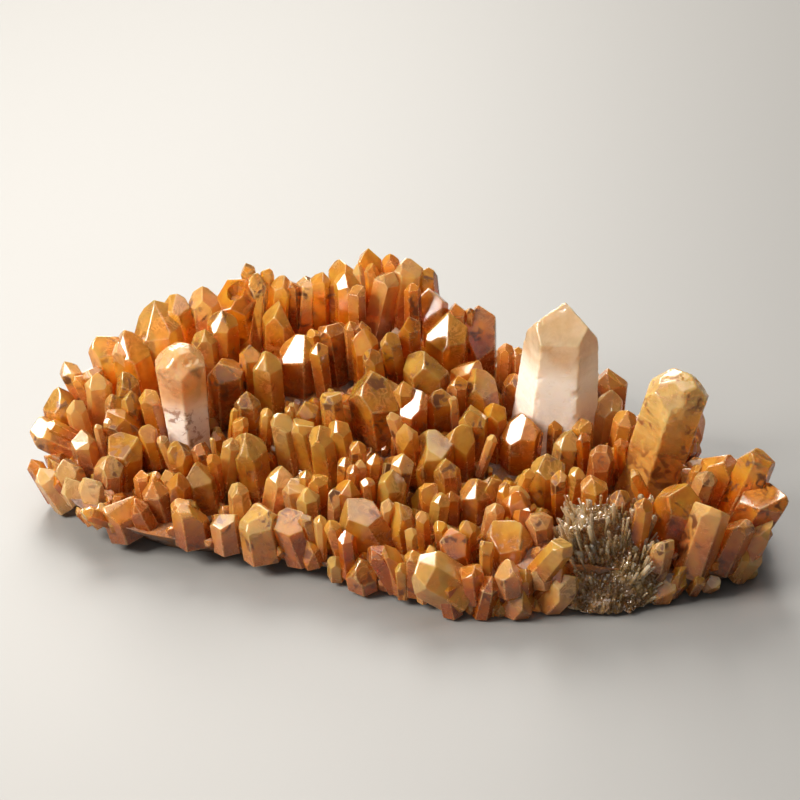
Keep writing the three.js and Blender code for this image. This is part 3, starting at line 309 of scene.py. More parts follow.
    (20.476, -23.022, 9.164, 0.077, -0.138, 0.987, 8.95, 3.502, 17, -1, 0, 2078),
    (23.257, -24.262, 9.174, -0.024, -0.136, 0.99, 8.95, 4.728, 52, -1.9, 0, 2085),
    (-1.469, -20.19, 4.679, 0.045, -0.13, 0.991, 15.152, 5.366, 18, -1.1, 0, 2092),
    (7.47, -24.417, 2.661, 0.094, -0.127, 0.987, 14.45, 3.905, 17, -0.7, 0, 2099, ((0.536, -0.517, 0.668, 9.937),)),
    (-2.879, -27.473, 6.869, 0.131, -0.105, 0.986, 10.2, 2.661, 0, 1.1, 0, 2106),
    (2.298, -28.069, 2.207, -0.157, -0.103, 0.982, 14.7, 5.111, 24, -1.7, 0, 2113),
    (3.408, -33.941, 4.541, -0.093, -0.089, 0.992, 10.2, 2.639, 34, 0.3, 0, 2120),
    (5.436, -30.14, 5.704, -0.066, -0.105, 0.992, 10.2, 2.856, 32, -1.1, 0, 2127),
    (10.562, -23.767, 3.615, 0, -0.131, 0.991, 13.7, 3.291, 11, -0.1, 0, 2134),
    (13.613, -32.369, 4.181, -0.029, -0.105, 0.994, 10.847, 3.255, 37, -1, 2, 2141),
    (12.118, -35.801, 3.057, -0.156, -0.09, 0.984, 10.95, 5.468, 9, -1.8, 1, 2148),
    (17.785, -27.999, 7.774, 0.144, -0.121, 0.982, 9.2, 3.478, 43, -0.2, 0, 2155),
    (22.533, -25.346, 9.371, 0.099, -0.132, 0.986, 8.7, 5.952, 2, -1.9, 0, 2162),
    (21.555, -33.842, 6.137, 0.04, -0.1, 0.994, 10.351, 8.715, 58, 0.1, 0, 2169),
    (24.458, -31.968, 9.817, -0.122, -0.106, 0.987, 7.45, 3.252, 57, 1.1, 0, 2176),
    (27.545, -32.858, 9.809, -0.1, -0.101, 0.99, 8.2, 5.273, 10, 0.5, 0, 2183),
    (16.785, -37.89, 4.206, 0, -0.087, 0.996, 9.95, 2.623, 58, 1.4, 0, 2190),
    (12.717, -41.353, 3.023, -0.796, -0.063, 0.602, 11.95, 8.86, 22, 1.4, 1, 2197),
    (3.394, -38.807, 2.199, 0, -0.074, 0.997, 10.7, 4.236, 41, 0.6, 0, 2204),
    (7.842, -38.313, 2.979, -0.158, -0.079, 0.984, 10.2, 1.817, 15, -0.8, 0, 2211),
    (0.21, -37.54, 2.44, -0.441, -0.059, 0.896, 11.2, 4.45, 38, 1.1, 0, 2218),
    (9.463, -31.592, 2.502, -0.103, -0.104, 0.989, 12.45, 2.851, 41, 0.2, 0, 2225),
    (31.213, 4.95, 8.973, 0.05, -0.035, 0.998, 33.95, 14.197, -5, -3.2, 2, 2232),
    (42.149, 11.391, 6.805, 0.094, 0.06, 0.994, 17.7, 6.734, 22, -1.4, 2, 2239),
    (41.534, 3.82, 7.387, 0.081, -0.011, 0.997, 16.2, 5.575, 15, -1.1, 0, 2246, ((0.637, -0.537, 0.552, 8.738),)),
    (43.961, -2.114, 8.294, 0.135, -0.04, 0.99, 13.994, 4.463, 50, 0.2, 0, 2253),
    (48.351, -11.059, 4.612, 0.22, -0.068, 0.973, 31.95, 12.16, 14, 0, 3, 2260),
    (44.994, -11.833, 9.705, -0.102, -0.113, 0.988, 12.258, 2.717, 50, -1.2, 0, 2267),
    (39.183, -13.392, 6.709, 0.061, -0.12, 0.991, 15.002, 4.793, 57, -1.4, 0, 2274),
    (32.554, -6.179, 6.531, 0.124, -0.101, 0.987, 14.2, 5.49, 5, 0.9, 0, 2281),
    (37.517, -7.396, 6.495, -0.064, -0.106, 0.992, 14.671, 3.159, 26, 1.4, 0, 2288),
    (33.453, -19.692, 4.452, 0.103, -0.134, 0.986, 15.95, 3.922, 16, -1, 0, 2295),
    (38.017, -23.3, 4.822, -0.016, -0.131, 0.991, 15.95, 5.128, 34, 1.3, 0, 2302),
    (49.575, -24.564, 11.489, -0.448, -0.118, 0.886, 11.121, 2.868, 10, 0.4, 1, 2309),
    (50.124, -29.604, 4.62, 0.281, -0.109, 0.954, 17.95, 8.925, 4, -0.2, 0, 2316),
    (57.665, -19.282, 3.269, 0.347, 0.048, 0.937, 20.2, 7.461, 42, -1, 0, 2323),
    (63.394, -22.811, 3.159, 0.312, 0.045, 0.949, 21.2, 6.587, 2, -1.5, 1, 2330),
    (64.838, -25.804, 3.26, 0.395, -0.118, 0.911, 16.95, 8.186, 10, 1.5, 1, 2337),
    (57.151, -22.012, 7.488, 0.232, -0.095, 0.968, 13.252, 4.118, 4, -1.8, 0, 2344),
    (65.307, -30.453, 4.04, 0.578, -0.054, 0.814, 11.95, 5.724, 49, -1.8, 0, 2351),
    (65.046, -31.695, 1.148, 0.544, -0.056, 0.837, 8.95, 4.1, 29, 1.4, 0, 2358),
    (56.253, -34.772, 4.776, 0.238, -0.064, 0.969, 16.2, 6.856, 48, -1.2, 1, 2365),
    (49.625, -37.71, 7.143, 0.125, -0.066, 0.99, 6.45, 4.446, 42, 1.2, 1, 2372),
    (61.884, -33.249, 4.365, 0.309, -0.063, 0.949, 11.7, 6.095, 50, -0.4, 1, 2379),
    (30.996, -1.462, 10.347, 0.081, -0.064, 0.995, 10.2, 3.195, 20, -1.2, 0, 2386),
    (36.868, -2.942, 9.22, 0, -0.073, 0.997, 12.237, 4.245, 17, -1.8, 0, 2393),
    (32.06, -19.644, 4.827, -0.041, -0.134, 0.99, 14.7, 3.306, 0, 1, 0, 2400),
    (43.041, -31.385, 10.536, -0.075, -0.098, 0.992, 10.685, 3.648, 55, 1.1, 0, 2407),
    (56.329, -18.174, 6.054, 0.185, -0.024, 0.982, 13.367, 2.908, 41, -0.2, 0, 2414),
    (45.175, -35.504, 7.464, 0.1, -0.076, 0.992, 14.45, 3.62, 38, -0.6, 0, 2421),
    (-1.309, 16.04, 20.623, -0.044, 0.175, 0.984, 6.296, 5.887, 40, 0.6, 0, 5000),
    (40.919, 22.857, 6.637, 0.534, 0.421, 0.733, 7.513, 5.451, 57, 1.6, 0, 5011),
    (-35.588, 29.345, 10.406, -0.457, 0.615, 0.642, 15.574, 5.912, 41, -0.3, 0, 5022),
    (32.715, 29.341, 7.305, 0.514, 0.628, 0.584, 12.208, 5.422, 8, 0.9, 0, 5033),
    (65.394, -12.431, 3.827, 0.765, -0.246, 0.595, 7.888, 5.052, 35, -0.6, 0, 5044),
    (29.764, 32.215, 7.294, 0.442, 0.71, 0.548, 12.338, 4.477, 59, 0.8, 0, 5055),
    (-35.263, -3.905, 7.807, -0.283, -0.088, 0.955, 7.518, 5.669, 46, -0.5, 0, 5066),
    (-1.537, -11.555, 6.829, -0.059, -0.268, 0.962, 10.324, 5.509, 44, 1, 0, 5077),
    (26.168, 19.761, 11.803, 0.39, 0.227, 0.892, 12.419, 4.843, 3, 1.7, 0, 5088),
    (55.101, -24.875, 4.195, 0.515, -0.472, 0.715, 11.431, 5.635, 7, -0.3, 0, 5099),
    (12.02, 22.037, 17.723, 0.205, 0.379, 0.902, 12.679, 4.488, 11, -0.5, 0, 5110),
    (2.492, 30.528, 15.493, 0.197, 0.617, 0.762, 14.501, 5.777, 33, 0.4, 0, 5121),
    (-16.098, 0.988, 13.705, -0.21, -0.236, 0.949, 10.322, 4.444, 12, -0.3, 0, 5132),
    (5.543, 12.371, 17.932, 0.147, 0.224, 0.963, 8.088, 4.869, 53, 1, 0, 5143),
    (-51.231, 27.056, 7.638, -0.682, 0.448, 0.577, 13.546, 4.64, 7, -0.8, 0, 5154),
    (28.975, 22.733, 9.856, 0.267, 0.434, 0.86, 13.187, 4.821, 17, 1.7, 0, 5165),
    (49.963, -2.644, 5.594, 0.449, -0.164, 0.879, 11.777, 5.444, 55, 0.9, 0, 5176),
    (-8.241, 28.076, 18.059, -0.189, 0.514, 0.837, 14.466, 5.5, 11, 1.8, 0, 5187),
    (7.143, 28.497, 16.136, 0.131, 0.56, 0.818, 11.183, 4.906, 24, 0.1, 0, 5198),
    (-58.773, 17.137, 7.33, -0.724, 0.256, 0.64, 9.407, 5.159, 2, 1.5, 0, 5209),
    (20.815, 19.704, 14.115, 0.191, 0.173, 0.966, 8.948, 5.168, 43, 1.1, 0, 5220),
    (-43.279, 28.767, 8.496, -0.56, 0.515, 0.649, 12.174, 4.875, 47, 1.4, 0, 5231),
    (-42.726, 5.577, 11.076, -0.409, 0.12, 0.905, 10.07, 5.104, 12, -1.5, 0, 5242),
    (-35.04, 27.148, 12.413, -0.392, 0.49, 0.779, 16.746, 4.558, 36, -0.1, 0, 5253),
    (-23.432, 31.085, 12.407, -0.288, 0.662, 0.692, 10.178, 5.783, 25, 0.8, 0, 5264),
    (-44.518, 25.542, 9.533, -0.572, 0.462, 0.678, 13.64, 5.502, 18, -0.5, 0, 5275),
    (-0.629, 35.373, 10.006, 0.019, 0.783, 0.621, 13.633, 5.866, 17, 0.5, 0, 5286),
    (53.76, -0.656, 5.303, 0.605, -0.19, 0.773, 6.722, 4.41, 20, 1.8, 0, 5297),
    (19.403, 23.752, 13.911, 0.207, 0.29, 0.934, 8.25, 5.614, 3, 0.5, 0, 5308),
    (-5.134, 33.347, 12.449, -0.124, 0.716, 0.687, 15.112, 5.782, 19, -1.1, 0, 5319),
    (10.258, 35.924, 8.707, 0.231, 0.808, 0.542, 14.888, 4.785, 42, 1.5, 0, 5330),
    (60.142, -9.906, 3.881, 0.695, -0.175, 0.697, 10.114, 4.942, 49, -0.7, 0, 5341),
    (-62.11, 12.568, 7.071, -0.772, 0.081, 0.63, 9.116, 5.03, 46, -1.2, 0, 5352),
    (37.021, 18.974, 7.734, 0.475, 0.303, 0.826, 12.129, 5.238, 7, 0.9, 0, 5363),
    (33.387, 14.597, 9.288, 0.27, 0.149, 0.951, 10.929, 5.889, 4, -0.5, 0, 5374),
    (-17.472, -12.056, 5.336, -0.147, -0.325, 0.934, 10.375, 5.71, 13, 1.4, 0, 5385),
    (-14.232, 35.035, 9.42, -0.213, 0.773, 0.598, 15.405, 4.514, 4, 1.3, 0, 5396),
    (-9.757, 37.009, 8.802, -0.153, 0.817, 0.556, 12.526, 4.701, 19, -0.8, 0, 5407),
    (10.402, 32.078, 11.802, 0.215, 0.698, 0.683, 12.704, 5.72, 59, 1.1, 0, 5418),
    (5.487, -14.957, 5.137, 0.047, -0.392, 0.919, 7.669, 5.575, 37, 0.3, 0, 5429),
    (66.099, -18.737, 3.779, 0.743, -0.284, 0.606, 6.677, 5.774, 15, -1.5, 0, 5440),
    (-25.475, 13.09, 18.737, -0.377, 0.256, 0.89, 7.34, 5.992, 0, -1.1, 0, 5451),
    (-0.796, 29.566, 17.029, -0.018, 0.552, 0.834, 15.638, 5.634, 54, 0.6, 0, 5462),
    (-7.91, 30.636, 15.431, -0.1, 0.688, 0.718, 16.331, 4.903, 35, -1.4, 0, 5473),
    (-13.569, 26.813, 18.691, -0.192, 0.447, 0.873, 15.928, 4.787, 52, -0.6, 0, 5484),
    (60.938, -2.763, 4.233, 0.684, -0.129, 0.718, 10.287, 5.565, 57, 1.7, 0, 5495),
    (-16.211, 15.99, 20.273, -0.141, 0.119, 0.983, 10.138, 5.05, 26, 0.5, 0, 5506),
    (4.955, -25.411, 1.925, 0.008, -0.264, 0.965, 9.244, 4.601, 2, -0.7, 0, 5517),
    (-20.672, 37.138, 8.27, -0.354, 0.785, 0.509, 15.67, 4.68, 51, -0.7, 0, 5528),
    (44.716, -17.709, 3.942, 0.343, -0.332, 0.879, 8.506, 5.426, 32, 2, 0, 5539),
    (44.572, 7.283, 6.884, 0.58, 0.027, 0.814, 8.667, 4.654, 59, -0.3, 0, 5550),
    (-28.625, 25.117, 16.323, -0.365, 0.305, 0.88, 8.585, 4.796, 52, -0.8, 0, 5561),
    (37.665, -16.934, 4.481, 0.371, -0.33, 0.868, 7.775, 5.161, 0, 1.1, 0, 5572),
    (43.409, -21.813, 4.462, 0.182, -0.427, 0.886, 8.079, 5.763, 13, -0.9, 0, 5583),
    (-53.677, 18.917, 7.946, -0.688, 0.204, 0.697, 12.658, 4.43, 7, 0.7, 0, 5594),
    (47.648, 10.241, 6.223, 0.591, 0.129, 0.797, 12.118, 4.631, 21, 1.6, 0, 5605),
    (63.665, 0.405, 4.377, 0.817, -0.184, 0.546, 9.048, 4.813, 29, 1.1, 0, 5616),
    (27.783, 28.416, 8.552, 0.389, 0.65, 0.653, 13.085, 5.625, 17, -0.1, 0, 5627),
    (50.075, -23.169, 4.092, 0.446, -0.23, 0.865, 7.659, 4.613, 6, 1, 0, 5638),
    (23.322, 27.982, 10.231, 0.288, 0.549, 0.784, 8.28, 5.676, 15, -0.1, 0, 5649),
    (50.326, 3.75, 6.001, 0.478, -0.12, 0.87, 10.406, 5.516, 3, 1.2, 0, 5660),
    (-32.625, 23.431, 16.035, -0.316, 0.327, 0.891, 12.86, 4.425, 24, 1, 0, 5671),
    (6.429, 34.881, 9.488, 0.044, 0.794, 0.606, 15.761, 5.032, 40, -1.4, 0, 5682),
    (56.562, -5.776, 4.554, 0.713, -0.046, 0.7, 6.912, 4.704, 41, -0.9, 0, 5693),
    (63.993, -4.698, 4.211, 0.814, -0.175, 0.553, 8.917, 4.759, 16, 0, 0, 5704),
    (0.208, 4.723, 16.296, 0.024, 0.084, 0.996, 6.743, 4.62, 22, 1, 0, 5715),
    (5.711, 26.321, 18.547, 0.055, 0.491, 0.87, 13.04, 5.974, 48, -0.9, 0, 5726),
    (-52.316, 23.722, 7.936, -0.668, 0.414, 0.619, 11.425, 4.483, 1, 1.2, 0, 5737),
    (-40.666, 8.131, 13.238, -0.203, 0.079, 0.976, 14.006, 5.607, 49, -0.2, 0, 5748),
    (-56.188, 22.018, 7.405, -0.662, 0.302, 0.686, 12.671, 5.915, 52, 1.9, 0, 5759),
    (16.738, 31.856, 10.121, 0.223, 0.681, 0.697, 8.454, 4.65, 54, -0.7, 0, 5770),
    (56.303, 10.4, 5.326, 0.781, 0.118, 0.613, 5.651, 4.846, 34, 1.7, 0, 5781),
    (-29.622, 32.979, 9.194, -0.518, 0.65, 0.556, 8.183, 4.661, 5, -0.5, 0, 5792),
    (38.896, -6.936, 6.332, 0.408, -0.153, 0.9, 11.52, 5.983, 29, -0.7, 0, 5803),
    (34.156, 24.579, 7.739, 0.435, 0.445, 0.783, 10.851, 5.395, 34, -0.5, 0, 5814),
    (54.714, 4.862, 5.18, 0.603, -0.076, 0.794, 9.232, 4.633, 57, -0.5, 0, 5825),
    (-5.054, 31.37, 14.936, 0.041, 0.699, 0.714, 18.357, 5.965, 33, -0.9, 0, 5836),
    (30.695, 12.332, 10.063, 0.193, 0.11, 0.975, 12.936, 4.748, 56, 1.2, 0, 5847),
    (-4.977, -7.992, 9.04, -0.005, -0.273, 0.962, 8.68, 5.428, 8, 1.4, 0, 5858),
    (51.347, 13.564, 5.73, 0.717, 0.036, 0.697, 9.88, 5.028, 7, 0.2, 0, 5869),
    (24.818, 34.564, 7.46, 0.435, 0.765, 0.475, 14.132, 5.121, 35, 1.5, 0, 5880),
    (18.191, 11.525, 13.669, 0.213, 0.243, 0.946, 7.071, 5.188, 31, 1.1, 0, 5891),
    (-19.902, 28.935, 15.528, -0.286, 0.517, 0.807, 14.558, 5.781, 26, -0.4, 0, 5902),
    (59.727, -13.647, 3.901, 0.706, -0.279, 0.651, 11.861, 5.756, 23, -1.3, 0, 5913),
    (28.564, 15.838, 11.166, 0.339, 0.219, 0.915, 11.44, 5.686, 4, 1.5, 0, 5924),
    (-49.974, 22.245, 8.782, -0.556, 0.371, 0.743, 12.759, 4.443, 10, -1.3, 0, 5935),
    (54.114, -8.634, 4.256, 0.523, -0.23, 0.821, 11.371, 5.671, 59, 0.4, 0, 5946),
    (-17.618, 27.716, 17.101, -0.154, 0.498, 0.853, 13.992, 4.551, 53, -1.1, 0, 5957),
    (-38.183, 27.774, 10.743, -0.551, 0.473, 0.687, 16.5, 5.496, 1, 0.3, 0, 5968),
    (-41.202, 23.658, 12.009, -0.413, 0.442, 0.796, 15.893, 5.906, 30, -1.5, 0, 5979),
    (-18.165, 25.132, 19.336, -0.173, 0.404, 0.898, 14.047, 5.285, 5, -1.2, 0, 5990),
    (-34.288, 33.453, 8.37, -0.49, 0.643, 0.588, 12.475, 4.802, 45, -1.3, 0, 6001),
    (-11.872, 32.516, 12.197, -0.175, 0.706, 0.686, 14.595, 5.529, 51, -1.2, 0, 6012),
    (-13.551, 31.076, 14.019, -0.289, 0.63, 0.721, 13.734, 4.726, 31, 1.8, 0, 6023),
    (-24.69, 34.484, 9.192, -0.418, 0.728, 0.544, 8.379, 4.718, 55, -1, 0, 6034),
    (-20.233, 32.984, 10.981, -0.268, 0.757, 0.596, 14.556, 5.927, 45, -1.1, 0, 6045),
    (-2.717, 38.118, 8.513, -0.039, 0.842, 0.538, 13.396, 4.458, 27, -0.6, 0, 6056),
    (-1.308, 33.132, 12.816, 0.05, 0.771, 0.634, 17.869, 5.553, 41, -0.3, 0, 6067),
    (25.778, 15.593, 11.969, 0.183, 0.104, 0.978, 13.349, 5.522, 48, 0.3, 0, 6078),
    (-22.688, 0.292, 12.402, -0.325, -0.033, 0.945, 7.983, 5.307, 31, 0.3, 0, 6089),
    (-23.372, 25.225, 17.632, -0.126, 0.515, 0.848, 15.486, 4.931, 3, 0.7, 0, 6100),
    (-40.142, 29.967, 8.727, -0.531, 0.579, 0.619, 16.945, 4.719, 7, 1, 0, 6111),
    (11.449, -26.864, 3.695, -0.104, -0.334, 0.937, 7.584, 5.959, 27, -0.8, 0, 6122),
    (50.041, 17.026, 6.056, 0.729, 0.313, 0.609, 11.848, 5.331, 55, -0.8, 0, 6133),
    (-1.579, 27.012, 19.768, -0.007, 0.431, 0.902, 18.792, 5.77, 4, -0.3, 0, 6144),
    (58.502, 1.65, 4.631, 0.705, -0.135, 0.696, 6.202, 5.064, 17, -0.1, 0, 6155),
    (-43.198, 10.508, 12.745, -0.395, 0.035, 0.918, 7.997, 4.603, 32, 1.9, 0, 6166),
    (35.352, 8.672, 8.4, 0.461, 0.078, 0.884, 8.239, 5.416, 14, 0.5, 0, 6177),
    (30.684, 20.534, 9.658, 0.385, 0.256, 0.887, 15.126, 4.567, 8, 1, 0, 6188),
    (37.908, 28.069, 6.882, 0.566, 0.61, 0.554, 8.006, 4.537, 33, 1.9, 0, 6199),
    (-50.332, 18.317, 9.413, -0.57, 0.317, 0.758, 12.327, 5.094, 3, -0.6, 0, 6210),
    (45.045, 1.646, 6.927, 0.429, -0.165, 0.888, 12.363, 4.994, 56, -0.6, 0, 6221),
    (-29.702, 29.738, 11.949, -0.489, 0.541, 0.684, 8.592, 5.29, 32, 1.6, 0, 6232),
    (1.155, 32.094, 13.88, 0, 0.663, 0.749, 16.965, 4.4, 27, 1.9, 0, 6243),
    (-32.341, 25.761, 14.539, -0.317, 0.504, 0.803, 11.432, 5.005, 32, 1.7, 0, 6254),
    (21.848, -15.334, 6.848, 0.035, -0.308, 0.951, 8.282, 4.601, 33, -0.2, 0, 6265),
    (17.545, 34.408, 8.353, 0.347, 0.692, 0.634, 9.868, 5.373, 16, 1.1, 0, 6276),
    (-47.602, 27.177, 8.181, -0.599, 0.56, 0.572, 16.704, 4.941, 55, 1, 0, 6287),
    (36, 16.502, 8.242, 0.539, 0.096, 0.837, 9.958, 4.921, 16, -0.9, 0, 6298),
    (-16.511, 36.22, 8.844, -0.356, 0.749, 0.558, 13.67, 5.119, 16, 1.8, 0, 6309),
    (14.186, 33.61, 9.392, 0.254, 0.743, 0.62, 15.45, 5.509, 46, -0.3, 0, 6320),
    (-19.722, -21.354, 3.253, -0.377, -0.4, 0.835, 7.423, 4.122, 29, -0.4, 0, 6331),
    (-5.636, 15.906, 20.962, -0.007, 0.311, 0.95, 6.152, 3.243, 0, -0.3, 0, 6342),
    (-24.674, 28.732, 14.399, -0.287, 0.54, 0.791, 9.118, 4.084, 34, -0.3, 0, 6353),
    (9.611, 12.829, 16.605, 0.14, 0.005, 0.99, 5.941, 3.237, 40, 1, 0, 6364),
    (54.29, -12.391, 4.076, 0.606, -0.229, 0.762, 9.318, 3.246, 44, 0.4, 0, 6375),
    (-56.774, 12.785, 7.584, -0.701, 0.108, 0.705, 5.267, 3.705, 1, 0.9, 0, 6386),
    (6, -32.339, 2.182, 0.125, -0.491, 0.862, 8.546, 4.368, 10, 1.6, 0, 6397),
    (31.711, -12.628, 4.933, 0.333, -0.233, 0.914, 8.377, 4.008, 50, 1.3, 0, 6408),
    (-33.138, 20.091, 17.641, -0.193, 0.364, 0.911, 7.642, 3.919, 40, -0.9, 0, 6419),
    (53.417, -4.235, 4.945, 0.562, -0.163, 0.811, 7.598, 4.218, 41, -0.9, 0, 6430),
    (47.822, -18.894, 3.841, 0.429, -0.322, 0.844, 8.075, 3.268, 5, -0.9, 0, 6441),
    (-3.767, -32.534, 3.077, -0.104, -0.729, 0.676, 4.492, 4.117, 16, -1.2, 0, 6452),
    (41.963, 6.265, 7.321, 0.432, 0.09, 0.898, 8.843, 3.28, 7, 1, 0, 6463),
    (-58.321, -5.312, 6.573, -0.723, -0.233, 0.651, 4.627, 3.345, 9, 1, 0, 6474),
    (21.94, -12.181, 6.094, 0.217, -0.204, 0.955, 6.515, 3.773, 31, 1.5, 0, 6485),
    (-20.477, 3.84, 14.66, -0.06, -0.158, 0.986, 6.614, 3.362, 45, -0.2, 0, 6496),
    (9.729, 24.198, 18.805, 0.092, 0.488, 0.868, 10.603, 4.169, 53, -1, 0, 6507),
    (52.501, -13.963, 3.99, 0.443, -0.186, 0.877, 8.119, 3.948, 25, -0.1, 0, 6518),
    (-15.562, 18.421, 20.803, -0.205, 0.321, 0.924, 6.681, 3.377, 18, 1.7, 0, 6529),
    (-7.437, 35.494, 9.685, -0.097, 0.746, 0.659, 10.459, 3.307, 42, 1.5, 0, 6540),
    (23.564, 21.723, 12.609, 0.198, 0.33, 0.923, 9.637, 3.579, 55, -1.3, 0, 6551),
    (-11.775, 2.262, 14.704, -0.256, -0.092, 0.962, 6.103, 4.284, 38, -0.2, 0, 6562),
    (68.585, -22.482, 3.821, 0.754, -0.346, 0.558, 4.808, 3.548, 27, -1, 0, 6573),
    (-0.64, -6.753, 9.987, -0.066, -0.381, 0.922, 5.937, 3.654, 56, 1.6, 0, 6584),
    (4.433, 37.901, 8.327, 0.069, 0.875, 0.48, 9.928, 3.999, 52, 1.5, 0, 6595),
    (-10.262, 4.831, 16.179, 0.015, -0.099, 0.995, 6.738, 3.415, 39, -1, 0, 6606),
    (-27.957, 27.443, 14.643, -0.304, 0.463, 0.833, 9.017, 4.152, 21, 0.1, 0, 6617),
    (13.556, 14.758, 15.994, 0.293, 0.196, 0.936, 6.775, 3.527, 34, 1.3, 0, 6628),
    (-63.465, -1.496, 6.671, -0.745, -0.189, 0.64, 4.558, 3.5, 35, 1.4, 0, 6639),
    (-41.53, -3.169, 7.029, -0.307, -0.223, 0.925, 8.533, 3.223, 41, -1, 0, 6650),
    (17.127, 27.31, 13.126, 0.079, 0.513, 0.855, 12.016, 3.97, 14, -0.2, 0, 6661),
    (-40.938, 12.971, 14.312, -0.408, 0.084, 0.909, 7.191, 3.895, 42, 0.3, 0, 6672),
    (38.3, -1.252, 7.432, 0.34, -0.26, 0.904, 6.715, 3.445, 50, -1, 0, 6683),
    (-3.817, 27.338, 19.467, -0.216, 0.466, 0.858, 14.986, 3.766, 44, 1.3, 0, 6694),
    (-45.177, -9.8, 5.823, -0.456, -0.276, 0.846, 8.733, 3.491, 42, -1.1, 0, 6705),
    (27.148, -7.866, 6.878, 0.185, -0.116, 0.976, 6.805, 3.411, 0, -1.3, 0, 6716),
    (-9.835, -10.198, 7.091, 0.104, -0.165, 0.981, 9.85, 3.674, 10, 1.9, 0, 6727),
    (24.677, 9.875, 11.443, 0.142, 0.168, 0.976, 10.922, 4.094, 54, -0.3, 0, 6738),
    (41.378, 19.81, 6.831, 0.548, 0.327, 0.77, 8.096, 3.254, 40, -0.1, 0, 6749),
    (23.799, -14.314, 5.502, 0.27, -0.204, 0.941, 5.757, 3.361, 21, 1.9, 0, 6760),
    (3.001, -17.882, 3.085, 0.123, -0.407, 0.905, 7.664, 3.686, 46, 1.7, 0, 6771),
    (-45.715, 9.354, 11.075, -0.465, -0.004, 0.885, 8.983, 4.376, 39, 1.3, 0, 6782),
    (14.329, 12.709, 15.038, 0.211, 0.044, 0.977, 7.253, 3.311, 33, -1, 0, 6793),
    (21.909, 24.781, 12.281, 0.247, 0.546, 0.801, 7.095, 4.09, 42, -0.1, 0, 6804),
    (45.548, 13.745, 6.432, 0.56, 0.14, 0.816, 4.835, 3.248, 35, 1.3, 0, 6815),
    (-30.639, 10.421, 16.665, -0.326, 0.255, 0.91, 9.13, 3.491, 11, -1.3, 0, 6826),
    (11.592, 30.416, 13.1, 0.234, 0.568, 0.789, 11.334, 3.244, 35, 0.9, 0, 6837),
    (14.356, 1.633, 12.116, 0.172, -0.11, 0.979, 7.028, 3.441, 27, 1.2, 0, 6848),
    (1.006, -31.445, 2.602, -0.153, -0.57, 0.807, 5.917, 3.269, 58, -0.1, 0, 6859),
    (10.52, -18.334, 5.51, 0.071, -0.32, 0.945, 8.413, 3.206, 6, 1.3, 0, 6870),
    (13.708, 31.389, 11.521, 0.233, 0.593, 0.771, 13.177, 3.428, 16, -0.6, 0, 6881),
    (-13.499, 18.652, 21.007, -0.078, 0.189, 0.979, 8.135, 3.555, 11, 1.7, 0, 6892),
    (-55.922, 1.244, 6.965, -0.667, -0.035, 0.744, 6.025, 3.287, 44, -0.9, 0, 6903),
    (19.773, 29.568, 10.62, 0.25, 0.703, 0.665, 8.245, 3.976, 27, 0.2, 0, 6914),
    (-21.969, -11.675, 5.488, -0.28, -0.227, 0.933, 6.128, 4.333, 43, -0.5, 0, 6925),
    (4.368, -5.021, 11.011, 0.01, -0.208, 0.978, 8.069, 3.423, 35, 1.6, 0, 6936),
    (2.715, 33.727, 11.615, 0.085, 0.804, 0.589, 12.877, 4.314, 8, -0.5, 0, 6947),
    (11.293, 26.171, 16.593, 0.214, 0.455, 0.864, 11.463, 3.255, 31, 1.5, 0, 6958),
    (-10.37, -24.386, 3.107, -0.125, -0.542, 0.831, 6.76, 3.769, 0, -0.4, 0, 6969),
    (-7.41, 15.367, 20.607, -0.148, 0.076, 0.986, 8.807, 3.775, 25, -1.3, 0, 6980),
    (-27.746, 3.272, 13.273, -0.207, -0.003, 0.978, 6.639, 3.604, 11, 0.5, 0, 6991),
    (-48.699, 5.202, 8.785, -0.495, -0.027, 0.869, 5.075, 4.026, 54, -1.4, 0, 7002),
    (13.524, -24.704, 5.94, 0.259, -0.438, 0.861, 5.188, 4.272, 31, -1, 0, 7013),
    (42.511, 17.65, 6.761, 0.561, 0.243, 0.791, 5.733, 3.456, 28, -0.5, 0, 7024),
    (-14.763, -4.842, 10.338, -0.035, -0.022, 0.999, 10.307, 3.784, 9, -1, 0, 7035),
    (54.684, 7.159, 5.18, 0.653, 0.118, 0.748, 9.422, 3.765, 38, 0, 0, 7046),
    (6.924, -18.617, 3.322, 0.138, -0.208, 0.968, 10.627, 3.579, 24, 1.3, 0, 7057),
    (40.733, -14.132, 4.302, 0.294, -0.336, 0.895, 7.182, 3.825, 46, 1.2, 0, 7068),
    (41.373, 14.98, 7.029, 0.496, 0.132, 0.858, 7.132, 3.883, 30, -1.1, 0, 7079),
    (-2.704, 12.272, 19.557, -0.022, -0.016, 1, 8.946, 3.526, 32, 0.4, 0, 7090),
    (-24.586, -19.489, 3.587, -0.339, -0.384, 0.859, 7.203, 3.535, 42, 0, 0, 7101),
    (57.96, -23.725, 3.835, 0.62, -0.312, 0.719, 6.494, 3.799, 50, 0.9, 0, 7112),
    (-14.518, -12.36, 5.23, 0.044, -0.336, 0.941, 6.497, 3.914, 28, 1.5, 0, 7123),
    (-0.058, -21.341, 2.735, 0.125, -0.376, 0.918, 10.274, 3.406, 7, -0.5, 0, 7134),
    (-36.911, 24.24, 13.658, -0.378, 0.458, 0.805, 11.029, 3.255, 43, -1.1, 0, 7145),
    (22.222, 2.513, 10.568, 0.189, -0.035, 0.981, 6.885, 3.677, 2, -1.4, 0, 7156),
    (-11.263, 34.366, 10.196, -0.147, 0.794, 0.59, 11.843, 3.629, 28, 0.5, 0, 7167),
    (28.909, 25.833, 9.062, 0.273, 0.495, 0.825, 11.88, 3.98, 43, 0.2, 0, 7178),
    (44.486, -3.69, 6.354, 0.317, -0.247, 0.916, 8.961, 3.802, 59, 1.4, 0, 7189),
    (-28.397, 35.875, 8.167, -0.396, 0.749, 0.531, 6.565, 3.647, 24, 0.1, 0, 7200),
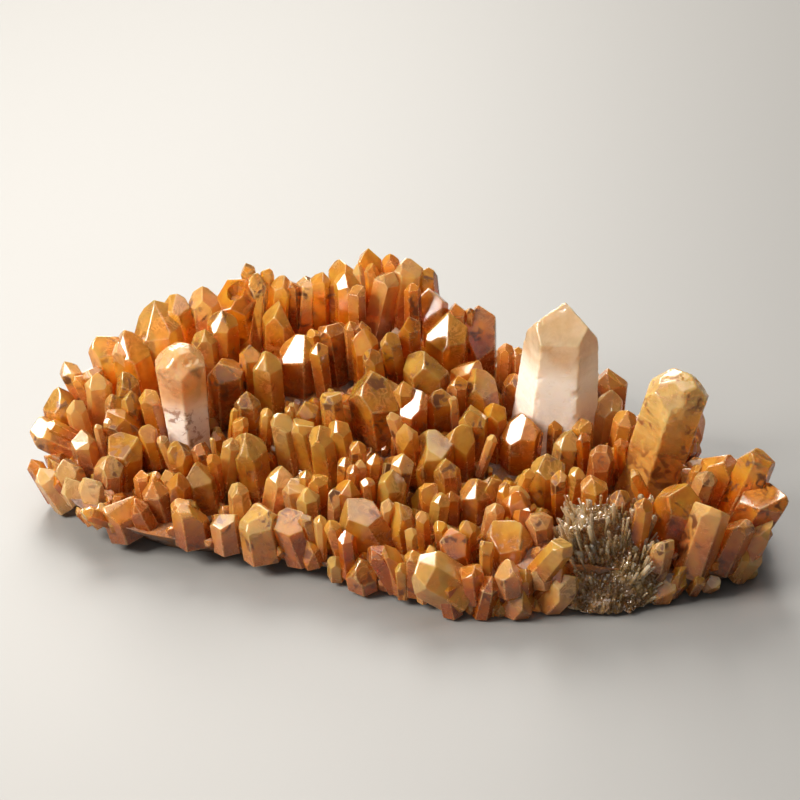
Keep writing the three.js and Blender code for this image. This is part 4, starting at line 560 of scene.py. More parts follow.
    (-4.054, 35.116, 10.328, -0.066, 0.798, 0.6, 13.356, 3.76, 8, -0.2, 0, 7211),
    (-37.859, -5.659, 6.45, -0.39, 0, 0.921, 8.562, 3.735, 9, 0.2, 0, 7222),
    (-13.62, -22.236, 3.055, -0.185, -0.561, 0.807, 8.861, 3.589, 28, -1.2, 0, 7233),
    (16.329, 36.424, 7.931, 0.334, 0.804, 0.491, 10.341, 3.362, 35, 1, 0, 7244),
    (40.262, -10.886, 5.225, 0.425, -0.152, 0.892, 5.58, 3.846, 8, 1.7, 0, 7255),
    (-28.856, -14.698, 4.266, -0.292, -0.329, 0.898, 6.267, 3.213, 56, 0.2, 0, 7266),
    (-47.539, -7.564, 6.033, -0.543, -0.24, 0.805, 5.323, 3.92, 1, -0.6, 0, 7277),
    (33.551, 18.151, 8.956, 0.317, 0.278, 0.907, 6.063, 3.572, 43, 2, 0, 7288),
    (-41.342, -9.794, 5.633, -0.321, -0.344, 0.882, 9.109, 3.211, 5, -1.3, 0, 7299),
    (-33.125, -19.533, 4.148, -0.427, -0.305, 0.851, 5.867, 4.108, 14, 0, 0, 7310),
    (18.299, -10.147, 7.178, 0.257, -0.175, 0.95, 5.383, 3.275, 16, 1.9, 0, 7321),
    (46.226, -22.19, 4.3, 0.436, -0.283, 0.854, 5.252, 3.73, 19, 1.7, 0, 7332),
    (15.725, 24.834, 15.189, 0.127, 0.343, 0.931, 10.824, 3.858, 5, 1.9, 0, 7343),
    (2.406, 17.079, 20.288, -0.017, 0.13, 0.991, 6.306, 3.248, 33, -0.5, 0, 7354),
    (24.247, 31.005, 8.332, 0.347, 0.671, 0.655, 8.099, 4.098, 26, 0.2, 0, 7365),
    (10.199, -4.544, 10.661, -0.233, -0.076, 0.969, 7.716, 3.638, 58, 1.7, 0, 7376),
    (49.094, -16.321, 3.947, 0.48, -0.283, 0.83, 10.25, 4.308, 33, -1.4, 0, 7387),
    (40.164, -25.444, 5.477, 0.367, -0.417, 0.831, 7.864, 3.602, 9, 0.9, 0, 7398),
    (-28.224, 18.094, 19.366, -0.323, 0.271, 0.907, 4.393, 2.93, 7, 0.8, 0, 7409),
    (-47.436, -10.074, 5.917, -0.526, -0.204, 0.825, 7.588, 2.442, 27, 0.6, 0, 7420),
    (33.656, -8.396, 6.004, 0.373, -0.182, 0.91, 4.475, 2.507, 13, -0.2, 0, 7431),
    (-44.185, -5.786, 6.214, -0.449, -0.225, 0.865, 4.885, 2.9, 31, -1.2, 0, 7442),
    (-8.608, -16.437, 3.66, -0.038, -0.441, 0.896, 4.055, 2.882, 31, 0, 0, 7453),
    (42.133, 25.982, 6.623, 0.575, 0.564, 0.593, 6.765, 3.154, 43, -1.3, 0, 7464),
    (26.952, -9.665, 6.299, 0.226, -0.274, 0.935, 6.405, 2.633, 29, 1.8, 0, 7475),
    (-24.666, 23.737, 18.556, -0.327, 0.39, 0.861, 10.364, 2.934, 54, 1.6, 0, 7486),
    (38.438, 1.124, 7.805, 0.39, -0.127, 0.912, 4.887, 2.866, 57, 2, 0, 7497),
    (6.949, -27.11, 2.148, 0.092, -0.329, 0.94, 6.115, 2.61, 46, 0.1, 0, 7508),
    (3.118, 3.994, 15.164, -0.028, -0.123, 0.992, 6.935, 3.08, 21, -1.2, 0, 7519),
    (11.116, -1.836, 11.651, 0.137, -0.196, 0.971, 6.647, 2.517, 54, 1.4, 0, 7530),
    (40.522, 0.53, 7.493, 0.34, -0.09, 0.936, 6.267, 2.853, 23, 1.8, 0, 7541),
    (-43.161, 31.88, 7.72, -0.585, 0.609, 0.535, 7.995, 2.604, 49, 2, 0, 7552),
    (49.338, 20.071, 6.26, 0.711, 0.394, 0.582, 8.058, 2.433, 7, 1.8, 0, 7563),
    (20.228, 3.932, 11.291, 0.169, 0.031, 0.985, 6.031, 2.521, 47, -0.4, 0, 7574),
    (-8.67, 7.188, 17.693, -0.07, 0.173, 0.982, 4.509, 2.494, 57, 1.8, 0, 7585),
    (-17.21, 29.715, 15.247, -0.141, 0.54, 0.83, 10.776, 2.636, 55, 1.7, 0, 7596),
    (-22.198, -8.166, 7.339, -0.18, -0.32, 0.93, 5.682, 2.466, 23, 0.4, 0, 7607),
    (-9.253, -3.029, 11.776, -0.046, -0.277, 0.96, 5.278, 2.563, 6, 1.3, 0, 7618),
    (-6.083, 25.36, 21.256, -0.116, 0.402, 0.908, 5.734, 2.623, 33, 0.4, 0, 7629),
    (26.07, -28.284, 9.806, 0.248, -0.394, 0.885, 3.923, 3.041, 53, -0.2, 0, 7640),
    (-7.556, -18.147, 3.053, -0.064, -0.417, 0.907, 6.316, 2.527, 50, 1.9, 0, 7651),
    (10.755, -12.649, 9, 0.133, -0.306, 0.943, 4.186, 3.055, 41, 1.6, 0, 7662),
    (18.619, 25.88, 13.234, 0.227, 0.499, 0.836, 7.236, 2.622, 31, 1.8, 0, 7673),
    (2.583, 37.116, 8.838, -0.016, 0.829, 0.559, 8.047, 2.417, 30, -0.5, 0, 7684),
    (14.46, -36.42, 4.033, 0.118, -0.657, 0.745, 6.06, 2.427, 19, -1.4, 0, 7695),
    (31.655, -1.938, 7.83, 0.327, -0.152, 0.933, 7.381, 2.886, 17, -0.4, 0, 7706),
    (-25.129, 27.09, 15.645, -0.209, 0.485, 0.849, 11.474, 2.669, 23, 1.6, 0, 7717),
    (30.281, -10.37, 5.554, 0.235, -0.204, 0.95, 7.195, 2.531, 8, 1, 0, 7728),
    (-53.698, -12.413, 6.171, -0.662, -0.27, 0.699, 4.281, 3.059, 26, 1, 0, 7739),
    (-25.114, -10.598, 6.016, -0.257, -0.413, 0.874, 4.36, 2.563, 12, -0.5, 0, 7750),
    (7.76, 37.091, 8.317, 0.149, 0.852, 0.502, 8.828, 3.141, 48, 0, 0, 7761),
    (-38.76, -16.673, 5.124, -0.334, -0.401, 0.853, 7.085, 2.558, 44, 1.6, 0, 7772),
    (18.852, 8.802, 12.668, 0.196, -0.002, 0.981, 6.311, 2.503, 39, 0.9, 0, 7783),
    (5.752, 17.082, 19.472, -0.074, 0.218, 0.973, 7.294, 2.802, 40, 1, 0, 7794),
    (17.696, 2.112, 11.52, 0.178, -0.09, 0.98, 5.346, 3.031, 5, 1.3, 0, 7805),
    (12.824, -15.168, 8.964, 0.091, -0.231, 0.969, 5.242, 3.178, 25, -0.8, 0, 7816),
    (-16.034, -15.155, 3.53, -0.132, -0.292, 0.947, 4.596, 2.796, 33, 1.2, 0, 7827),
    (-11.564, -14.5, 4.288, -0.26, -0.323, 0.91, 4.795, 2.612, 30, -0.1, 0, 7838),
    (-19.321, 19.785, 20.421, -0.084, 0.306, 0.948, 6.372, 2.975, 21, -1, 0, 7849),
    (65.253, -8.95, 4.024, 0.825, -0.201, 0.528, 7.282, 3.197, 9, 1.1, 0, 7860),
    (-19.257, 31.146, 13.241, -0.295, 0.594, 0.748, 8.235, 2.517, 48, -0.9, 0, 7871),
    (-10.511, 17.451, 21.188, -0.052, 0.234, 0.971, 7.809, 2.717, 5, -1, 0, 7882),
    (-5.707, -20.559, 2.762, -0.096, -0.302, 0.949, 4.307, 2.432, 45, 0, 0, 7893),
    (15.157, -11.666, 8.418, 0.222, -0.302, 0.927, 4.304, 2.816, 29, 0.4, 0, 7904),
    (-43.841, -2.239, 7.319, -0.354, -0.119, 0.928, 8.392, 2.508, 21, -0.7, 0, 7915),
    (15.063, -17.022, 8.979, 0.218, -0.302, 0.928, 6.91, 2.463, 5, 2, 0, 7926),
    (34.677, 27.233, 7.182, 0.531, 0.559, 0.637, 9.599, 2.45, 48, -1, 0, 7937),
    (-27.31, -20.635, 3.784, -0.465, -0.445, 0.765, 6.108, 3.113, 28, 0.8, 0, 7948),
    (35.539, -10.374, 5.344, 0.241, -0.331, 0.912, 5.37, 2.492, 38, 1, 0, 7959),
    (-27.201, 32.215, 10.257, -0.452, 0.601, 0.659, 9.083, 2.668, 57, -1, 0, 7970),
    (-31.742, 4.379, 13.003, -0.211, -0.219, 0.953, 4.492, 2.525, 35, 0.1, 0, 7981),
    (-34.287, -0.314, 9.891, -0.338, -0.129, 0.932, 7.313, 2.902, 11, -0.4, 0, 7992),
    (55.53, 13.04, 5.549, 0.797, 0.167, 0.581, 6.333, 2.446, 3, 1.8, 0, 8003),
    (-55.301, 25.14, 7.416, -0.744, 0.39, 0.542, 8.213, 3.062, 45, 1, 0, 8014),
    (-32.156, -16.436, 4.444, -0.321, -0.359, 0.876, 5.811, 3.163, 5, -0.7, 0, 8025),
    (-27.234, 30.248, 12.091, -0.324, 0.614, 0.719, 9.1, 2.843, 12, -1, 0, 8036),
    (-26.774, -15.075, 3.879, -0.146, -0.303, 0.942, 4.948, 2.576, 1, -0.5, 0, 8047),
    (25.165, 23.865, 11.171, 0.288, 0.522, 0.803, 7.602, 2.903, 17, -0.9, 0, 8058),
    (62.435, 2.578, 4.447, 0.787, 0.001, 0.617, 6.219, 2.627, 4, -0.2, 0, 8069),
    (37.168, 11.79, 8.234, 0.311, 0.264, 0.913, 6.828, 2.636, 16, 0.3, 0, 8080),
    (36.688, 25.032, 7.076, 0.57, 0.5, 0.652, 7.338, 2.87, 32, 1.2, 0, 8091),
    (-4.708, -21.942, 2.814, -0.058, -0.406, 0.912, 4.803, 2.828, 43, -1.1, 0, 8102),
    (-19.558, -15.471, 3.348, -0.299, -0.236, 0.925, 4.93, 2.494, 36, 1.5, 0, 8113),
    (-10.043, 31.181, 14.301, -0.252, 0.629, 0.735, 10.826, 2.67, 45, 1.6, 0, 8124),
    (15.771, -30.215, 5.649, 0.054, -0.475, 0.879, 5.962, 2.987, 6, -0.1, 0, 8135),
    (18.539, -14.588, 8.103, 0.134, -0.314, 0.94, 5.178, 2.778, 17, -0.9, 0, 8146),
    (1.56, -12.866, 6.13, 0.189, -0.282, 0.941, 4.285, 2.748, 36, 0.7, 0, 8157),
    (17.732, -12.462, 7.655, 0.128, -0.208, 0.97, 6.258, 2.611, 7, 0.3, 0, 8168),
    (5.531, 32.051, 12.857, 0.101, 0.749, 0.655, 8.247, 2.879, 2, -1.5, 0, 8179),
    (37.666, 5.698, 8.057, 0.287, -0.086, 0.954, 4.134, 2.92, 49, 1.2, 0, 8190),
    (-7.538, -29.435, 3.118, -0.158, -0.59, 0.792, 3.672, 2.41, 40, -1, 0, 8201),
    (13.72, 27.312, 14.689, 0.149, 0.576, 0.804, 8.53, 3.02, 42, -1, 0, 8212),
    (2.949, 28.212, 17.773, -0.097, 0.464, 0.881, 8.938, 2.566, 6, -1.2, 0, 8223),
    (16.965, -40.992, 4.388, 0.236, -0.72, 0.653, 4.03, 3.079, 20, 0.7, 0, 8234),
    (-29.62, 3.973, 13.371, -0.316, -0.026, 0.948, 6.676, 2.441, 15, -0.1, 0, 8245),
    (27.077, 11.079, 10.924, 0.337, 0.144, 0.93, 5.82, 2.678, 42, -0.4, 0, 8256),
    (-47.781, 24.282, 8.84, -0.613, 0.467, 0.637, 7.039, 2.404, 35, -1.3, 0, 8267),
    (15.265, -7.399, 8.478, 0.245, -0.138, 0.96, 6.118, 2.64, 6, 1.1, 0, 8278),
    (11.829, 13.51, 16.101, 0.163, 0.044, 0.986, 7.504, 2.742, 45, 1.1, 0, 8289),
    (28.541, -19.995, 6.492, 0.241, -0.399, 0.885, 4.013, 2.662, 15, 1, 0, 8300),
    (-16.148, 5.038, 15.972, -0.111, -0.188, 0.976, 5.711, 2.757, 51, -1.4, 0, 8311),
    (-50.634, 4.165, 7.966, -0.555, -0.179, 0.813, 3.791, 2.632, 9, 0.4, 0, 8322),
    (29.02, -39.528, 10.563, 0.454, -0.683, 0.573, 5.608, 3.039, 45, 0.4, 0, 8333),
    (37.303, 22.478, 7.432, 0.483, 0.515, 0.708, 5.368, 3.134, 56, 1.9, 0, 8344),
    (-6.853, -22.754, 2.863, -0.063, -0.342, 0.938, 5.097, 2.663, 21, -1.3, 0, 8355),
    (54.06, 14.567, 5.561, 0.681, 0.168, 0.713, 3.462, 3.105, 57, 0.6, 0, 8366),
    (-23.572, -5.654, 8.893, -0.425, -0.056, 0.904, 6.47, 2.744, 0, 0.6, 0, 8377),
    (30.791, 24.375, 8.784, 0.407, 0.349, 0.844, 9.965, 2.789, 16, 0.3, 0, 8388),
    (35.813, 0.865, 8.032, 0.407, -0.21, 0.889, 7.138, 2.696, 20, 2, 0, 8399),
    (-30.052, -11.625, 5.433, -0.33, -0.272, 0.904, 5.277, 2.872, 40, -0.5, 0, 8410),
    (-55.882, -18.686, 6.126, -0.754, -0.391, 0.527, 7.149, 2.827, 38, -0.2, 0, 8421),
    (-7.259, 26.457, 19.965, -0.178, 0.355, 0.918, 10.962, 2.784, 45, -1.3, 0, 8432),
    (19.769, 28.005, 11.563, 0.272, 0.524, 0.807, 7.886, 2.766, 48, 0.2, 0, 8443),
    (-8.905, -13.272, 5.141, -0.126, -0.24, 0.963, 6.951, 2.415, 16, 1.1, 0, 8454),
    (3.745, -21.941, 2.456, 0.092, -0.353, 0.931, 4.624, 2.498, 42, -0.7, 0, 8465),
    (21.023, -28.323, 9.908, 0.219, -0.387, 0.896, 3.88, 2.575, 9, 1, 0, 8476),
    (21.659, -19.205, 9.042, 0.039, -0.408, 0.912, 5.102, 2.795, 9, 1.7, 0, 8487),
    (0.165, -4.137, 11.544, 0.03, -0.136, 0.99, 7.793, 2.948, 6, 1, 0, 8498),
    (-9.303, 1.412, 14.233, -0.131, -0.263, 0.956, 8.56, 2.891, 43, 1.5, 0, 8509),
    (-0.203, 20.138, 21.38, -0.009, 0.204, 0.979, 7.412, 2.583, 10, -1.3, 0, 8520),
    (43.552, 3.577, 7.124, 0.348, 0.001, 0.938, 7.767, 3.088, 21, 0.1, 0, 8531),
    (-31.784, 1.262, 11.261, -0.196, -0.164, 0.967, 5.257, 2.614, 17, -0.8, 0, 8542),
    (44.777, 16.133, 6.529, 0.61, 0.286, 0.739, 3.946, 3.139, 41, 0.1, 0, 8553),
    (23.25, -10.254, 6.674, 0.345, -0.11, 0.932, 6.067, 2.529, 6, -0.1, 0, 8564),
    (23.553, 18.229, 13.083, 0.271, 0.288, 0.919, 6.823, 3.134, 9, -0.1, 0, 8575),
    (34.899, -14.853, 4.652, 0.286, -0.363, 0.887, 7.304, 2.998, 20, 1, 0, 8586),
    (44.889, 10.681, 6.541, 0.466, 0.008, 0.884, 5.609, 2.723, 34, 0.7, 0, 8597),
    (-14.608, 28.266, 17.047, -0.207, 0.63, 0.748, 10.119, 2.426, 46, -0.3, 0, 8608),
    (-19.278, -0.946, 12.162, -0.147, -0.067, 0.987, 7.439, 2.616, 27, -0.4, 0, 8619),
    (28.519, -4.903, 7.629, 0.229, -0.139, 0.963, 5.503, 3.112, 57, -0.6, 0, 8630),
    (1.981, -33.53, 2.55, 0.032, -0.609, 0.793, 5.3, 2.599, 52, 1.1, 0, 8641),
    (23.383, -27.762, 9.841, 0.3, -0.414, 0.859, 6.868, 2.77, 23, -0.1, 0, 8652),
    (-32.88, 18.656, 18.505, -0.175, 0.215, 0.961, 8.404, 2.53, 16, 0.6, 0, 8663),
    (-6.833, -4.03, 11.467, -0.155, -0.264, 0.952, 5.131, 2.644, 17, 0.6, 0, 8674),
    (51.372, -19.024, 3.663, 0.577, -0.274, 0.769, 5.39, 2.936, 5, 1.2, 0, 8685),
    (-11.014, -4.411, 10.996, -0.116, -0.172, 0.978, 8.199, 3.178, 4, 2, 0, 8696),
    (20.99, 31.907, 8.637, 0.278, 0.717, 0.639, 8.065, 3.117, 58, -1.1, 0, 8707),
    (-2.389, -22.212, 2.616, 0.049, -0.433, 0.9, 4.941, 2.62, 37, -1.4, 0, 8718),
    (50.397, 9.334, 5.858, 0.65, 0.084, 0.755, 5.705, 2.456, 24, -0.7, 0, 8729),
    (-54.993, 8.298, 7.838, -0.595, 0.179, 0.784, 4.224, 2.574, 49, -0.8, 0, 8740),
    (-26.946, -17.288, 3.752, -0.217, -0.401, 0.89, 4.072, 2.895, 46, 1.4, 0, 8751),
    (21.186, 30.847, 9.32, 0.416, 0.584, 0.698, 9, 2.961, 15, -0.4, 0, 8762),
    (18.536, -24.463, 9.647, 0.172, -0.449, 0.877, 4.328, 2.466, 9, 1.2, 0, 8773),
    (-36.809, 5.055, 12.299, -0.288, -0.072, 0.955, 4.504, 3.185, 27, -1.2, 0, 8784),
    (2.13, 19.475, 20.961, 0.018, 0.348, 0.937, 5.328, 2.574, 6, -1.1, 0, 8795),
    (22.703, 5.073, 10.913, 0.379, 0.018, 0.925, 4.818, 3.165, 22, -0.3, 0, 8806),
    (48.654, 6.909, 6.228, 0.609, 0.164, 0.776, 7.502, 2.622, 11, 0.7, 0, 8817),
    (-46.32, 5.937, 9.837, -0.286, 0.066, 0.956, 4.407, 2.755, 50, 1.2, 0, 8828),
    (-21.688, 5.999, 15.731, -0.197, -0.093, 0.976, 4.509, 2.519, 40, 1.7, 0, 8839),
    (-18.074, -8.817, 7.358, -0.372, -0.328, 0.869, 4.92, 3.12, 45, -1.1, 0, 8850),
    (-4.876, -13.356, 5.371, 0.06, -0.217, 0.974, 5.141, 2.425, 11, -0.1, 0, 8861),
    (-38.504, 33.258, 7.963, -0.546, 0.666, 0.508, 8.388, 3.073, 5, 0.2, 0, 8872),
    (-28.083, -4.572, 8.785, -0.38, -0.117, 0.918, 3.687, 2.306, 59, 1.8, 0, 8883),
    (-11.799, -13.239, 4.952, 0.015, -0.348, 0.937, 3.216, 1.998, 25, -0.8, 0, 8894),
    (12.527, -22.325, 5.596, -0.059, -0.423, 0.904, 3.496, 2.099, 31, -1, 0, 8905),
    (-22.25, 3.924, 14.503, -0.291, -0.039, 0.956, 3.58, 1.819, 6, 0.2, 0, 8916),
    (-10.283, -27.422, 3.158, -0.187, -0.588, 0.787, 3.208, 1.912, 38, 1.2, 0, 8927),
    (43.922, -14.768, 4.123, 0.308, -0.187, 0.933, 3.171, 2.24, 5, 1.8, 0, 8938),
    (-59.008, 10.999, 7.189, -0.718, 0.114, 0.687, 2.912, 1.862, 59, -0.9, 0, 8949),
    (-33.403, -14.542, 4.844, -0.381, -0.305, 0.873, 3.786, 2.069, 47, -1.1, 0, 8960),
    (41.325, -3.929, 6.764, 0.362, -0.199, 0.911, 6.192, 1.899, 25, -0.8, 0, 8971),
    (-39.695, -3.628, 6.993, -0.323, -0.284, 0.903, 3.523, 2.145, 30, -0.3, 0, 8982),
    (35.291, -12.112, 4.842, 0.254, -0.319, 0.913, 3.746, 1.834, 7, 1.1, 0, 8993),
    (63.26, -15.846, 3.783, 0.68, -0.405, 0.611, 3.072, 1.868, 57, 0.2, 0, 9004),
    (-25.48, 32.766, 10.159, -0.359, 0.66, 0.66, 7.693, 1.858, 29, 1, 0, 9015),
    (-44.489, -8.217, 5.804, -0.414, -0.165, 0.895, 3.421, 2.004, 34, -1, 0, 9026),
    (39.232, 7.994, 7.707, 0.407, 0, 0.913, 5.98, 2.185, 0, -0.3, 0, 9037),
    (3.61, -30.666, 2.363, 0.068, -0.55, 0.832, 3.11, 1.805, 55, -0.9, 0, 9048),
    (-2.538, 9.093, 18.467, -0.097, 0.114, 0.989, 5.068, 1.945, 53, -1, 0, 9059),
    (-28.548, -22.49, 3.717, -0.332, -0.537, 0.775, 3.086, 2.093, 44, 0.7, 0, 9070),
    (67.255, -16.186, 3.886, 0.798, -0.287, 0.53, 3.217, 2.058, 32, 1.7, 0, 9081),
    (47.162, 6.194, 6.542, 0.596, -0.172, 0.784, 4.685, 2.008, 54, 0.7, 0, 9092),
    (-43.794, 23.07, 11.159, -0.51, 0.481, 0.713, 6.234, 1.906, 40, -0.7, 0, 9103),
    (-31.463, -1.959, 9.586, -0.305, -0.172, 0.937, 3.963, 1.875, 46, 0, 0, 9114),
    (48.052, -0.772, 6.171, 0.495, -0.206, 0.844, 3.148, 2.052, 29, -1.4, 0, 9125),
    (-8.492, 2.823, 15.232, -0.099, 0.042, 0.994, 3.364, 2.014, 10, 1, 0, 9136),
    (-33.284, 11.383, 16.499, -0.31, 0.173, 0.935, 5.102, 2.092, 4, -0.9, 0, 9147),
    (16.662, -15.023, 8.82, 0.124, -0.294, 0.948, 5.616, 1.947, 8, 0.5, 0, 9158),
    (24.369, -16.533, 6.051, 0.289, -0.29, 0.912, 4.488, 2.351, 0, -1.1, 0, 9169),
    (4.687, 18.826, 20.201, 0.041, 0.195, 0.98, 3.38, 2.177, 3, -0.6, 0, 9180),
    (41.787, -6.135, 6.407, 0.379, -0.269, 0.886, 3.247, 1.93, 33, 0.8, 0, 9191),
    (4.584, -12.969, 6.265, 0.027, -0.214, 0.976, 4.999, 2.123, 12, 1, 0, 9202),
    (25.538, -23.003, 9.427, 0.274, -0.479, 0.834, 4.644, 2.308, 15, 0.4, 0, 9213),
    (10.398, 28.857, 14.86, 0.125, 0.631, 0.766, 7.344, 2.173, 22, 0.1, 0, 9224),
    (52.958, 1.36, 5.567, 0.584, -0.087, 0.807, 3.425, 1.885, 15, -1.2, 0, 9235),
    (36.199, -14.066, 4.571, 0.29, -0.244, 0.925, 3.324, 2.101, 31, -0.9, 0, 9246),
    (-3.506, -22.758, 2.767, -0.013, -0.467, 0.884, 3.307, 2.382, 22, -0.6, 0, 9257),
    (1.705, -10.792, 7.447, 0.011, -0.277, 0.961, 3.217, 2.382, 9, 0.5, 0, 9268),
    (-5.356, 36.533, 9.286, -0.114, 0.815, 0.569, 7.278, 2.084, 53, 0, 0, 9279),
    (-12.652, -25.52, 3.152, -0.365, -0.522, 0.771, 4.092, 2.391, 40, 0.7, 0, 9290),
    (-55.309, 7.285, 7.653, -0.595, 0.062, 0.801, 3.109, 2.207, 17, 0.2, 0, 9301),
    (44.4, 20.571, 6.459, 0.67, 0.289, 0.684, 3.709, 1.947, 3, 1.6, 0, 9312),
    (-29.96, 2.569, 12.448, -0.157, -0.099, 0.983, 5.506, 1.811, 15, 1.4, 0, 9323),
    (9.07, -18.455, 3.879, 0.04, -0.424, 0.905, 3.46, 2.177, 42, -0.1, 0, 9334),
    (-14.844, 32.675, 11.981, -0.289, 0.647, 0.706, 6.683, 1.818, 45, 1.2, 0, 9345),
    (1.489, 1.885, 14.817, 0.114, -0.1, 0.988, 4.894, 2.393, 41, -0.9, 0, 9356),
    (-14.363, -19.629, 2.853, -0.234, -0.315, 0.92, 3.2, 2.009, 13, -0.6, 0, 9367),
    (4.789, -35.285, 2.482, 0.03, -0.699, 0.714, 3.103, 1.89, 18, 1, 0, 9378),
    (-60.565, -8.129, 6.493, -0.72, -0.241, 0.651, 3.223, 2.323, 44, -1.5, 0, 9389),
    (-50.625, 10.652, 9.17, -0.596, 0.074, 0.799, 3.333, 2.235, 13, 1.3, 0, 9400),
    (-37.366, 17.285, 16.785, -0.351, 0.219, 0.91, 5.727, 1.804, 48, 0.9, 0, 9411),
    (15.624, -32.201, 5.064, 0.151, -0.45, 0.88, 3.234, 1.841, 10, 0.9, 0, 9422),
    (-11.815, 27.878, 17.705, -0.099, 0.52, 0.848, 6.508, 1.881, 41, 1.8, 0, 9433),
    (-12.629, 7.262, 17.462, -0.227, -0.102, 0.968, 5.009, 1.803, 31, 1, 0, 9444),
    (19.225, -11.936, 7.032, 0.19, -0.293, 0.937, 3.222, 2.123, 30, 0.6, 0, 9455),
    (-48.862, 10.597, 9.767, -0.529, -0.075, 0.845, 3.069, 1.917, 5, 0.1, 0, 9466),
    (60.284, -17.267, 3.754, 0.676, -0.243, 0.695, 2.956, 2.258, 2, -1.1, 0, 9477),
    (-55.312, 3.944, 7.33, -0.661, -0.112, 0.742, 3.129, 2.198, 26, 1.2, 0, 9488),
    (16.16, -28.464, 6.535, 0.115, -0.411, 0.904, 3.16, 2.058, 16, 0.7, 0, 9499),
    (-51.633, -12.043, 6.005, -0.547, -0.258, 0.796, 3.036, 2.272, 40, -0.4, 0, 9510),
    (5.886, -35.151, 2.344, 0.01, -0.635, 0.773, 3.411, 2.341, 7, -0.8, 0, 9521),
    (-11.472, -25.658, 3.201, -0.284, -0.599, 0.749, 3.338, 1.889, 20, 0.1, 0, 9532),
    (52.855, -20.966, 3.655, 0.517, -0.276, 0.81, 3.058, 2.251, 3, -1.1, 0, 9543),
    (50.244, 6.516, 5.937, 0.582, -0.038, 0.812, 3.037, 2.03, 38, -0.6, 0, 9554),
    (-6.694, -24.607, 2.98, 0.044, -0.481, 0.876, 3.4, 2.229, 25, 0.2, 0, 9565),
    (-28.859, 13.464, 18.337, -0.298, 0.239, 0.924, 3.431, 2.14, 27, 1.2, 0, 9576),
    (5.265, 0.002, 13.463, -0.006, -0.079, 0.997, 3.462, 1.851, 42, -0.1, 0, 9587),
    (-18.96, 15.987, 20.205, -0.146, 0.361, 0.921, 3.309, 2.106, 44, -1.3, 0, 9598),
    (57.267, -2.368, 4.705, 0.686, -0.207, 0.697, 3.306, 2.159, 24, 1, 0, 9609),
    (38.765, 17.187, 7.354, 0.456, 0.203, 0.866, 3.528, 2.303, 46, 1.1, 0, 9620),
    (21.793, -8.407, 7.44, 0.126, -0.235, 0.964, 3.519, 2.083, 53, -0.2, 0, 9631),
    (-39.637, 11.316, 14.856, -0.357, 0.094, 0.929, 3.325, 2.194, 21, 0.3, 0, 9642),
    (-26.268, 19.305, 19.75, -0.197, 0.193, 0.961, 5.95, 1.901, 16, 0, 0, 9653),
    (-25.781, 20.994, 19.95, -0.253, 0.28, 0.926, 3.903, 2.325, 38, -0.9, 0, 9664),
    (44.593, -24.727, 4.813, 0.38, -0.431, 0.818, 5.705, 1.892, 42, 1.9, 0, 9675),
    (-29.926, 15.759, 18.748, -0.123, 0.279, 0.952, 5.046, 2.233, 29, 1.3, 0, 9686),
    (-25.949, 2.84, 13.224, -0.35, -0.202, 0.915, 3.418, 1.98, 5, -1, 0, 9697),
    (34.768, -0.794, 7.807, 0.331, -0.206, 0.921, 3.484, 2.082, 2, 0.5, 0, 9708),
    (-32.118, -12.168, 5.181, -0.365, -0.136, 0.921, 3.642, 2.07, 53, -1.3, 0, 9719),
    (-10.507, 29.829, 15.78, -0.126, 0.572, 0.811, 6.561, 1.841, 16, -0.7, 0, 9730),
    (-48.188, 9.629, 9.96, -0.502, 0.034, 0.864, 5.632, 2.065, 58, 1.3, 0, 9741),
    (42.134, 1.8, 7.404, 0.38, -0.094, 0.92, 5.49, 1.865, 52, -0.8, 0, 9752),
    (13.265, 0.72, 12.108, 0.071, -0.139, 0.988, 3.457, 1.973, 33, -0.8, 0, 9763),
    (59.251, -34.863, 5.325, 0.745, -0.414, 0.523, 3.473, 2.361, 59, -0.2, 0, 9774),
    (8.456, -33.553, 2.516, 0.178, -0.625, 0.76, 3.518, 1.801, 59, 1.9, 0, 9785),
    (-12.7, -20.286, 2.84, -0.193, -0.343, 0.919, 5.184, 1.815, 18, -1.3, 0, 9796),
    (16.783, -8.77, 7.75, 0.146, -0.308, 0.94, 3.418, 2.197, 15, 0.9, 0, 9807),
    (-57.314, 10.869, 7.484, -0.722, 0.153, 0.675, 3.199, 2.394, 3, 0, 0, 9818),
    (29.603, -19.83, 5.939, 0.326, -0.339, 0.882, 3.517, 2.287, 30, 1, 0, 9829),
    (-44.697, 0.123, 8.057, -0.402, -0.073, 0.913, 4.814, 2.078, 32, -0.5, 0, 9840),
    (-5.503, -29.708, 3.142, -0.217, -0.626, 0.749, 5.533, 1.998, 28, -0.2, 0, 9851),
    (47.36, 14.966, 6.128, 0.568, 0.253, 0.783, 3.215, 2.34, 55, 0.4, 0, 9862),
    (5.07, 2.919, 14.31, 0.194, -0.087, 0.977, 6.07, 2.134, 35, -1.2, 0, 9873),
    (50.022, 0.781, 6.025, 0.469, 0, 0.883, 3.302, 2.185, 17, -1.2, 0, 9884),
    (14.79, 17.393, 16.256, 0.107, 0.412, 0.905, 3.387, 2.239, 20, -1, 0, 9895),
    (-9.12, -18.36, 2.77, -0.206, -0.184, 0.961, 3.5, 2.117, 43, 1, 0, 9906),
    (67.149, -10.509, 3.862, 0.747, -0.283, 0.601, 3.497, 2.182, 2, 1.7, 0, 9917),
    (54.565, 1.737, 5.285, 0.618, -0.076, 0.783, 4.681, 2.119, 30, 1.2, 0, 9928),
    (45.502, 18.838, 6.352, 0.644, 0.359, 0.676, 3.224, 2.103, 53, 0.4, 0, 9939),
    (0.914, 7.411, 17.217, 0.073, 0.084, 0.994, 3.355, 2.055, 1, 0.5, 0, 9950),
    (9.462, 4.593, 13.852, 0.135, -0.004, 0.991, 3.424, 1.895, 27, 1.2, 0, 9961),
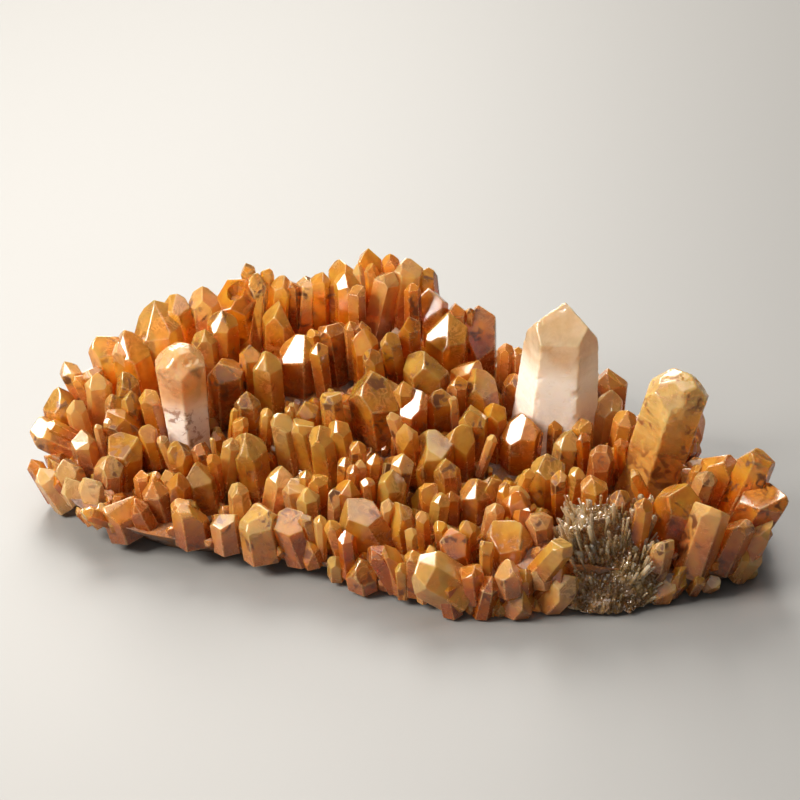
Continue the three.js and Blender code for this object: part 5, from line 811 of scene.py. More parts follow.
    (55.976, -11.382, 4.043, 0.556, -0.318, 0.768, 3.151, 2.321, 54, 2, 0, 9972),
    (16.672, 2.419, 11.838, -0.003, -0.199, 0.98, 3.519, 2.265, 40, 0.2, 0, 9983),
    (44.752, -26.592, 5.138, 0.483, -0.442, 0.756, 4.803, 1.886, 6, -0.3, 0, 9994),
    (43.312, 15.341, 6.721, 0.503, 0.241, 0.83, 3.022, 1.918, 34, -1, 0, 10005),
    (25.554, 8.424, 10.856, 0.234, 0.033, 0.972, 3.505, 1.828, 2, 0.6, 0, 10016),
    (40.589, 17.155, 7.044, 0.459, 0.187, 0.869, 5.32, 2.19, 22, -0.6, 0, 10027),
    (-5.289, -5.41, 10.903, 0.032, -0.089, 0.996, 4.034, 1.959, 47, -0.2, 0, 10038),
    (-24.14, -1.613, 11.032, -0.279, -0.107, 0.954, 3.204, 1.884, 47, -1, 0, 10049),
    (31.943, 18.124, 9.611, 0.196, 0.294, 0.935, 3.471, 2.001, 41, -0.6, 0, 10060),
    (-34.851, -13.566, 4.984, -0.135, -0.181, 0.974, 3.302, 2.399, 49, 1.1, 0, 10071),
    (16.818, 29.208, 12.055, 0.137, 0.592, 0.794, 6.703, 2.396, 28, -1.5, 0, 10082),
    (-14.431, -25.756, 3.123, -0.265, -0.57, 0.778, 2.996, 2.285, 25, 0.8, 0, 10093),
    (62.394, -16.353, 3.665, 0.625, -0.304, 0.719, 3.448, 1.839, 3, 1, 0, 10104),
    (29.657, -2.869, 7.98, 0.42, -0.099, 0.902, 3.253, 1.9, 11, 0.4, 0, 10115),
    (42.802, 0.867, 7.169, 0.311, -0.089, 0.946, 3.183, 2.321, 28, 1.9, 0, 10126),
    (-48.358, -16.562, 5.791, -0.573, -0.299, 0.763, 3.063, 2.018, 25, 1.3, 0, 10137),
    (45.255, -1.662, 6.491, 0.419, -0.158, 0.894, 6.196, 2.248, 44, -1.1, 0, 10148),
    (-51.645, 21.377, 8.253, -0.631, 0.343, 0.696, 3.266, 2.334, 59, 0, 0, 10159),
    (3.432, 19.413, 20.623, 0.177, 0.351, 0.92, 3.428, 1.889, 24, 0.2, 0, 10170),
    (34.973, 10.892, 8.736, 0.187, 0.099, 0.977, 3.365, 1.991, 0, 0.5, 0, 10181),
    (58.539, -29.423, 4.625, 0.639, -0.428, 0.639, 3.075, 2.153, 15, 1.1, 0, 10192),
    (-30.313, -9.401, 6.307, -0.415, -0.302, 0.858, 3.485, 2.273, 56, 1.4, 0, 10203),
    (-63.908, 1.449, 6.814, -0.805, -0.121, 0.58, 4.135, 2.358, 11, -0.4, 0, 10214),
    (-35.481, -24.447, 4.136, -0.679, -0.407, 0.61, 2.877, 1.951, 2, -0.3, 0, 10225),
    (-4.853, -11.686, 6.5, -0.195, -0.161, 0.967, 5.06, 1.826, 54, 1.6, 0, 10236),
    (19.914, 3.147, 11.213, 0.073, -0.154, 0.985, 3.257, 2.187, 30, 0.6, 0, 10247),
    (43.477, 19.031, 6.576, 0.656, 0.234, 0.717, 3.421, 1.884, 7, -0.8, 0, 10258),
    (-5.484, 29.757, 16.766, -0.136, 0.621, 0.772, 7.585, 2.06, 28, -0.1, 0, 10269),
    (4.309, -28.43, 2.176, 0.146, -0.458, 0.877, 3.181, 2.252, 27, -0.3, 0, 10280),
    (3.797, 1.657, 14.276, 0.127, -0.157, 0.979, 5.376, 2.154, 0, -1.4, 0, 10291),
    (24.403, -7.468, 7.415, 0.29, -0.234, 0.928, 3.974, 2.121, 9, -1.1, 0, 10302),
    (-55.118, -11.112, 6.23, -0.664, -0.192, 0.723, 4.364, 1.878, 6, -0.3, 0, 10313),
    (-60.063, 14.265, 7.256, -0.776, 0.129, 0.617, 3.278, 2.392, 42, -0.8, 0, 10324),
    (-44.856, -12.051, 5.636, -0.245, -0.258, 0.934, 4.09, 2.226, 57, 0.2, 0, 10335),
    (27.311, -24.963, 9.498, 0.089, -0.434, 0.897, 4.9, 2.397, 27, 0.8, 0, 10346),
    (10.822, 0.158, 12.494, 0.101, 0.018, 0.995, 3.462, 2.1, 32, 0.5, 0, 10357),
    (-7.902, 9.22, 18.679, -0.158, 0.114, 0.981, 3.452, 2.135, 37, -1, 0, 10368),
    (27.388, -18.575, 5.922, 0.334, -0.191, 0.923, 3.224, 2.349, 41, 0.1, 0, 10379),
    (-36.933, 8.838, 14.673, -0.392, 0.127, 0.911, 3.801, 2.337, 28, -1, 0, 10390),
    (-29.364, -16.972, 3.971, -0.242, -0.235, 0.941, 3.151, 1.825, 15, -1.3, 0, 10401),
    (-7.168, -27.272, 3.139, -0.335, -0.541, 0.771, 5.667, 2.119, 51, 0.3, 0, 10412),
    (52.847, -18.134, 3.722, 0.578, -0.291, 0.762, 3.306, 2.359, 28, -0.2, 0, 10423),
    (-36.517, 9.59, 15.148, -0.286, 0.196, 0.938, 4.996, 2.202, 14, -0.8, 0, 10434),
    (14.69, 3.325, 12.441, 0.069, -0.046, 0.997, 3.516, 1.828, 20, 0.7, 0, 10445),
    (-18.522, 1.685, 13.846, -0.156, -0.015, 0.988, 3.281, 2.252, 27, 1.8, 0, 10456),
    (25.267, -13.313, 5.369, 0.286, -0.269, 0.919, 3.397, 1.87, 31, 1.4, 0, 10467),
    (-6.625, -21.147, 2.856, -0.073, -0.412, 0.908, 3.345, 1.872, 54, 1.2, 0, 10478),
    (-55.671, -12.163, 6.172, -0.608, -0.258, 0.751, 3.283, 1.993, 17, -0.5, 0, 10489),
    (-54.056, 2.693, 7.262, -0.604, 0.031, 0.797, 3.257, 2.239, 50, -1.1, 0, 10500),
    (43.34, -5.371, 6.319, 0.254, -0.085, 0.963, 3.361, 2.288, 55, -0.7, 0, 10511),
    (-38.455, -3.435, 7.463, -0.4, -0.033, 0.916, 3.209, 2.021, 27, 2, 0, 10522),
    (-22.526, -20.213, 3.426, -0.329, -0.408, 0.852, 3.207, 2.221, 59, -1, 0, 10533),
    (56.457, 3.456, 4.934, 0.688, -0.08, 0.721, 3.236, 2.057, 20, -1.3, 0, 10544),
    (25.344, -29.431, 10.06, 0.318, -0.539, 0.78, 3.464, 2.08, 18, 0.7, 0, 10555),
    (-23.167, 3.81, 14.261, -0.292, -0.094, 0.952, 3.384, 2.391, 30, 0.5, 0, 10566),
    (8.796, -27.701, 2.829, 0.052, -0.491, 0.87, 3.506, 2.113, 11, -1, 0, 10577),
    (-1.221, -33.476, 2.953, -0.047, -0.77, 0.636, 3.102, 2.039, 13, 1, 0, 10588),
    (-31.648, 17.491, 18.928, -0.348, 0.308, 0.886, 3.382, 2.183, 21, -1.1, 0, 10599),
    (6.855, 3.165, 13.999, 0.11, -0.084, 0.99, 3.446, 2.303, 28, 1.4, 0, 10610),
    (-32.106, -2.831, 9.005, -0.373, -0.134, 0.918, 3.308, 1.973, 55, 1.1, 0, 10621),
    (-11.436, 6.968, 17.387, -0.093, 0.007, 0.996, 4.568, 2.229, 18, -1.2, 0, 10632),
    (23.718, -20.826, 8.847, 0.233, -0.246, 0.941, 6.121, 1.9, 36, 0.3, 0, 10643),
    (-49.58, -4.17, 6.522, -0.437, -0.233, 0.869, 3.31, 2.165, 14, 1.1, 0, 10654),
    (49.587, -34.509, 6.728, 0.57, -0.555, 0.606, 3.437, 2.271, 17, -0.3, 0, 10665),
    (-19.182, -6.907, 8.471, -0.15, -0.252, 0.956, 3.273, 2.353, 17, -0.2, 0, 10676),
    (-17.86, -7.701, 8.128, -0.008, -0.264, 0.964, 3.438, 1.9, 42, 0.4, 0, 10687),
    (24.886, 2.998, 10.034, 0.167, -0.103, 0.981, 3.313, 2.24, 27, 0.1, 0, 10698),
    (27.169, -21.918, 7.931, 0.219, -0.267, 0.938, 3.486, 2.011, 55, -0.2, 0, 10709),
    (-8.69, 32.899, 12.535, -0.093, 0.69, 0.718, 7.431, 1.941, 43, 1.5, 0, 10720),
    (-45.554, -12.831, 5.81, -0.571, -0.161, 0.805, 3.226, 1.904, 1, -1, 0, 10731),
    (-53.774, 10.247, 8.305, -0.593, 0.231, 0.772, 3.31, 2.396, 36, 1.6, 0, 10742),
    (20.033, -38.781, 6.293, 0.274, -0.715, 0.643, 3.039, 2.015, 3, -0.9, 0, 10753),
    (51.825, -5.333, 4.919, 0.396, -0.169, 0.903, 3.04, 1.858, 27, 0.4, 0, 10764),
    (58.565, -7.542, 4.17, 0.657, -0.236, 0.715, 3.377, 2.023, 15, 0.2, 0, 10775),
    (21.319, 35.206, 7.673, 0.417, 0.749, 0.515, 6.214, 2.193, 52, 0.2, 0, 10786),
    (-2.733, -16.008, 4.242, 0.135, -0.281, 0.95, 3.416, 2.034, 27, -0.2, 0, 10797),
    (19.18, 3.815, 11.499, 0.103, -0.121, 0.987, 3.28, 2.032, 35, -1.4, 0, 10808),
    (12.93, -17.556, 8.389, 0.101, -0.386, 0.917, 4.558, 1.913, 46, 0.5, 0, 10819),
    (30.872, 17.033, 10.139, 0.291, 0.235, 0.928, 3.411, 2.326, 44, -0.1, 0, 10830),
    (47.948, -24.319, 4.486, 0.479, -0.33, 0.813, 3.365, 1.968, 52, -1, 0, 10841),
    (-4.903, -17.423, 3.71, -0.087, -0.36, 0.929, 5.476, 2.154, 38, -0.9, 0, 10852),
    (43.745, 13.676, 6.754, 0.589, 0.191, 0.785, 3.525, 2.177, 55, -0.2, 0, 10863),
    (5.274, -37.461, 2.511, -0.006, -0.729, 0.685, 3.346, 2.039, 9, 0.6, 0, 10874),
    (0.589, -13.526, 5.568, -0.058, -0.383, 0.922, 3.356, 1.952, 17, 0.9, 0, 10885),
    (-19.898, 6.102, 16.15, -0.175, 0.094, 0.98, 3.899, 1.942, 21, 0.7, 0, 10896),
    (-7.159, 4.446, 16.229, 0.003, 0.087, 0.996, 4.964, 2.218, 40, 1.8, 0, 10907),
    (-37.041, -18.596, 4.715, -0.431, -0.358, 0.828, 3.062, 2.067, 17, 0.7, 0, 10918),
    (-8.437, -25.743, 3.089, -0.111, -0.556, 0.824, 3.176, 1.82, 59, 1.5, 0, 10929),
    (-28.684, 6.083, 14.774, -0.149, 0.021, 0.989, 4.122, 2.389, 43, -0.3, 0, 10940),
    (59.623, -26.039, 4.168, 0.625, -0.464, 0.628, 4.926, 1.937, 14, -0.4, 0, 10951),
    (-48.509, -11.627, 5.883, -0.456, -0.311, 0.834, 3.1, 2.259, 17, -1.2, 0, 10962),
    (-1.017, -8.333, 9.014, -0.179, -0.289, 0.94, 3.347, 2.146, 7, 1, 0, 10973),
    (-42.407, 12.37, 13.414, -0.555, 0.097, 0.826, 3.395, 2.229, 46, 0.1, 0, 10984),
    (-34.754, 1.463, 10.711, -0.292, -0.07, 0.954, 6.091, 2.004, 53, 0.5, 0, 10995),
    (32.6, -16.178, 4.671, 0.286, -0.333, 0.899, 4.996, 2.28, 49, 0.2, 0, 11006),
    (-46.86, 12.247, 10.981, -0.44, 0.142, 0.887, 3.446, 2.044, 50, 0.4, 0, 11017),
    (5.597, -13.069, 6.376, 0.076, -0.192, 0.978, 3.33, 2.239, 10, -1.2, 0, 11028),
    (-54.392, 6.298, 7.794, -0.696, 0.015, 0.718, 5.46, 1.801, 17, -0.9, 0, 11039),
    (-50.58, -9.271, 6.05, -0.523, -0.281, 0.805, 3.264, 2.14, 29, 0, 0, 11050),
    (53.012, 16.453, 5.848, 0.784, 0.204, 0.587, 3.425, 2.169, 25, -0.5, 0, 11061),
    (39.039, 15.791, 7.427, 0.43, 0.256, 0.866, 3.091, 1.864, 39, -1.3, 0, 11072),
    (-61.298, 15.902, 7.151, -0.758, 0.246, 0.604, 3.514, 1.894, 44, 0.7, 0, 11083),
    (-61.872, 8.52, 7.06, -0.79, 0.15, 0.595, 2.947, 2.117, 55, 1, 0, 11094),
    (-24.926, -12.214, 5.236, -0.389, -0.253, 0.886, 3.308, 1.941, 23, 1.4, 0, 11105),
    (-52.633, 2.983, 7.391, -0.504, -0.002, 0.863, 3.367, 1.81, 25, 0.4, 0, 11116),
    (-20.95, -26.926, 3.357, -0.509, -0.579, 0.637, 4.983, 2.035, 28, -0.6, 0, 11127),
    (53.157, 8.69, 5.47, 0.71, 0.109, 0.696, 3.147, 2.333, 7, 1.6, 0, 11138),
    (50.493, -0.243, 5.865, 0.566, -0.131, 0.814, 3.217, 2.155, 25, 1.6, 0, 11149),
    (60.863, -6.723, 4.071, 0.729, -0.223, 0.647, 5.01, 2.079, 10, -0.7, 0, 11160),
    (22.449, 13.382, 12.733, 0.363, 0.176, 0.915, 4.718, 2.079, 0, -0.8, 0, 11171),
    (-53.561, 0.82, 7.061, -0.587, -0.286, 0.757, 3.389, 1.856, 13, -0.9, 0, 11182),
    (3.599, 15.302, 19.32, 0.225, -0.044, 0.973, 3.401, 1.997, 44, 1.3, 0, 11193),
    (11.425, -30.884, 3.512, 0.009, -0.578, 0.816, 3.767, 1.823, 0, -1, 0, 11204),
    (-6.676, 6.478, 17.222, -0.028, -0.078, 0.997, 6.207, 1.862, 34, 1.3, 0, 11215),
    (52.901, -5.958, 4.781, 0.575, -0.237, 0.783, 3.057, 2.113, 59, -1.1, 0, 11226),
    (-18.064, 17.632, 20.42, -0.203, 0.264, 0.943, 5.607, 2.069, 30, 2, 0, 11237),
    (55.092, -28.807, 4.622, 0.504, -0.388, 0.772, 3.256, 2.398, 27, 1.8, 0, 11248),
    (-31.346, -8.375, 6.568, -0.366, -0.198, 0.909, 3.413, 2.029, 0, 0.7, 0, 11259),
    (61.762, -28.394, 4.306, 0.701, -0.341, 0.626, 3.46, 1.96, 12, -1.3, 0, 11270),
    (46.477, 4.786, 6.643, 0.505, -0.018, 0.863, 3.378, 2.255, 31, 0, 0, 11281),
    (22.063, -39.637, 7.213, 0.249, -0.757, 0.604, 3.499, 2.183, 49, -0.3, 0, 11292),
    (52.67, 3.389, 5.658, 0.663, -0.057, 0.747, 3.431, 2.373, 38, 0, 0, 11303),
    (33.712, -13.499, 4.799, 0.417, -0.203, 0.886, 3.409, 1.844, 34, -1, 0, 11314),
    (26.784, -19.602, 6.92, 0.173, -0.345, 0.923, 3.372, 2.224, 34, 0.8, 0, 11325),
    (9.902, 6.586, 14.413, 0.198, 0.065, 0.978, 6.119, 2.366, 51, 0.8, 0, 11336),
    (5.627, -2.706, 12.137, 0.138, -0.189, 0.972, 5.012, 2.178, 43, -0.7, 0, 11347),
    (24.509, -8.907, 6.915, 0.159, -0.161, 0.974, 3.297, 2.125, 59, 0.8, 0, 11358),
    (-42.031, -22.033, 4.907, -0.643, -0.476, 0.6, 4.595, 1.971, 19, 0.9, 0, 11369),
    (-21.02, -23.611, 3.388, -0.259, -0.673, 0.693, 3.085, 2.348, 43, 1.8, 0, 11380),
    (19.27, -17.019, 8.839, 0.104, -0.33, 0.938, 3.21, 1.854, 22, -0.7, 0, 11391),
    (-52.556, 9.387, 8.498, -0.539, 0.196, 0.819, 3.002, 2.029, 0, 0.7, 0, 11402),
    (-47.3, 7.121, 9.862, -0.577, 0.113, 0.809, 5.725, 2.393, 4, 0.9, 0, 11413),
    (-25.473, 4.554, 14.331, -0.261, -0.076, 0.962, 4.029, 2.295, 0, 0.8, 0, 11424),
    (57.783, 5.201, 4.882, 0.732, -0.095, 0.674, 3.494, 2.256, 21, 2, 0, 11435),
    (-38.53, 16.894, 16.047, -0.32, 0.258, 0.911, 3.449, 2.006, 0, 0.2, 0, 11446),
    (7.529, -34.15, 2.178, 0.21, -0.559, 0.802, 5.397, 2.039, 42, -0.6, 0, 11457),
    (57.773, 6.827, 4.963, 0.732, 0.058, 0.679, 4.374, 2.281, 13, 1, 0, 11468),
    (52.156, 5.392, 5.661, 0.602, -0.142, 0.785, 3.295, 2.022, 56, -1.3, 0, 11479),
    (-32.335, -14.47, 4.674, -0.306, -0.101, 0.947, 3.224, 2.006, 25, -0.4, 0, 11490),
    (-24.324, -21.908, 3.41, -0.234, -0.442, 0.866, 3.367, 2.318, 15, -0.1, 0, 11501),
    (8.778, 30.614, 13.707, 0.102, 0.626, 0.773, 7.301, 1.874, 56, 1.1, 0, 11512),
    (-17.558, -2.012, 11.686, -0.072, -0.226, 0.971, 3.584, 2.183, 49, 1.9, 0, 11523),
    (-52.237, 1.753, 7.198, -0.53, -0.199, 0.825, 5.565, 2.136, 3, -0.3, 0, 11534),
    (14.099, -29.639, 4.617, 0.107, -0.45, 0.887, 3.255, 2.189, 57, 1, 0, 11545),
    (-4.283, 17.005, 21.165, 0.039, 0.231, 0.972, 3.4, 1.878, 57, -0.9, 0, 11556),
    (59.705, -21.72, 3.539, 0.521, -0.32, 0.792, 3.152, 1.952, 34, -0.6, 0, 11567),
    (-11.057, -17.469, 2.816, -0.04, -0.333, 0.942, 6.041, 1.939, 22, 1.2, 0, 11578),
    (34.687, -17.304, 4.606, 0.299, -0.307, 0.904, 6.13, 1.861, 1, 1.3, 0, 11589),
    (-5.928, -23.624, 2.914, 0.019, -0.451, 0.892, 3.086, 2.157, 59, 1.3, 0, 11600),
    (17.533, -34.16, 5.86, 0.177, -0.566, 0.805, 3.406, 2.026, 19, -1.1, 0, 11611),
    (2.005, -14.088, 5.326, -0.065, -0.276, 0.959, 3.49, 2.043, 51, -0.9, 0, 11622),
    (-46.361, -5.708, 6.314, -0.484, -0.243, 0.84, 3.102, 1.999, 32, 0.5, 0, 11633),
    (-55.77, 17.161, 7.696, -0.7, 0.371, 0.611, 3.083, 2.296, 59, 0.4, 0, 11644),
    (4.563, -33.747, 2.452, -0.045, -0.669, 0.742, 3.36, 1.954, 39, -0.2, 0, 11655),
    (-4.469, 8.069, 18.093, 0.095, 0.115, 0.989, 3.43, 2.364, 55, -0.3, 0, 11666),
    (50.718, -24.859, 4.538, 0.558, -0.487, 0.672, 3.204, 1.882, 12, 1.9, 0, 11677),
    (51.172, -33.119, 5.865, 0.526, -0.535, 0.661, 4.435, 1.884, 31, -0.6, 0, 11688),
    (59.743, 3.264, 4.703, 0.786, 0.044, 0.617, 3.322, 2.004, 45, -0.6, 0, 11699),
    (28.415, -17.934, 5.425, 0.363, -0.418, 0.833, 3.198, 1.916, 12, 1.9, 0, 11710),
    (-25.053, 3.195, 13.539, -0.22, -0.223, 0.95, 3.288, 2.137, 42, 0.6, 0, 11721),
    (-56.285, 2.825, 7.075, -0.645, -0.037, 0.764, 3.219, 2.22, 6, -1.4, 0, 11732),
    (9.705, -2.057, 11.85, -0.006, -0.107, 0.994, 5.902, 2.221, 53, 1.1, 0, 11743),
    (-31.22, -7.705, 6.843, -0.223, -0.096, 0.97, 3.378, 1.827, 0, 0.8, 0, 11754),
    (55.717, -14.883, 3.893, 0.598, -0.276, 0.752, 3.456, 1.826, 14, -0.7, 0, 11765),
    (-20.463, -0.208, 12.347, -0.253, -0.22, 0.942, 3.448, 2.011, 22, 1.2, 0, 11776),
    (-40.264, -19.181, 5.048, -0.581, -0.374, 0.723, 3.437, 2.207, 18, -1.4, 0, 11787),
    (-34.084, 19.016, 17.697, -0.431, 0.237, 0.87, 3.372, 1.956, 30, -0.3, 0, 11798),
    (-14.538, -24.253, 3.049, -0.259, -0.508, 0.822, 3.432, 2.267, 47, -0.6, 0, 11809),
    (12.243, -3.383, 10.834, 0.167, -0.151, 0.974, 3.451, 2.355, 23, -0.2, 0, 11820),
    (-2.646, -3.136, 12.164, 0.048, -0.186, 0.981, 3.266, 1.92, 51, -1, 0, 11831),
    (-9.634, -26.367, 3.128, -0.134, -0.578, 0.805, 3.245, 1.985, 58, 1.9, 0, 11842),
    (-27.739, 10.723, 17.245, -0.379, 0.086, 0.921, 3.457, 2.198, 30, -1.4, 0, 11853),
    (9.77, 34.073, 9.839, 0.082, 0.75, 0.656, 7.388, 2.163, 36, 0.7, 0, 11864),
    (-49.431, 7.883, 9.13, -0.577, 0.021, 0.817, 3.272, 1.964, 43, 0, 0, 11875),
    (48.039, 2.018, 6.526, 0.553, -0.139, 0.822, 3.46, 2.216, 45, 1.7, 0, 11886),
    (-3.682, -13.529, 5.319, -0.007, -0.327, 0.945, 3.451, 2.393, 45, 0.3, 0, 11897),
    (3.726, 18.068, 20.45, 0.027, 0.311, 0.95, 3.317, 1.93, 55, 0.8, 0, 11908),
    (-64.859, 0.014, 6.794, -0.822, -0.074, 0.564, 4.754, 1.878, 6, -0.3, 0, 11919),
    (45.539, 11.631, 6.455, 0.451, 0.242, 0.859, 3.024, 2.265, 2, 0.1, 0, 11930),
    (-50.499, -7.355, 6.213, -0.608, -0.057, 0.792, 3.284, 2.241, 36, -0.1, 0, 11941),
    (-4.131, -11.65, 6.588, 0.005, -0.239, 0.971, 3.286, 2.004, 45, 0.2, 0, 11952),
    (64.664, -15.9, 3.815, 0.772, -0.243, 0.588, 3.255, 1.827, 22, -1, 0, 11963),
    (-1.068, 11.774, 19.269, -0.059, 0.033, 0.998, 3.189, 1.924, 17, -0.5, 0, 11974),
    (-58.239, -2.253, 6.648, -0.692, -0.163, 0.703, 3.259, 1.835, 1, 1, 0, 11985),
    (32.51, 22.261, 8.638, 0.439, 0.379, 0.815, 5.968, 2.02, 57, 1.5, 0, 11996),
    (5.627, -20.685, 2.678, 0.114, -0.375, 0.92, 3.582, 1.806, 42, 0, 0, 12007),
    (-22.948, 36.879, 8.28, -0.487, 0.715, 0.501, 7.254, 1.83, 46, -0.3, 0, 12018),
    (51.885, -21.355, 3.861, 0.496, -0.41, 0.765, 3.108, 1.972, 11, -1.2, 0, 12029),
    (65.586, -7.488, 4.093, 0.827, -0.211, 0.521, 3.446, 1.805, 19, -1.2, 0, 12040),
    (-1.943, 6.864, 17.433, -0.009, 0.098, 0.995, 6.115, 1.902, 33, -1.4, 0, 12051),
    (5.765, 15.447, 18.903, 0.032, 0.214, 0.976, 3.337, 2.282, 0, 0.3, 0, 12062),
    (-6.575, -14.562, 4.747, -0.069, -0.133, 0.989, 3.972, 2.134, 0, 0.9, 0, 12073),
    (1.978, 26.708, 19.498, -0.028, 0.444, 0.896, 6.774, 2.026, 34, -1.1, 0, 12084),
    (2.469, 15.318, 19.762, -0.15, 0.115, 0.982, 3.391, 1.949, 12, 1.8, 0, 12095),
    (32.994, -0.64, 7.999, 0.355, -0.101, 0.929, 3.49, 2.15, 31, -1.4, 0, 12106),
    (40.219, -3.011, 7.037, 0.423, -0.308, 0.852, 3.39, 1.948, 20, 0.3, 0, 12117),
    (48.192, 13.718, 6.113, 0.65, 0.253, 0.717, 5.274, 1.871, 26, 0.9, 0, 12128),
    (22.773, -28.815, 9.922, 0.166, -0.427, 0.889, 3.395, 1.853, 13, 0, 0, 12139),
    (17.51, -6.147, 8.774, 0.072, -0.293, 0.953, 3.398, 1.971, 44, 1.4, 0, 12150),
    (28.761, -2.232, 8.25, 0.157, -0.235, 0.959, 4.267, 2.007, 51, 1.4, 0, 12161),
    (18.075, -7.318, 8.255, 0.028, -0.254, 0.967, 4.955, 1.814, 31, 0.4, 0, 12172),
    (35.024, -5.327, 6.85, 0.164, -0.176, 0.971, 3.433, 2.179, 33, 0.3, 0, 12183),
    (51.568, 8.782, 5.668, 0.636, 0.083, 0.767, 2.942, 2.355, 27, -0.1, 0, 12194),
    (-50.163, -13.208, 5.936, -0.545, -0.289, 0.787, 3.643, 1.928, 32, 1.2, 0, 12205),
    (0.434, -9.234, 8.478, 0.023, -0.166, 0.986, 3.493, 1.824, 25, -0.7, 0, 12216),
    (-34.271, -17.704, 4.625, -0.457, -0.392, 0.798, 3.061, 2.323, 20, 1.5, 0, 12227),
    (-56.474, 6.22, 7.409, -0.684, -0.055, 0.727, 3.256, 2.12, 39, 1.5, 0, 12238),
    (-6.263, -13.202, 5.367, -0.043, -0.233, 0.971, 3.2, 2.243, 48, 0.7, 0, 12249),
    (-53.319, 5.989, 7.815, -0.538, -0.071, 0.84, 3.45, 1.93, 9, -0.2, 0, 12260),
    (59.062, -27.956, 4.478, 0.664, -0.459, 0.59, 5.136, 2.218, 45, -0.5, 0, 12271),
    (13.936, 36.652, 8.062, 0.231, 0.815, 0.531, 7.033, 1.918, 37, -0.8, 0, 12282),
    (-32.354, -1.079, 9.893, -0.21, -0.136, 0.968, 5.627, 2.248, 2, -0.5, 0, 12293),
    (20.674, -17.727, 8.734, 0.123, -0.368, 0.922, 3.302, 1.81, 7, -0.2, 0, 12304),
    (-29.607, -3.369, 9.121, -0.264, -0.202, 0.943, 3.453, 2.14, 4, -0.3, 0, 12315),
    (4.465, 16.198, 19.455, 0.071, 0.122, 0.99, 3.264, 2.022, 16, -1.2, 0, 12326),
    (26.27, -37.631, 10.086, 0.289, -0.727, 0.622, 3.385, 2.153, 25, -0.5, 0, 12337),
    (28.678, -6.026, 7.219, 0.205, -0.277, 0.939, 3.351, 2.172, 22, -0.5, 0, 12348),
    (33.053, 10.634, 9.212, 0.192, 0.088, 0.977, 3.356, 2.049, 6, -1.2, 0, 12359),
    (-12.062, -11.786, 5.771, 0.009, -0.196, 0.981, 4.679, 2.269, 57, 0.8, 0, 12370),
    (10.937, 1.932, 12.932, -0.067, -0.134, 0.989, 3.399, 2.29, 38, -1.3, 0, 12381),
    (1.38, -29.661, 2.473, -0.08, -0.468, 0.88, 3.487, 1.847, 31, 0.7, 0, 12392),
    (-58.25, -16.697, 6.166, -0.72, -0.344, 0.603, 3.706, 2.097, 57, -0.9, 0, 12403),
    (34.425, 20.063, 8.309, 0.394, 0.308, 0.866, 6.217, 1.953, 14, -0.8, 0, 12414),
    (-14.446, -11.07, 6.089, -0.14, -0.206, 0.969, 3.485, 2.273, 25, -0.1, 0, 12425),
    (-56.018, -14.473, 6.22, -0.728, -0.29, 0.621, 2.998, 1.891, 27, -1, 0, 12436),
    (6.855, 31.315, 13.319, 0.149, 0.658, 0.738, 8.18, 1.993, 25, 1, 0, 12447),
    (-45.161, 22.514, 10.821, -0.578, 0.361, 0.732, 6.267, 2.266, 25, 0.5, 0, 12458),
    (-35.414, 24.338, 14.291, -0.256, 0.395, 0.882, 6.08, 2.048, 46, 0.7, 0, 12469),
    (2.998, -23.493, 2.287, -0.095, -0.38, 0.92, 5.902, 2.149, 6, -0.8, 0, 12480),
    (-8.519, -30.138, 3.285, -0.242, -0.709, 0.662, 3.118, 1.846, 4, 0.3, 0, 12491),
    (34.291, -11.211, 5.101, 0.232, -0.393, 0.89, 3.219, 1.892, 42, -0.1, 0, 12502),
    (-9.258, -27.56, 3.112, -0.112, -0.571, 0.813, 2.942, 1.994, 0, -1, 0, 12513),
    (-3.648, 38.376, 2.939, -0.075, 0.855, 0.513, 10.646, 6.259, 8, 0.7, 0, 12524),
    (5.002, 37.993, 3.111, 0.048, 0.639, 0.767, 5.853, 5.293, 54, -0.5, 0, 12535),
    (-39.78, 33.001, 7.118, -0.645, 0.562, 0.518, 9.989, 5.108, 55, 1.7, 0, 12546),
    (13.553, 37.467, 4.485, 0.245, 0.573, 0.782, 11.525, 5.13, 57, 1.4, 0, 12557),
    (10.926, 37.312, 4.891, 0.197, 0.851, 0.488, 10.718, 4.299, 53, -0.8, 0, 12568),
    (-45.768, 30.86, 4.894, -0.741, 0.282, 0.61, 9.165, 4.957, 32, 0.3, 0, 12579),
    (55.477, 13.563, 1.825, 0.783, 0.19, 0.593, 6.925, 6.362, 30, -0.5, 0, 12590),
    (-6.689, 38.777, 4.868, 0.083, 0.478, 0.874, 7.907, 4.506, 37, 0.1, 0, 12601),
    (27.881, 33.766, 7.235, 0.277, 0.494, 0.824, 8.229, 5.557, 2, -1.3, 0, 12612),
    (-49.758, 28.843, 2.447, -0.664, 0.263, 0.7, 8.098, 4.921, 14, -0.8, 0, 12623),
    (-6.189, -34.364, 1.375, -0.122, -0.235, 0.964, 6.773, 6.338, 25, 1.4, 0, 12634),
    (-7.054, 38.149, 4.856, -0.064, 0.827, 0.558, 7.604, 4.99, 38, 0.1, 0, 12645),
    (69.069, -17.272, 2.005, 0.393, 0.053, 0.918, 7.289, 4.379, 33, 1.5, 0, 12656),
    (31.715, 31.641, 2.651, 0.564, 0.671, 0.481, 9.827, 5.756, 29, 1.5, 0, 12667),
    (-22.417, 37.073, 5.114, -0.659, 0.616, 0.431, 9.767, 5.149, 59, -0.1, 0, 12678),
    (20.294, 35.676, 5.728, 0.367, 0.657, 0.659, 10.95, 5.839, 55, 0.5, 0, 12689),
    (-0.189, 38.806, 6.229, 0.077, 0.555, 0.828, 4.977, 6.103, 39, -1.3, 0, 12700),
    (-14.507, 37.364, 3.92, -0.177, 0.628, 0.758, 8.354, 5.083, 48, 1.9, 0, 12711),
    (-28.631, 36.068, 1.968, -0.413, 0.439, 0.798, 11.708, 4.599, 41, 0.2, 0, 12722),
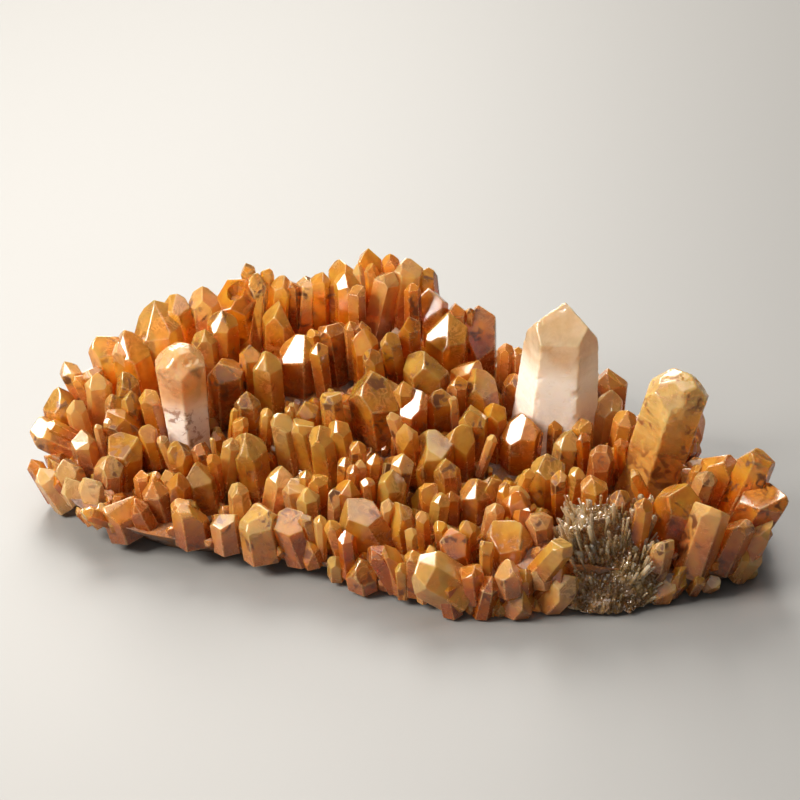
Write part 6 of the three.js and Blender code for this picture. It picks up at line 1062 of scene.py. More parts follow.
    (54.877, 14.78, 3.691, 0.581, 0.142, 0.801, 10.741, 6.066, 12, -0.7, 0, 12733),
    (-57.332, 22.639, 4.582, -0.761, 0.191, 0.62, 11.825, 5.096, 44, -1, 0, 12744),
    (35.431, 30.165, 2.006, 0.576, 0.312, 0.755, 6.949, 4.315, 51, -0.5, 0, 12755),
    (-5.495, 38.233, 8.014, -0.244, 0.861, 0.447, 10.247, 5.098, 47, -0.3, 0, 12766),
    (2.24, 38.44, 1.894, -0.004, 0.651, 0.759, 10.146, 5.293, 1, 1.5, 0, 12777),
    (26.942, 33.909, 2.217, 0.644, 0.484, 0.593, 8.551, 4.361, 12, 1.3, 0, 12788),
    (57.425, 11.522, 4.876, 0.582, 0.125, 0.803, 7.595, 5.301, 26, -0.9, 0, 12799),
    (2.836, 38.083, 5.34, -0.281, 0.861, 0.423, 11.55, 6.236, 36, 0.9, 0, 12810),
    (37.087, 28.743, 3.571, 0.556, 0.672, 0.49, 8.543, 6.095, 57, -0.9, 0, 12821),
    (-61.166, 16.67, 7.15, -0.801, 0.324, 0.503, 8.526, 4.414, 7, 0.1, 0, 12832),
    (8.64, 37.809, 2.583, -0.094, 0.598, 0.796, 8.583, 4.55, 57, 1.2, 0, 12843),
    (-32.918, 34.794, 5.023, -0.355, 0.667, 0.655, 8.919, 4.36, 21, 1.8, 0, 12854),
    (38.385, 28.325, 3.465, 0.727, 0.367, 0.58, 9.059, 5.135, 33, 0, 0, 12865),
    (-17.162, 37.42, 2.307, -0.164, 0.664, 0.729, 12.487, 4.24, 15, 0.9, 0, 12876),
    (21.451, 35.241, 2.48, 0.484, 0.628, 0.609, 7.677, 6.393, 40, 1.2, 0, 12887),
    (-10.273, 37.613, 2.375, -0.407, 0.748, 0.524, 11.873, 4.471, 46, 1.4, 0, 12898),
    (48.404, 20.974, 2.229, 0.57, 0.341, 0.748, 5.404, 5.918, 33, 0.8, 0, 12909),
    (-65.652, 0.843, 4.679, -0.69, -0.119, 0.714, 8.002, 5.654, 10, 1.3, 0, 12920),
    (-24.628, 36.887, 7.527, -0.156, 0.587, 0.794, 9.694, 4.547, 57, 0.6, 0, 12931),
    (-13.569, 37.023, 7.416, -0.275, 0.798, 0.537, 11.785, 5.21, 52, 1.4, 0, 12942),
    (51.869, 17.524, 3.622, 0.866, 0.206, 0.455, 11.158, 6.093, 0, 1, 0, 12953),
    (16.132, -43.343, 0.172, 0.161, -0.114, 0.98, 9.537, 4.698, 51, -0.9, 0, 12964),
    (-29.938, 35.081, 3.261, -0.602, 0.737, 0.307, 8.355, 5.442, 13, 0.2, 0, 12975),
    (-62.602, 14.643, 5.892, -0.685, 0.222, 0.694, 9.751, 6.007, 3, -0.7, 0, 12986),
    (-28.106, 35.777, 4.462, -0.656, 0.646, 0.389, 12.221, 5.15, 21, -1.3, 0, 12997),
    (4.866, 37.732, 3.415, 0.101, 0.809, 0.579, 10.013, 6.225, 18, 0.3, 0, 13008),
    (16.366, 36.973, 2.345, 0.341, 0.542, 0.768, 7.739, 4.805, 26, 0.3, 0, 13019),
    (-55.494, 24.932, 2.558, -0.655, 0.307, 0.69, 9.5, 5.558, 8, 1.4, 0, 13030),
    (-5.98, 38.148, 4.808, -0.168, 0.892, 0.42, 11.267, 5.187, 53, 0.7, 0, 13041),
    (-40.745, 32.884, 3.504, -0.756, 0.37, 0.54, 12.187, 6.192, 37, -0.1, 0, 13052),
    (49.884, -38.227, 0.133, 0.384, -0.039, 0.923, 6.915, 4.94, 4, 0.8, 0, 13063),
    (-47.536, 29.482, 4.421, -0.619, 0.654, 0.435, 10.974, 5.981, 31, 0.1, 0, 13074),
    (-16.801, 37.161, 4.329, -0.461, 0.826, 0.324, 12.424, 5.715, 49, -0.5, 0, 13085),
    (19.292, 35.741, 4.361, 0.428, 0.8, 0.421, 9.819, 5.48, 56, 0.6, 0, 13096),
    (28.028, -40.635, -0.207, 0.479, -0.306, 0.823, 11.016, 5.59, 47, 1.3, 0, 13107),
    (7.012, 37.447, 5.595, 0.264, 0.813, 0.52, 11.825, 5.899, 0, 1.9, 0, 13118),
    (64.977, -3.056, 1.78, 0.747, 0.014, 0.665, 7.324, 5.242, 8, 0.3, 0, 13129),
    (3.46, 38.145, 8.097, -0.083, 0.74, 0.668, 11.336, 5.14, 23, 2, 0, 13140),
    (-10.691, 37.95, 2.579, 0.006, 0.572, 0.82, 7.269, 6.357, 41, 1.4, 0, 13151),
    (34.871, 30.308, 2.1, 0.402, 0.516, 0.756, 10.239, 5.462, 9, -1.5, 0, 13162),
    (27.948, -40.703, 9.216, 0.184, -0.356, 0.916, 6.127, 4.277, 50, 1.8, 0, 13173),
    (-59.049, 20.762, 5.877, -0.592, 0.13, 0.796, 6.431, 4.264, 55, 1, 0, 13184),
    (-39.77, 33.463, 5.913, -0.181, 0.437, 0.881, 9.209, 4.736, 20, 1.4, 0, 13195),
    (-58.045, 21.869, 2.962, -0.834, -0.023, 0.552, 8.698, 5.76, 9, -1.2, 0, 13206),
    (67.312, -8.439, 1.511, 0.384, -0.025, 0.923, 10.672, 4.258, 37, 0.8, 0, 13217),
    (39.459, 27.989, 5.496, 0.524, 0.288, 0.801, 9.357, 4.748, 22, 1.5, 0, 13228),
    (-21.709, 36.834, 2.715, -0.112, 0.891, 0.439, 4.989, 4.487, 57, 0.5, 0, 13239),
    (29.178, -40.211, 4.263, 0.214, -0.443, 0.871, 8.579, 5.763, 16, 0.2, 0, 13250),
    (24.186, 34.5, 3.736, 0.661, 0.65, 0.375, 11.982, 5.981, 3, -0.2, 0, 13261),
    (61.67, 5.253, 1.268, 0.554, -0.111, 0.825, 5.114, 5.177, 16, 1, 0, 13272),
    (-36.463, 34.024, 2.838, -0.552, 0.603, 0.576, 7.907, 5.982, 23, -0.1, 0, 13283),
    (22.956, 35.561, 2.815, 0.225, 0.286, 0.931, 12.144, 5.546, 19, 0.6, 0, 13294),
    (-22.817, 36.942, 6.511, -0.441, 0.693, 0.57, 10.089, 4.217, 50, -1, 0, 13305),
    (-51.766, 27.918, 2.681, -0.679, 0.062, 0.732, 8.154, 4.615, 15, 1.8, 0, 13316),
    (15.33, 36.835, 2.303, -0.103, 0.846, 0.523, 8.405, 6.001, 5, 1.7, 0, 13327),
    (-20.918, 37.08, 4.618, -0.42, 0.757, 0.501, 10.548, 5.11, 44, -1, 0, 13338),
    (-10.289, 37.586, 2.651, -0.041, 0.843, 0.536, 10.14, 5.735, 50, 1.3, 0, 13349),
    (-44.477, 31.185, 7.487, -0.542, 0.537, 0.646, 12.363, 4.737, 11, 1.4, 0, 13360),
    (-55.13, 24.997, 7.436, -0.814, 0.319, 0.486, 12.122, 5.936, 12, -1.3, 0, 13371),
    (28.908, -40.707, 9.039, 0.361, -0.139, 0.922, 7.316, 4.369, 30, 0.3, 0, 13382),
    (58.524, 10.591, 3.552, 0.315, 0.125, 0.941, 11.895, 4.646, 30, 0.4, 0, 13393),
    (21.774, -42.257, -0.07, 0.437, -0.286, 0.853, 7.385, 5.951, 52, 1, 0, 13404),
    (43.334, 24.891, 2.191, 0.512, 0.525, 0.68, 5.849, 4.957, 51, -1.2, 0, 13415),
    (-35.175, 34.482, 4.597, -0.502, 0.536, 0.679, 8.947, 4.305, 3, 1.2, 0, 13426),
    (-64.571, 10.705, 2.809, -0.437, 0.136, 0.889, 5.619, 5.221, 11, 1.6, 0, 13437),
    (-51.314, 27.45, 4.05, -0.742, 0.495, 0.452, 10.254, 4.406, 56, 1.5, 0, 13448),
    (48.634, 20.481, 3.736, 0.832, 0.305, 0.464, 8.126, 5.173, 29, -1.3, 0, 13459),
    (-64.607, 11.874, 6.831, -0.25, -0.038, 0.967, 12.11, 5.644, 31, 0.5, 0, 13470),
    (26.645, -40.917, 7.258, 0.41, -0.371, 0.833, 12.425, 4.567, 20, -1.4, 0, 13481),
    (-65.508, -2.451, 5.987, -0.582, -0.101, 0.807, 7.486, 5.598, 21, 1.9, 0, 13492),
    (-36.403, 33.967, 3.998, -0.54, 0.652, 0.532, 11.85, 5.83, 32, -0.3, 0, 13503),
    (-6.844, 38.637, 6.062, 0.041, 0.55, 0.834, 12.505, 4.556, 30, 0.3, 0, 13514),
    (-66.033, 4.471, 3.325, -0.473, -0.046, 0.88, 5.936, 4.383, 45, 0.3, 0, 13525),
    (-36.369, 34.322, 6.916, -0.635, 0.41, 0.655, 12.378, 5.168, 0, -0.2, 0, 13536),
    (-49.349, 28.835, 4.87, -0.589, 0.459, 0.666, 11.713, 4.414, 20, 0.2, 0, 13547),
    (15.256, 36.882, 4.639, 0.335, 0.744, 0.577, 9.01, 4.357, 2, 0.3, 0, 13558),
    (-11.603, -31.61, 1.319, -0.009, -0.309, 0.951, 5.978, 3.461, 56, -0.6, 0, 13569),
    (68.843, -25.137, 2.712, 0.439, -0.079, 0.895, 7.357, 3.105, 1, 1.6, 0, 13580),
    (23.966, -41.995, 4.57, 0.017, -0.181, 0.983, 5.53, 3.828, 58, -1.3, 0, 13591),
    (64.773, -32.972, 3.083, 0.368, -0.097, 0.925, 5.668, 3.12, 13, -1.5, 0, 13602),
    (52.346, -37.862, 1.171, 0.493, -0.012, 0.87, 5.31, 3.012, 47, 1.7, 0, 13613),
    (-0.425, 38.227, 2.648, 0.012, 0.93, 0.369, 7.064, 3.917, 41, 0.4, 0, 13624),
    (-60.281, 18.288, 3.152, -0.852, 0.129, 0.507, 7.406, 3.134, 0, 1.9, 0, 13635),
    (59.04, -35.493, 1.707, 0.678, -0.339, 0.652, 4.085, 3.504, 55, 1.3, 0, 13646),
    (67.781, -12.255, 1.387, 0.649, 0.077, 0.757, 7.559, 3.838, 0, 1, 0, 13657),
    (-61.266, 16.427, 4.544, -0.896, 0.21, 0.391, 8.405, 3.568, 59, -1.3, 0, 13668),
    (-16.023, -29.673, 3.073, -0.255, -0.07, 0.964, 5.94, 3.967, 59, -0.7, 0, 13679),
    (-64.701, 9.02, 4.314, -0.626, 0.204, 0.753, 8.541, 3.218, 55, 1.6, 0, 13690),
    (-59.652, 20.121, 6.848, -0.457, 0.181, 0.871, 8.689, 3.425, 4, -0.2, 0, 13701),
    (47.031, -38.326, 0.679, 0.398, -0.167, 0.902, 5.151, 3.219, 59, -0.3, 0, 13712),
    (63.192, 2.73, 4.179, 0.443, -0.193, 0.875, 6.082, 3.976, 30, 2, 0, 13723),
    (-10.801, 37.332, 6.707, -0.363, 0.857, 0.366, 7.503, 3.19, 32, -0.1, 0, 13734),
    (68.814, -17.019, 0.807, 0.587, -0.368, 0.721, 6.224, 3.22, 40, -0.2, 0, 13745),
    (67.065, -29.981, 0.843, 0.598, -0.032, 0.801, 4.109, 3.788, 28, 1.1, 0, 13756),
    (-64.651, -7.167, 4.61, -0.621, 0.088, 0.779, 6.364, 3.048, 48, -0.8, 0, 13767),
    (1.16, -38.741, 1.409, -0.033, -0.123, 0.992, 8.414, 3.148, 48, 1.4, 0, 13778),
    (49.346, 19.808, 5.353, 0.858, 0.31, 0.41, 9.458, 3.015, 21, -1.3, 0, 13789),
    (-12.024, 37.182, 6.697, -0.086, 0.828, 0.554, 9.278, 3.332, 11, -0.2, 0, 13800),
    (51.39, -38.034, 1.4, 0.543, 0.003, 0.839, 7.548, 3.542, 43, 0.8, 0, 13811),
    (-27.836, 36.639, 7.476, -0.433, 0.22, 0.874, 5.882, 3.24, 48, -0.6, 0, 13822),
    (46.272, 23.42, 3.376, 0.304, 0.069, 0.95, 3.828, 2.383, 6, 0.4, 0, 13833),
    (-25.527, 36.673, 2.397, -0.4, 0.561, 0.725, 4.389, 2.528, 23, 0.2, 0, 13844),
    (-65.552, 5.835, 3.857, -0.592, 0.048, 0.804, 3.315, 2.301, 43, 1.2, 0, 13855),
    (68.999, -17.87, 2.54, 0.508, -0.124, 0.853, 3.32, 2.933, 3, -1.2, 0, 13866),
    (31.154, 32.153, 4.872, 0.545, 0.532, 0.649, 6.081, 2.668, 9, 0.5, 0, 13877),
    (68.817, -22.901, 3.531, 0.631, 0.19, 0.752, 6.515, 2.519, 44, 1.5, 0, 13888),
    (-11.879, 37.473, 8.101, -0.206, 0.639, 0.741, 6.152, 2.302, 13, -1.3, 0, 13899),
    (68.813, -25.12, 1.841, 0.474, 0.04, 0.88, 3.305, 2.543, 34, -1.5, 0, 13910),
    (-35.202, 34.36, 3.842, -0.412, 0.629, 0.659, 3.302, 2.727, 57, 1.2, 0, 13921),
    (34.542, 30.685, 5.75, 0.309, 0.457, 0.834, 3.305, 2.641, 25, -1, 0, 13932),
    (-59.759, -16.102, 4.937, -0.486, -0.069, 0.871, 3.68, 2.604, 18, -0.3, 0, 13943),
    (33.683, 30.819, 6.745, 0.645, 0.488, 0.588, 3.283, 2.68, 2, 0.4, 0, 13954),
    (38.943, 28.281, 6.574, 0.556, 0.286, 0.78, 3.287, 2.357, 28, 1.1, 0, 13965),
    (32.648, 31.723, 5.211, 0.428, 0.393, 0.814, 3.314, 2.247, 11, 0.8, 0, 13976),
    (59.857, 8.628, 4.504, 0.36, 0.04, 0.932, 4.515, 2.926, 51, 1.7, 0, 13987),
    (-21.967, 37.525, 7.496, -0.344, 0.414, 0.843, 3.329, 2.784, 18, -0.8, 0, 13998),
    (-60.982, -14.746, 4.262, -0.604, 0.015, 0.797, 3.665, 2.478, 55, 0.5, 0, 14009),
    (-65.887, 5.038, 4.752, -0.465, 0.136, 0.875, 3.307, 2.469, 5, -1.1, 0, 14020),
    (68.264, -13.013, 3.226, 0.441, 0.1, 0.892, 3.265, 2.19, 52, -0.2, 0, 14031),
    (-54.968, 25.624, 4.362, -0.621, 0.149, 0.77, 3.263, 2.005, 35, -0.1, 0, 14042),
    (-50.814, 28.136, 6.551, -0.606, 0.346, 0.717, 3.326, 2.533, 12, 0.9, 0, 14053),
    (-66.293, 2.638, 6.116, -0.363, 0.061, 0.93, 3.257, 2.919, 48, -0.1, 0, 14064),
    (-35.249, 34.738, 5.256, -0.627, 0.334, 0.704, 3.318, 2.639, 41, 1.6, 0, 14075),
    (-44.096, 31.829, 5.67, -0.339, 0.326, 0.883, 3.307, 2.696, 7, 0.2, 0, 14086),
    (-60.293, 18.511, 6.016, -0.669, 0.265, 0.694, 3.297, 2.225, 54, 0.6, 0, 14097),
    (40.786, 27.184, 2.661, 0.569, 0.217, 0.793, 3.325, 2.284, 29, -0.9, 0, 14108),
    (42.712, 25.699, 5.369, 0.582, 0.266, 0.768, 6.044, 2.575, 53, 1.7, 0, 14119),
    (34.368, 30.111, 6.533, 0.511, 0.761, 0.399, 3.308, 2.063, 33, 0.5, 0, 14130),
    (47.341, -38, 0.744, 0.451, -0.349, 0.821, 3.311, 2.048, 17, -0.3, 0, 14141),
    (36.157, 29.257, 6.719, 0.628, 0.623, 0.466, 3.317, 2.462, 20, -0.7, 0, 14152),
    (-59.39, 19.858, 5.943, -0.795, 0.089, 0.6, 3.317, 2.338, 1, -1.3, 0, 14163),
    (17.962, -43.1, 1.769, 0.2, -0.281, 0.939, 3.283, 2.213, 11, 1.3, 0, 14174),
    (-29.225, 35.691, 5.378, -0.351, 0.581, 0.734, 3.312, 2.951, 23, -0.7, 0, 14185),
    (45.257, 23.445, 2.256, 0.519, 0.427, 0.74, 4.506, 2.505, 19, -1.2, 0, 14196),
    (63.608, 2.002, 2.39, 0.318, -0.024, 0.948, 3.268, 2.143, 42, -1.2, 0, 14207),
    (-66.031, 1.747, 5.35, -0.492, -0.086, 0.866, 3.26, 2.465, 25, 1.7, 0, 14218),
    (-31.783, 35.123, 7.448, -0.441, 0.567, 0.696, 4.502, 2.079, 22, -1.1, 0, 14229),
    (17.66, 36.669, 5.798, 0.547, 0.481, 0.685, 3.271, 2.835, 41, -0.2, 0, 14240),
    (-45.189, 30.857, 4.477, -0.423, 0.599, 0.68, 3.319, 2.426, 25, 1.1, 0, 14251),
    (26.569, -41.632, -0.281, 0.054, -0.019, 0.998, 3.914, 2.703, 16, -0.5, 0, 14262),
    (68.735, -15.007, 0.734, 0.387, 0.055, 0.92, 4.479, 2.068, 50, 1.3, 0, 14273),
    (44.144, 24.936, 4.077, 0.438, 0.151, 0.886, 5.102, 2.294, 8, -1.5, 0, 14284),
    (13.929, -43.058, 0.912, 0.325, -0.226, 0.918, 3.295, 2.464, 25, 0.3, 0, 14295),
    (66.094, -6.284, 1.44, 0.726, 0.045, 0.687, 7.032, 2.348, 29, -0.5, 0, 14306),
    (-65.056, -6.852, 5.075, -0.385, -0.055, 0.921, 3.331, 2.067, 57, -0.9, 0, 14317),
    (19.139, -43.067, -0.26, 0.177, -0.222, 0.959, 3.892, 2.742, 18, -1, 0, 14328),
    (-38.301, 33.785, 2.27, -0.735, 0.355, 0.578, 3.294, 2.315, 44, 1.2, 0, 14339),
    (4.99, -40.66, 1.489, -0.057, -0.16, 0.985, 3.281, 2.316, 15, 1.1, 0, 14350),
    (17.619, -43.309, 0.026, 0.456, -0.15, 0.877, 3.29, 2.776, 7, 0.1, 0, 14361),
    (-4.931, 38.438, 5.183, -0.179, 0.767, 0.616, 3.316, 2.714, 24, 2, 0, 14372),
    (69.277, -20.47, 0.708, 0.428, -0.171, 0.887, 4.806, 2.106, 24, -0.7, 0, 14383),
    (50.595, 19.67, 3.194, 0.46, 0.045, 0.887, 3.254, 2.601, 51, 0.6, 0, 14394),
    (28.705, -40.886, 5.904, 0.198, -0.11, 0.974, 3.277, 2.69, 21, 0.5, 0, 14405),
    (-53.362, 25.99, 3.017, -0.741, 0.556, 0.375, 5.451, 2.048, 20, -1.5, 0, 14416),
    (30.123, 32.632, 3.792, 0.567, 0.519, 0.64, 3.287, 2.034, 50, -0.7, 0, 14427),
    (22.119, 35.076, 6.24, 0.342, 0.675, 0.654, 3.291, 2.61, 30, 0.8, 0, 14438),
    (-58.387, -17.141, 5.353, -0.679, -0.08, 0.73, 3.266, 2.001, 12, 1.3, 0, 14449),
    (68.623, -27.375, 0.593, 0.362, -0.196, 0.911, 3.546, 2.751, 0, -1.4, 0, 14460),
    (10.629, 37.348, 3.209, 0.215, 0.839, 0.5, 3.323, 2.129, 5, -0.4, 0, 14471),
    (68.357, -13.284, 1.565, 0.434, 0.01, 0.901, 3.324, 2.885, 9, -0.2, 0, 14482),
    (-53.753, 25.713, 6.233, -0.705, 0.583, 0.403, 3.329, 2.656, 46, 0.1, 0, 14493),
    (69.307, -19.824, 0.742, 0.428, 0.06, 0.902, 3.324, 2.535, 54, 0.6, 0, 14504),
    (3.137, 38.08, 6.78, 0.102, 0.783, 0.614, 3.309, 2.444, 27, 0.3, 0, 14515),
    (67.66, -10.019, 3.876, 0.471, -0.21, 0.857, 6.85, 2.971, 20, 0.8, 0, 14526),
    (68.052, -14.027, 1.758, 0.745, -0.165, 0.647, 7.013, 2.709, 14, 1, 0, 14537),
    (-46.58, 30.522, 5.677, -0.55, 0.341, 0.763, 3.271, 2.94, 54, 0, 0, 14548),
    (15.345, 36.792, 7.579, 0.488, 0.759, 0.43, 3.3, 2.156, 54, -0.4, 0, 14559),
    (66.758, -6.515, 3.716, 0.405, -0.114, 0.907, 3.332, 2.305, 22, 1.3, 0, 14570),
    (1.284, -38.906, 1.559, 0.123, -0.156, 0.98, 3.25, 2.596, 42, 0.3, 0, 14581),
    (62.989, 2.388, 2.9, 0.572, 0.018, 0.82, 3.281, 2.107, 50, -0.1, 0, 14592),
    (-66.271, 2.07, 5.367, -0.354, -0.059, 0.933, 3.325, 2.359, 58, 0.9, 0, 14603),
    (68.748, -16.742, 1.122, 0.544, 0.08, 0.835, 3.262, 2.647, 27, 1.5, 0, 14614),
    (0.401, -37.914, 2.35, -0.091, -0.312, 0.946, 3.27, 2.3, 55, -0.6, 0, 14625),
    (59.193, 9.407, 3.182, 0.473, 0.018, 0.881, 3.269, 2.441, 11, 0.7, 0, 14636),
    (-47.085, 30.675, 7.328, -0.663, 0.03, 0.748, 3.315, 2.993, 54, 1.2, 0, 14647),
    (16.146, -43.377, 2.611, 0.001, -0.087, 0.996, 3.304, 2.404, 27, 0.7, 0, 14658),
    (-53.485, 26.307, 5.744, -0.686, 0.344, 0.642, 3.323, 2.6, 10, 1.6, 0, 14669),
    (26.498, 33.952, 4.776, 0.362, 0.647, 0.671, 3.284, 2.812, 57, -0.3, 0, 14680),
    (56.577, -36.558, 1.159, 0.296, -0.302, 0.906, 5.589, 2.899, 1, 1.7, 0, 14691),
    (53.739, 15.717, 3.718, 0.719, 0.227, 0.657, 3.312, 2.816, 42, -0.3, 0, 14702),
    (49.458, -38.39, 5.091, 0.537, 0.049, 0.842, 3.313, 2.208, 4, -0.3, 0, 14713),
    (67.037, -7.772, 3.298, 0.431, 0, 0.903, 3.278, 2.993, 21, -1.1, 0, 14724),
    (-58.115, -17.774, 4.691, -0.583, 0.06, 0.811, 3.283, 2.783, 2, 1.2, 0, 14735),
    (27.586, 33.593, 2.935, 0.758, 0.492, 0.429, 3.326, 2.532, 40, 0.1, 0, 14746),
    (-13.345, 37.344, 2.227, -0.205, 0.575, 0.792, 3.28, 2.337, 19, 1.8, 0, 14757),
    (21.194, 35.615, 4.681, 0.403, 0.484, 0.777, 3.297, 2.735, 25, 0.4, 0, 14768),
    (68.512, -27.279, 3.306, 0.45, -0.142, 0.882, 5.029, 2.159, 43, 1.5, 0, 14779),
    (-60.261, -16.12, 3.911, -0.438, 0.216, 0.873, 3.287, 2.092, 8, 0.7, 0, 14790),
    (10.981, 37.486, 6.94, 0.153, 0.743, 0.652, 3.312, 2.753, 52, 0, 0, 14801),
    (-65.758, -0.747, 3.493, -0.534, -0.189, 0.824, 3.329, 2.179, 52, 1.6, 0, 14812),
    (-61.878, 16.802, 4.497, -0.485, 0.023, 0.874, 3.263, 2.148, 45, -0.9, 0, 14823),
    (-49.335, 28.67, 3.454, -0.596, 0.563, 0.572, 3.305, 2.903, 40, 0.4, 0, 14834),
    (55.424, 13.675, 4.601, 0.763, 0.187, 0.618, 3.263, 2.6, 40, 1.3, 0, 14845),
    (-64.97, 9.104, 5.961, -0.473, 0.091, 0.876, 3.285, 2.953, 18, 1.5, 0, 14856),
    (-60.731, -15.023, 4.222, -0.417, -0.183, 0.89, 3.273, 2.351, 42, -1.2, 0, 14867),
    (-56.871, 23.104, 5.761, -0.556, 0.532, 0.638, 3.28, 2.89, 2, -1.3, 0, 14878),
    (41.448, 26.723, 2.321, 0.423, 0.32, 0.847, 3.267, 2.846, 21, -0.1, 0, 14889),
    (17.706, -42.973, 2.969, 0.231, -0.361, 0.903, 3.257, 2.447, 41, 1.5, 0, 14900),
    (65.738, -3.503, 2.907, 0.415, -0.111, 0.903, 3.302, 2.449, 25, 0.2, 0, 14911),
    (27.616, -41.277, 9.852, 0.192, -0.05, 0.98, 3.327, 2.613, 33, -0.9, 0, 14922),
    (-6.942, 38.66, 6.802, -0.103, 0.512, 0.853, 3.265, 2.49, 44, -1, 0, 14933),
    (17.73, -43.191, 1.005, 0.182, -0.225, 0.957, 3.315, 2.791, 36, -0.2, 0, 14944),
    (26.578, -40.942, 2.912, 0.537, -0.335, 0.774, 3.319, 2.223, 19, 0, 0, 14955),
    (-24.041, 36.812, 3.171, -0.73, 0.596, 0.336, 3.255, 2.43, 21, 1.9, 0, 14966),
    (65.317, -32.537, 1.03, 0.224, -0.152, 0.963, 3.305, 2.187, 43, 0.2, 0, 14977),
    (12.34, 37.288, 4.711, 0.151, 0.791, 0.593, 3.294, 2.238, 14, 1.3, 0, 14988),
    (67.224, -9.038, 2.959, 0.562, -0.108, 0.82, 3.287, 2.513, 56, 0.1, 0, 14999),
    (-55.095, -20.187, 4.988, -0.314, -0.046, 0.948, 3.265, 2.123, 55, -0.5, 0, 15010),
    (-18.896, 37.579, 5.001, -0.076, 0.552, 0.83, 5.068, 2.569, 30, 0, 0, 15021),
    (-4.698, -35.328, 1.407, -0.041, -0.186, 0.982, 3.252, 2.836, 45, -0.5, 0, 15032),
    (50.871, 19.178, 4.202, 0.585, 0.072, 0.808, 3.287, 2.936, 37, 0.2, 0, 15043),
    (23.918, 34.983, 3.725, 0.301, 0.487, 0.82, 3.294, 2.614, 45, -0.4, 0, 15054),
    (17.809, 36.652, 4.804, 0.117, 0.58, 0.806, 3.279, 2.254, 35, 0.5, 0, 15065),
    (-16.412, -29.483, 2.673, -0.41, -0.114, 0.905, 3.29, 2.214, 21, -0.3, 0, 15076),
    (-10.712, 37.98, 4.585, -0.086, 0.529, 0.844, 3.265, 2.828, 40, -0.8, 0, 15087),
    (-7.051, -33.613, 1.749, -0.622, -0.215, 0.753, 3.333, 2.583, 48, 0.1, 0, 15098),
    (36.555, 29.429, 7.009, 0.409, 0.5, 0.764, 3.618, 2.075, 53, 1.5, 0, 15109),
    (43.06, 25.364, 6.486, 0.597, 0.297, 0.745, 6.729, 2.216, 9, -0.9, 0, 15120),
    (22.351, -42.307, 5.887, 0.267, -0.204, 0.942, 3.276, 2.985, 10, -0.7, 0, 15131),
    (-63.168, 13.526, 4.304, -0.751, 0.128, 0.647, 3.317, 2.56, 16, 2, 0, 15142),
    (-2.353, -36.015, 1.942, -0.012, -0.456, 0.89, 3.269, 2.475, 12, -1.4, 0, 15153),
]
KINDS = (
    "AGMPGAPPADGPGPGGAPDPPPAAAPGDDDODPPOWWDPDPDADAAOPPOAWOOAYAADAPAAAAPAPDAGDAGDDDDDOADAPDODDDAGDDOAADAAG"
    "AGGYGGAGYAPAPPADAAPAAOAGYYYYYPGODADAAAPGOAAPPAPGGDGGAAAPGGPGYAOAOPOGOPYYAYOAMDPDGODYOADAADADPPPPPDDD"
    "ADDAGPOGAPAGDGDAAAPAGDGAPADDOGGAGGAAAAOGGOAAGGPGGPGDPPGDPPAPDAAAGDGGDAGDOAADDOPOGOOAADGPGOAGADAGGOPA"
    "APAPOGPAPPAGDAAPPAAAOAGAPAPAPAAGAOADAGGGPAADGOOAAGODPGADGPGGPGAAAGAOAAGOOPGAGOAAAGADAAPGAGAOOGPPGGAG"
    "PAADDPPAPAGAGADOAOAGPGGGOODOAGOGOOOOGOAOGAODOOOOOOOOAOOOGGOOGAGGOAOGOGGOAOGOOGGDGGAAOOOOGOODDDOOAGOO"
    "DOOOOOADOOAOOAOGOOOOAOOGGOADGGOOOAOOOAODDGADOOGOODGOOOAODGOODOGGADOODOGGODOGGOOODAOOGOAGOGOAODOOOAOD"
    "OOOOGOOOGAGDAODOOODDGOOGOAAOODDDGOAOOOOGOOOOOOOAOODAGOOAODAGAGGGAOGOGAGOOGODOAGDDGAOADODAOAODGOODAOO"
    "DGOOOOOOOGAADADOODODADOOOADGOOADDOOOOAODOOAOOOOODDDDODOOGOODOAGOOGOOOOAOOOGADAODDAADODDAGOGOOOGDDDOG"
    "OOOGGDDOODOAOAOGAOOAODGOGDGOOOOOODODAGDOOGOOOOAAAOOGGDODADDODOAOOAOGGDADOODADOOODDOGODAOOAYGGAAGYPAA"
    "AYAGAYAYGGOYAAAYAAAYAAOAOPYGOGOAAAGAAGAAGPAAAYAOAPOAAAOAAAAAYGGAAGPYAAPAAYAGAGAOAAGYOAGAGOPAPAAGYAGO"
    "YOGPGAAYGAAAAYAAAYAAPAAAGGOAAGGOPGAGPAAAAAYAGAPAAPPYYPGYYAGAOAAGOPYPAGAAOOOAAAYAAGAOYAYGYGYYAAAYAAAP"
    "OGOPYAOAGOGPAAGOAPGAYAPAAOGO"
)
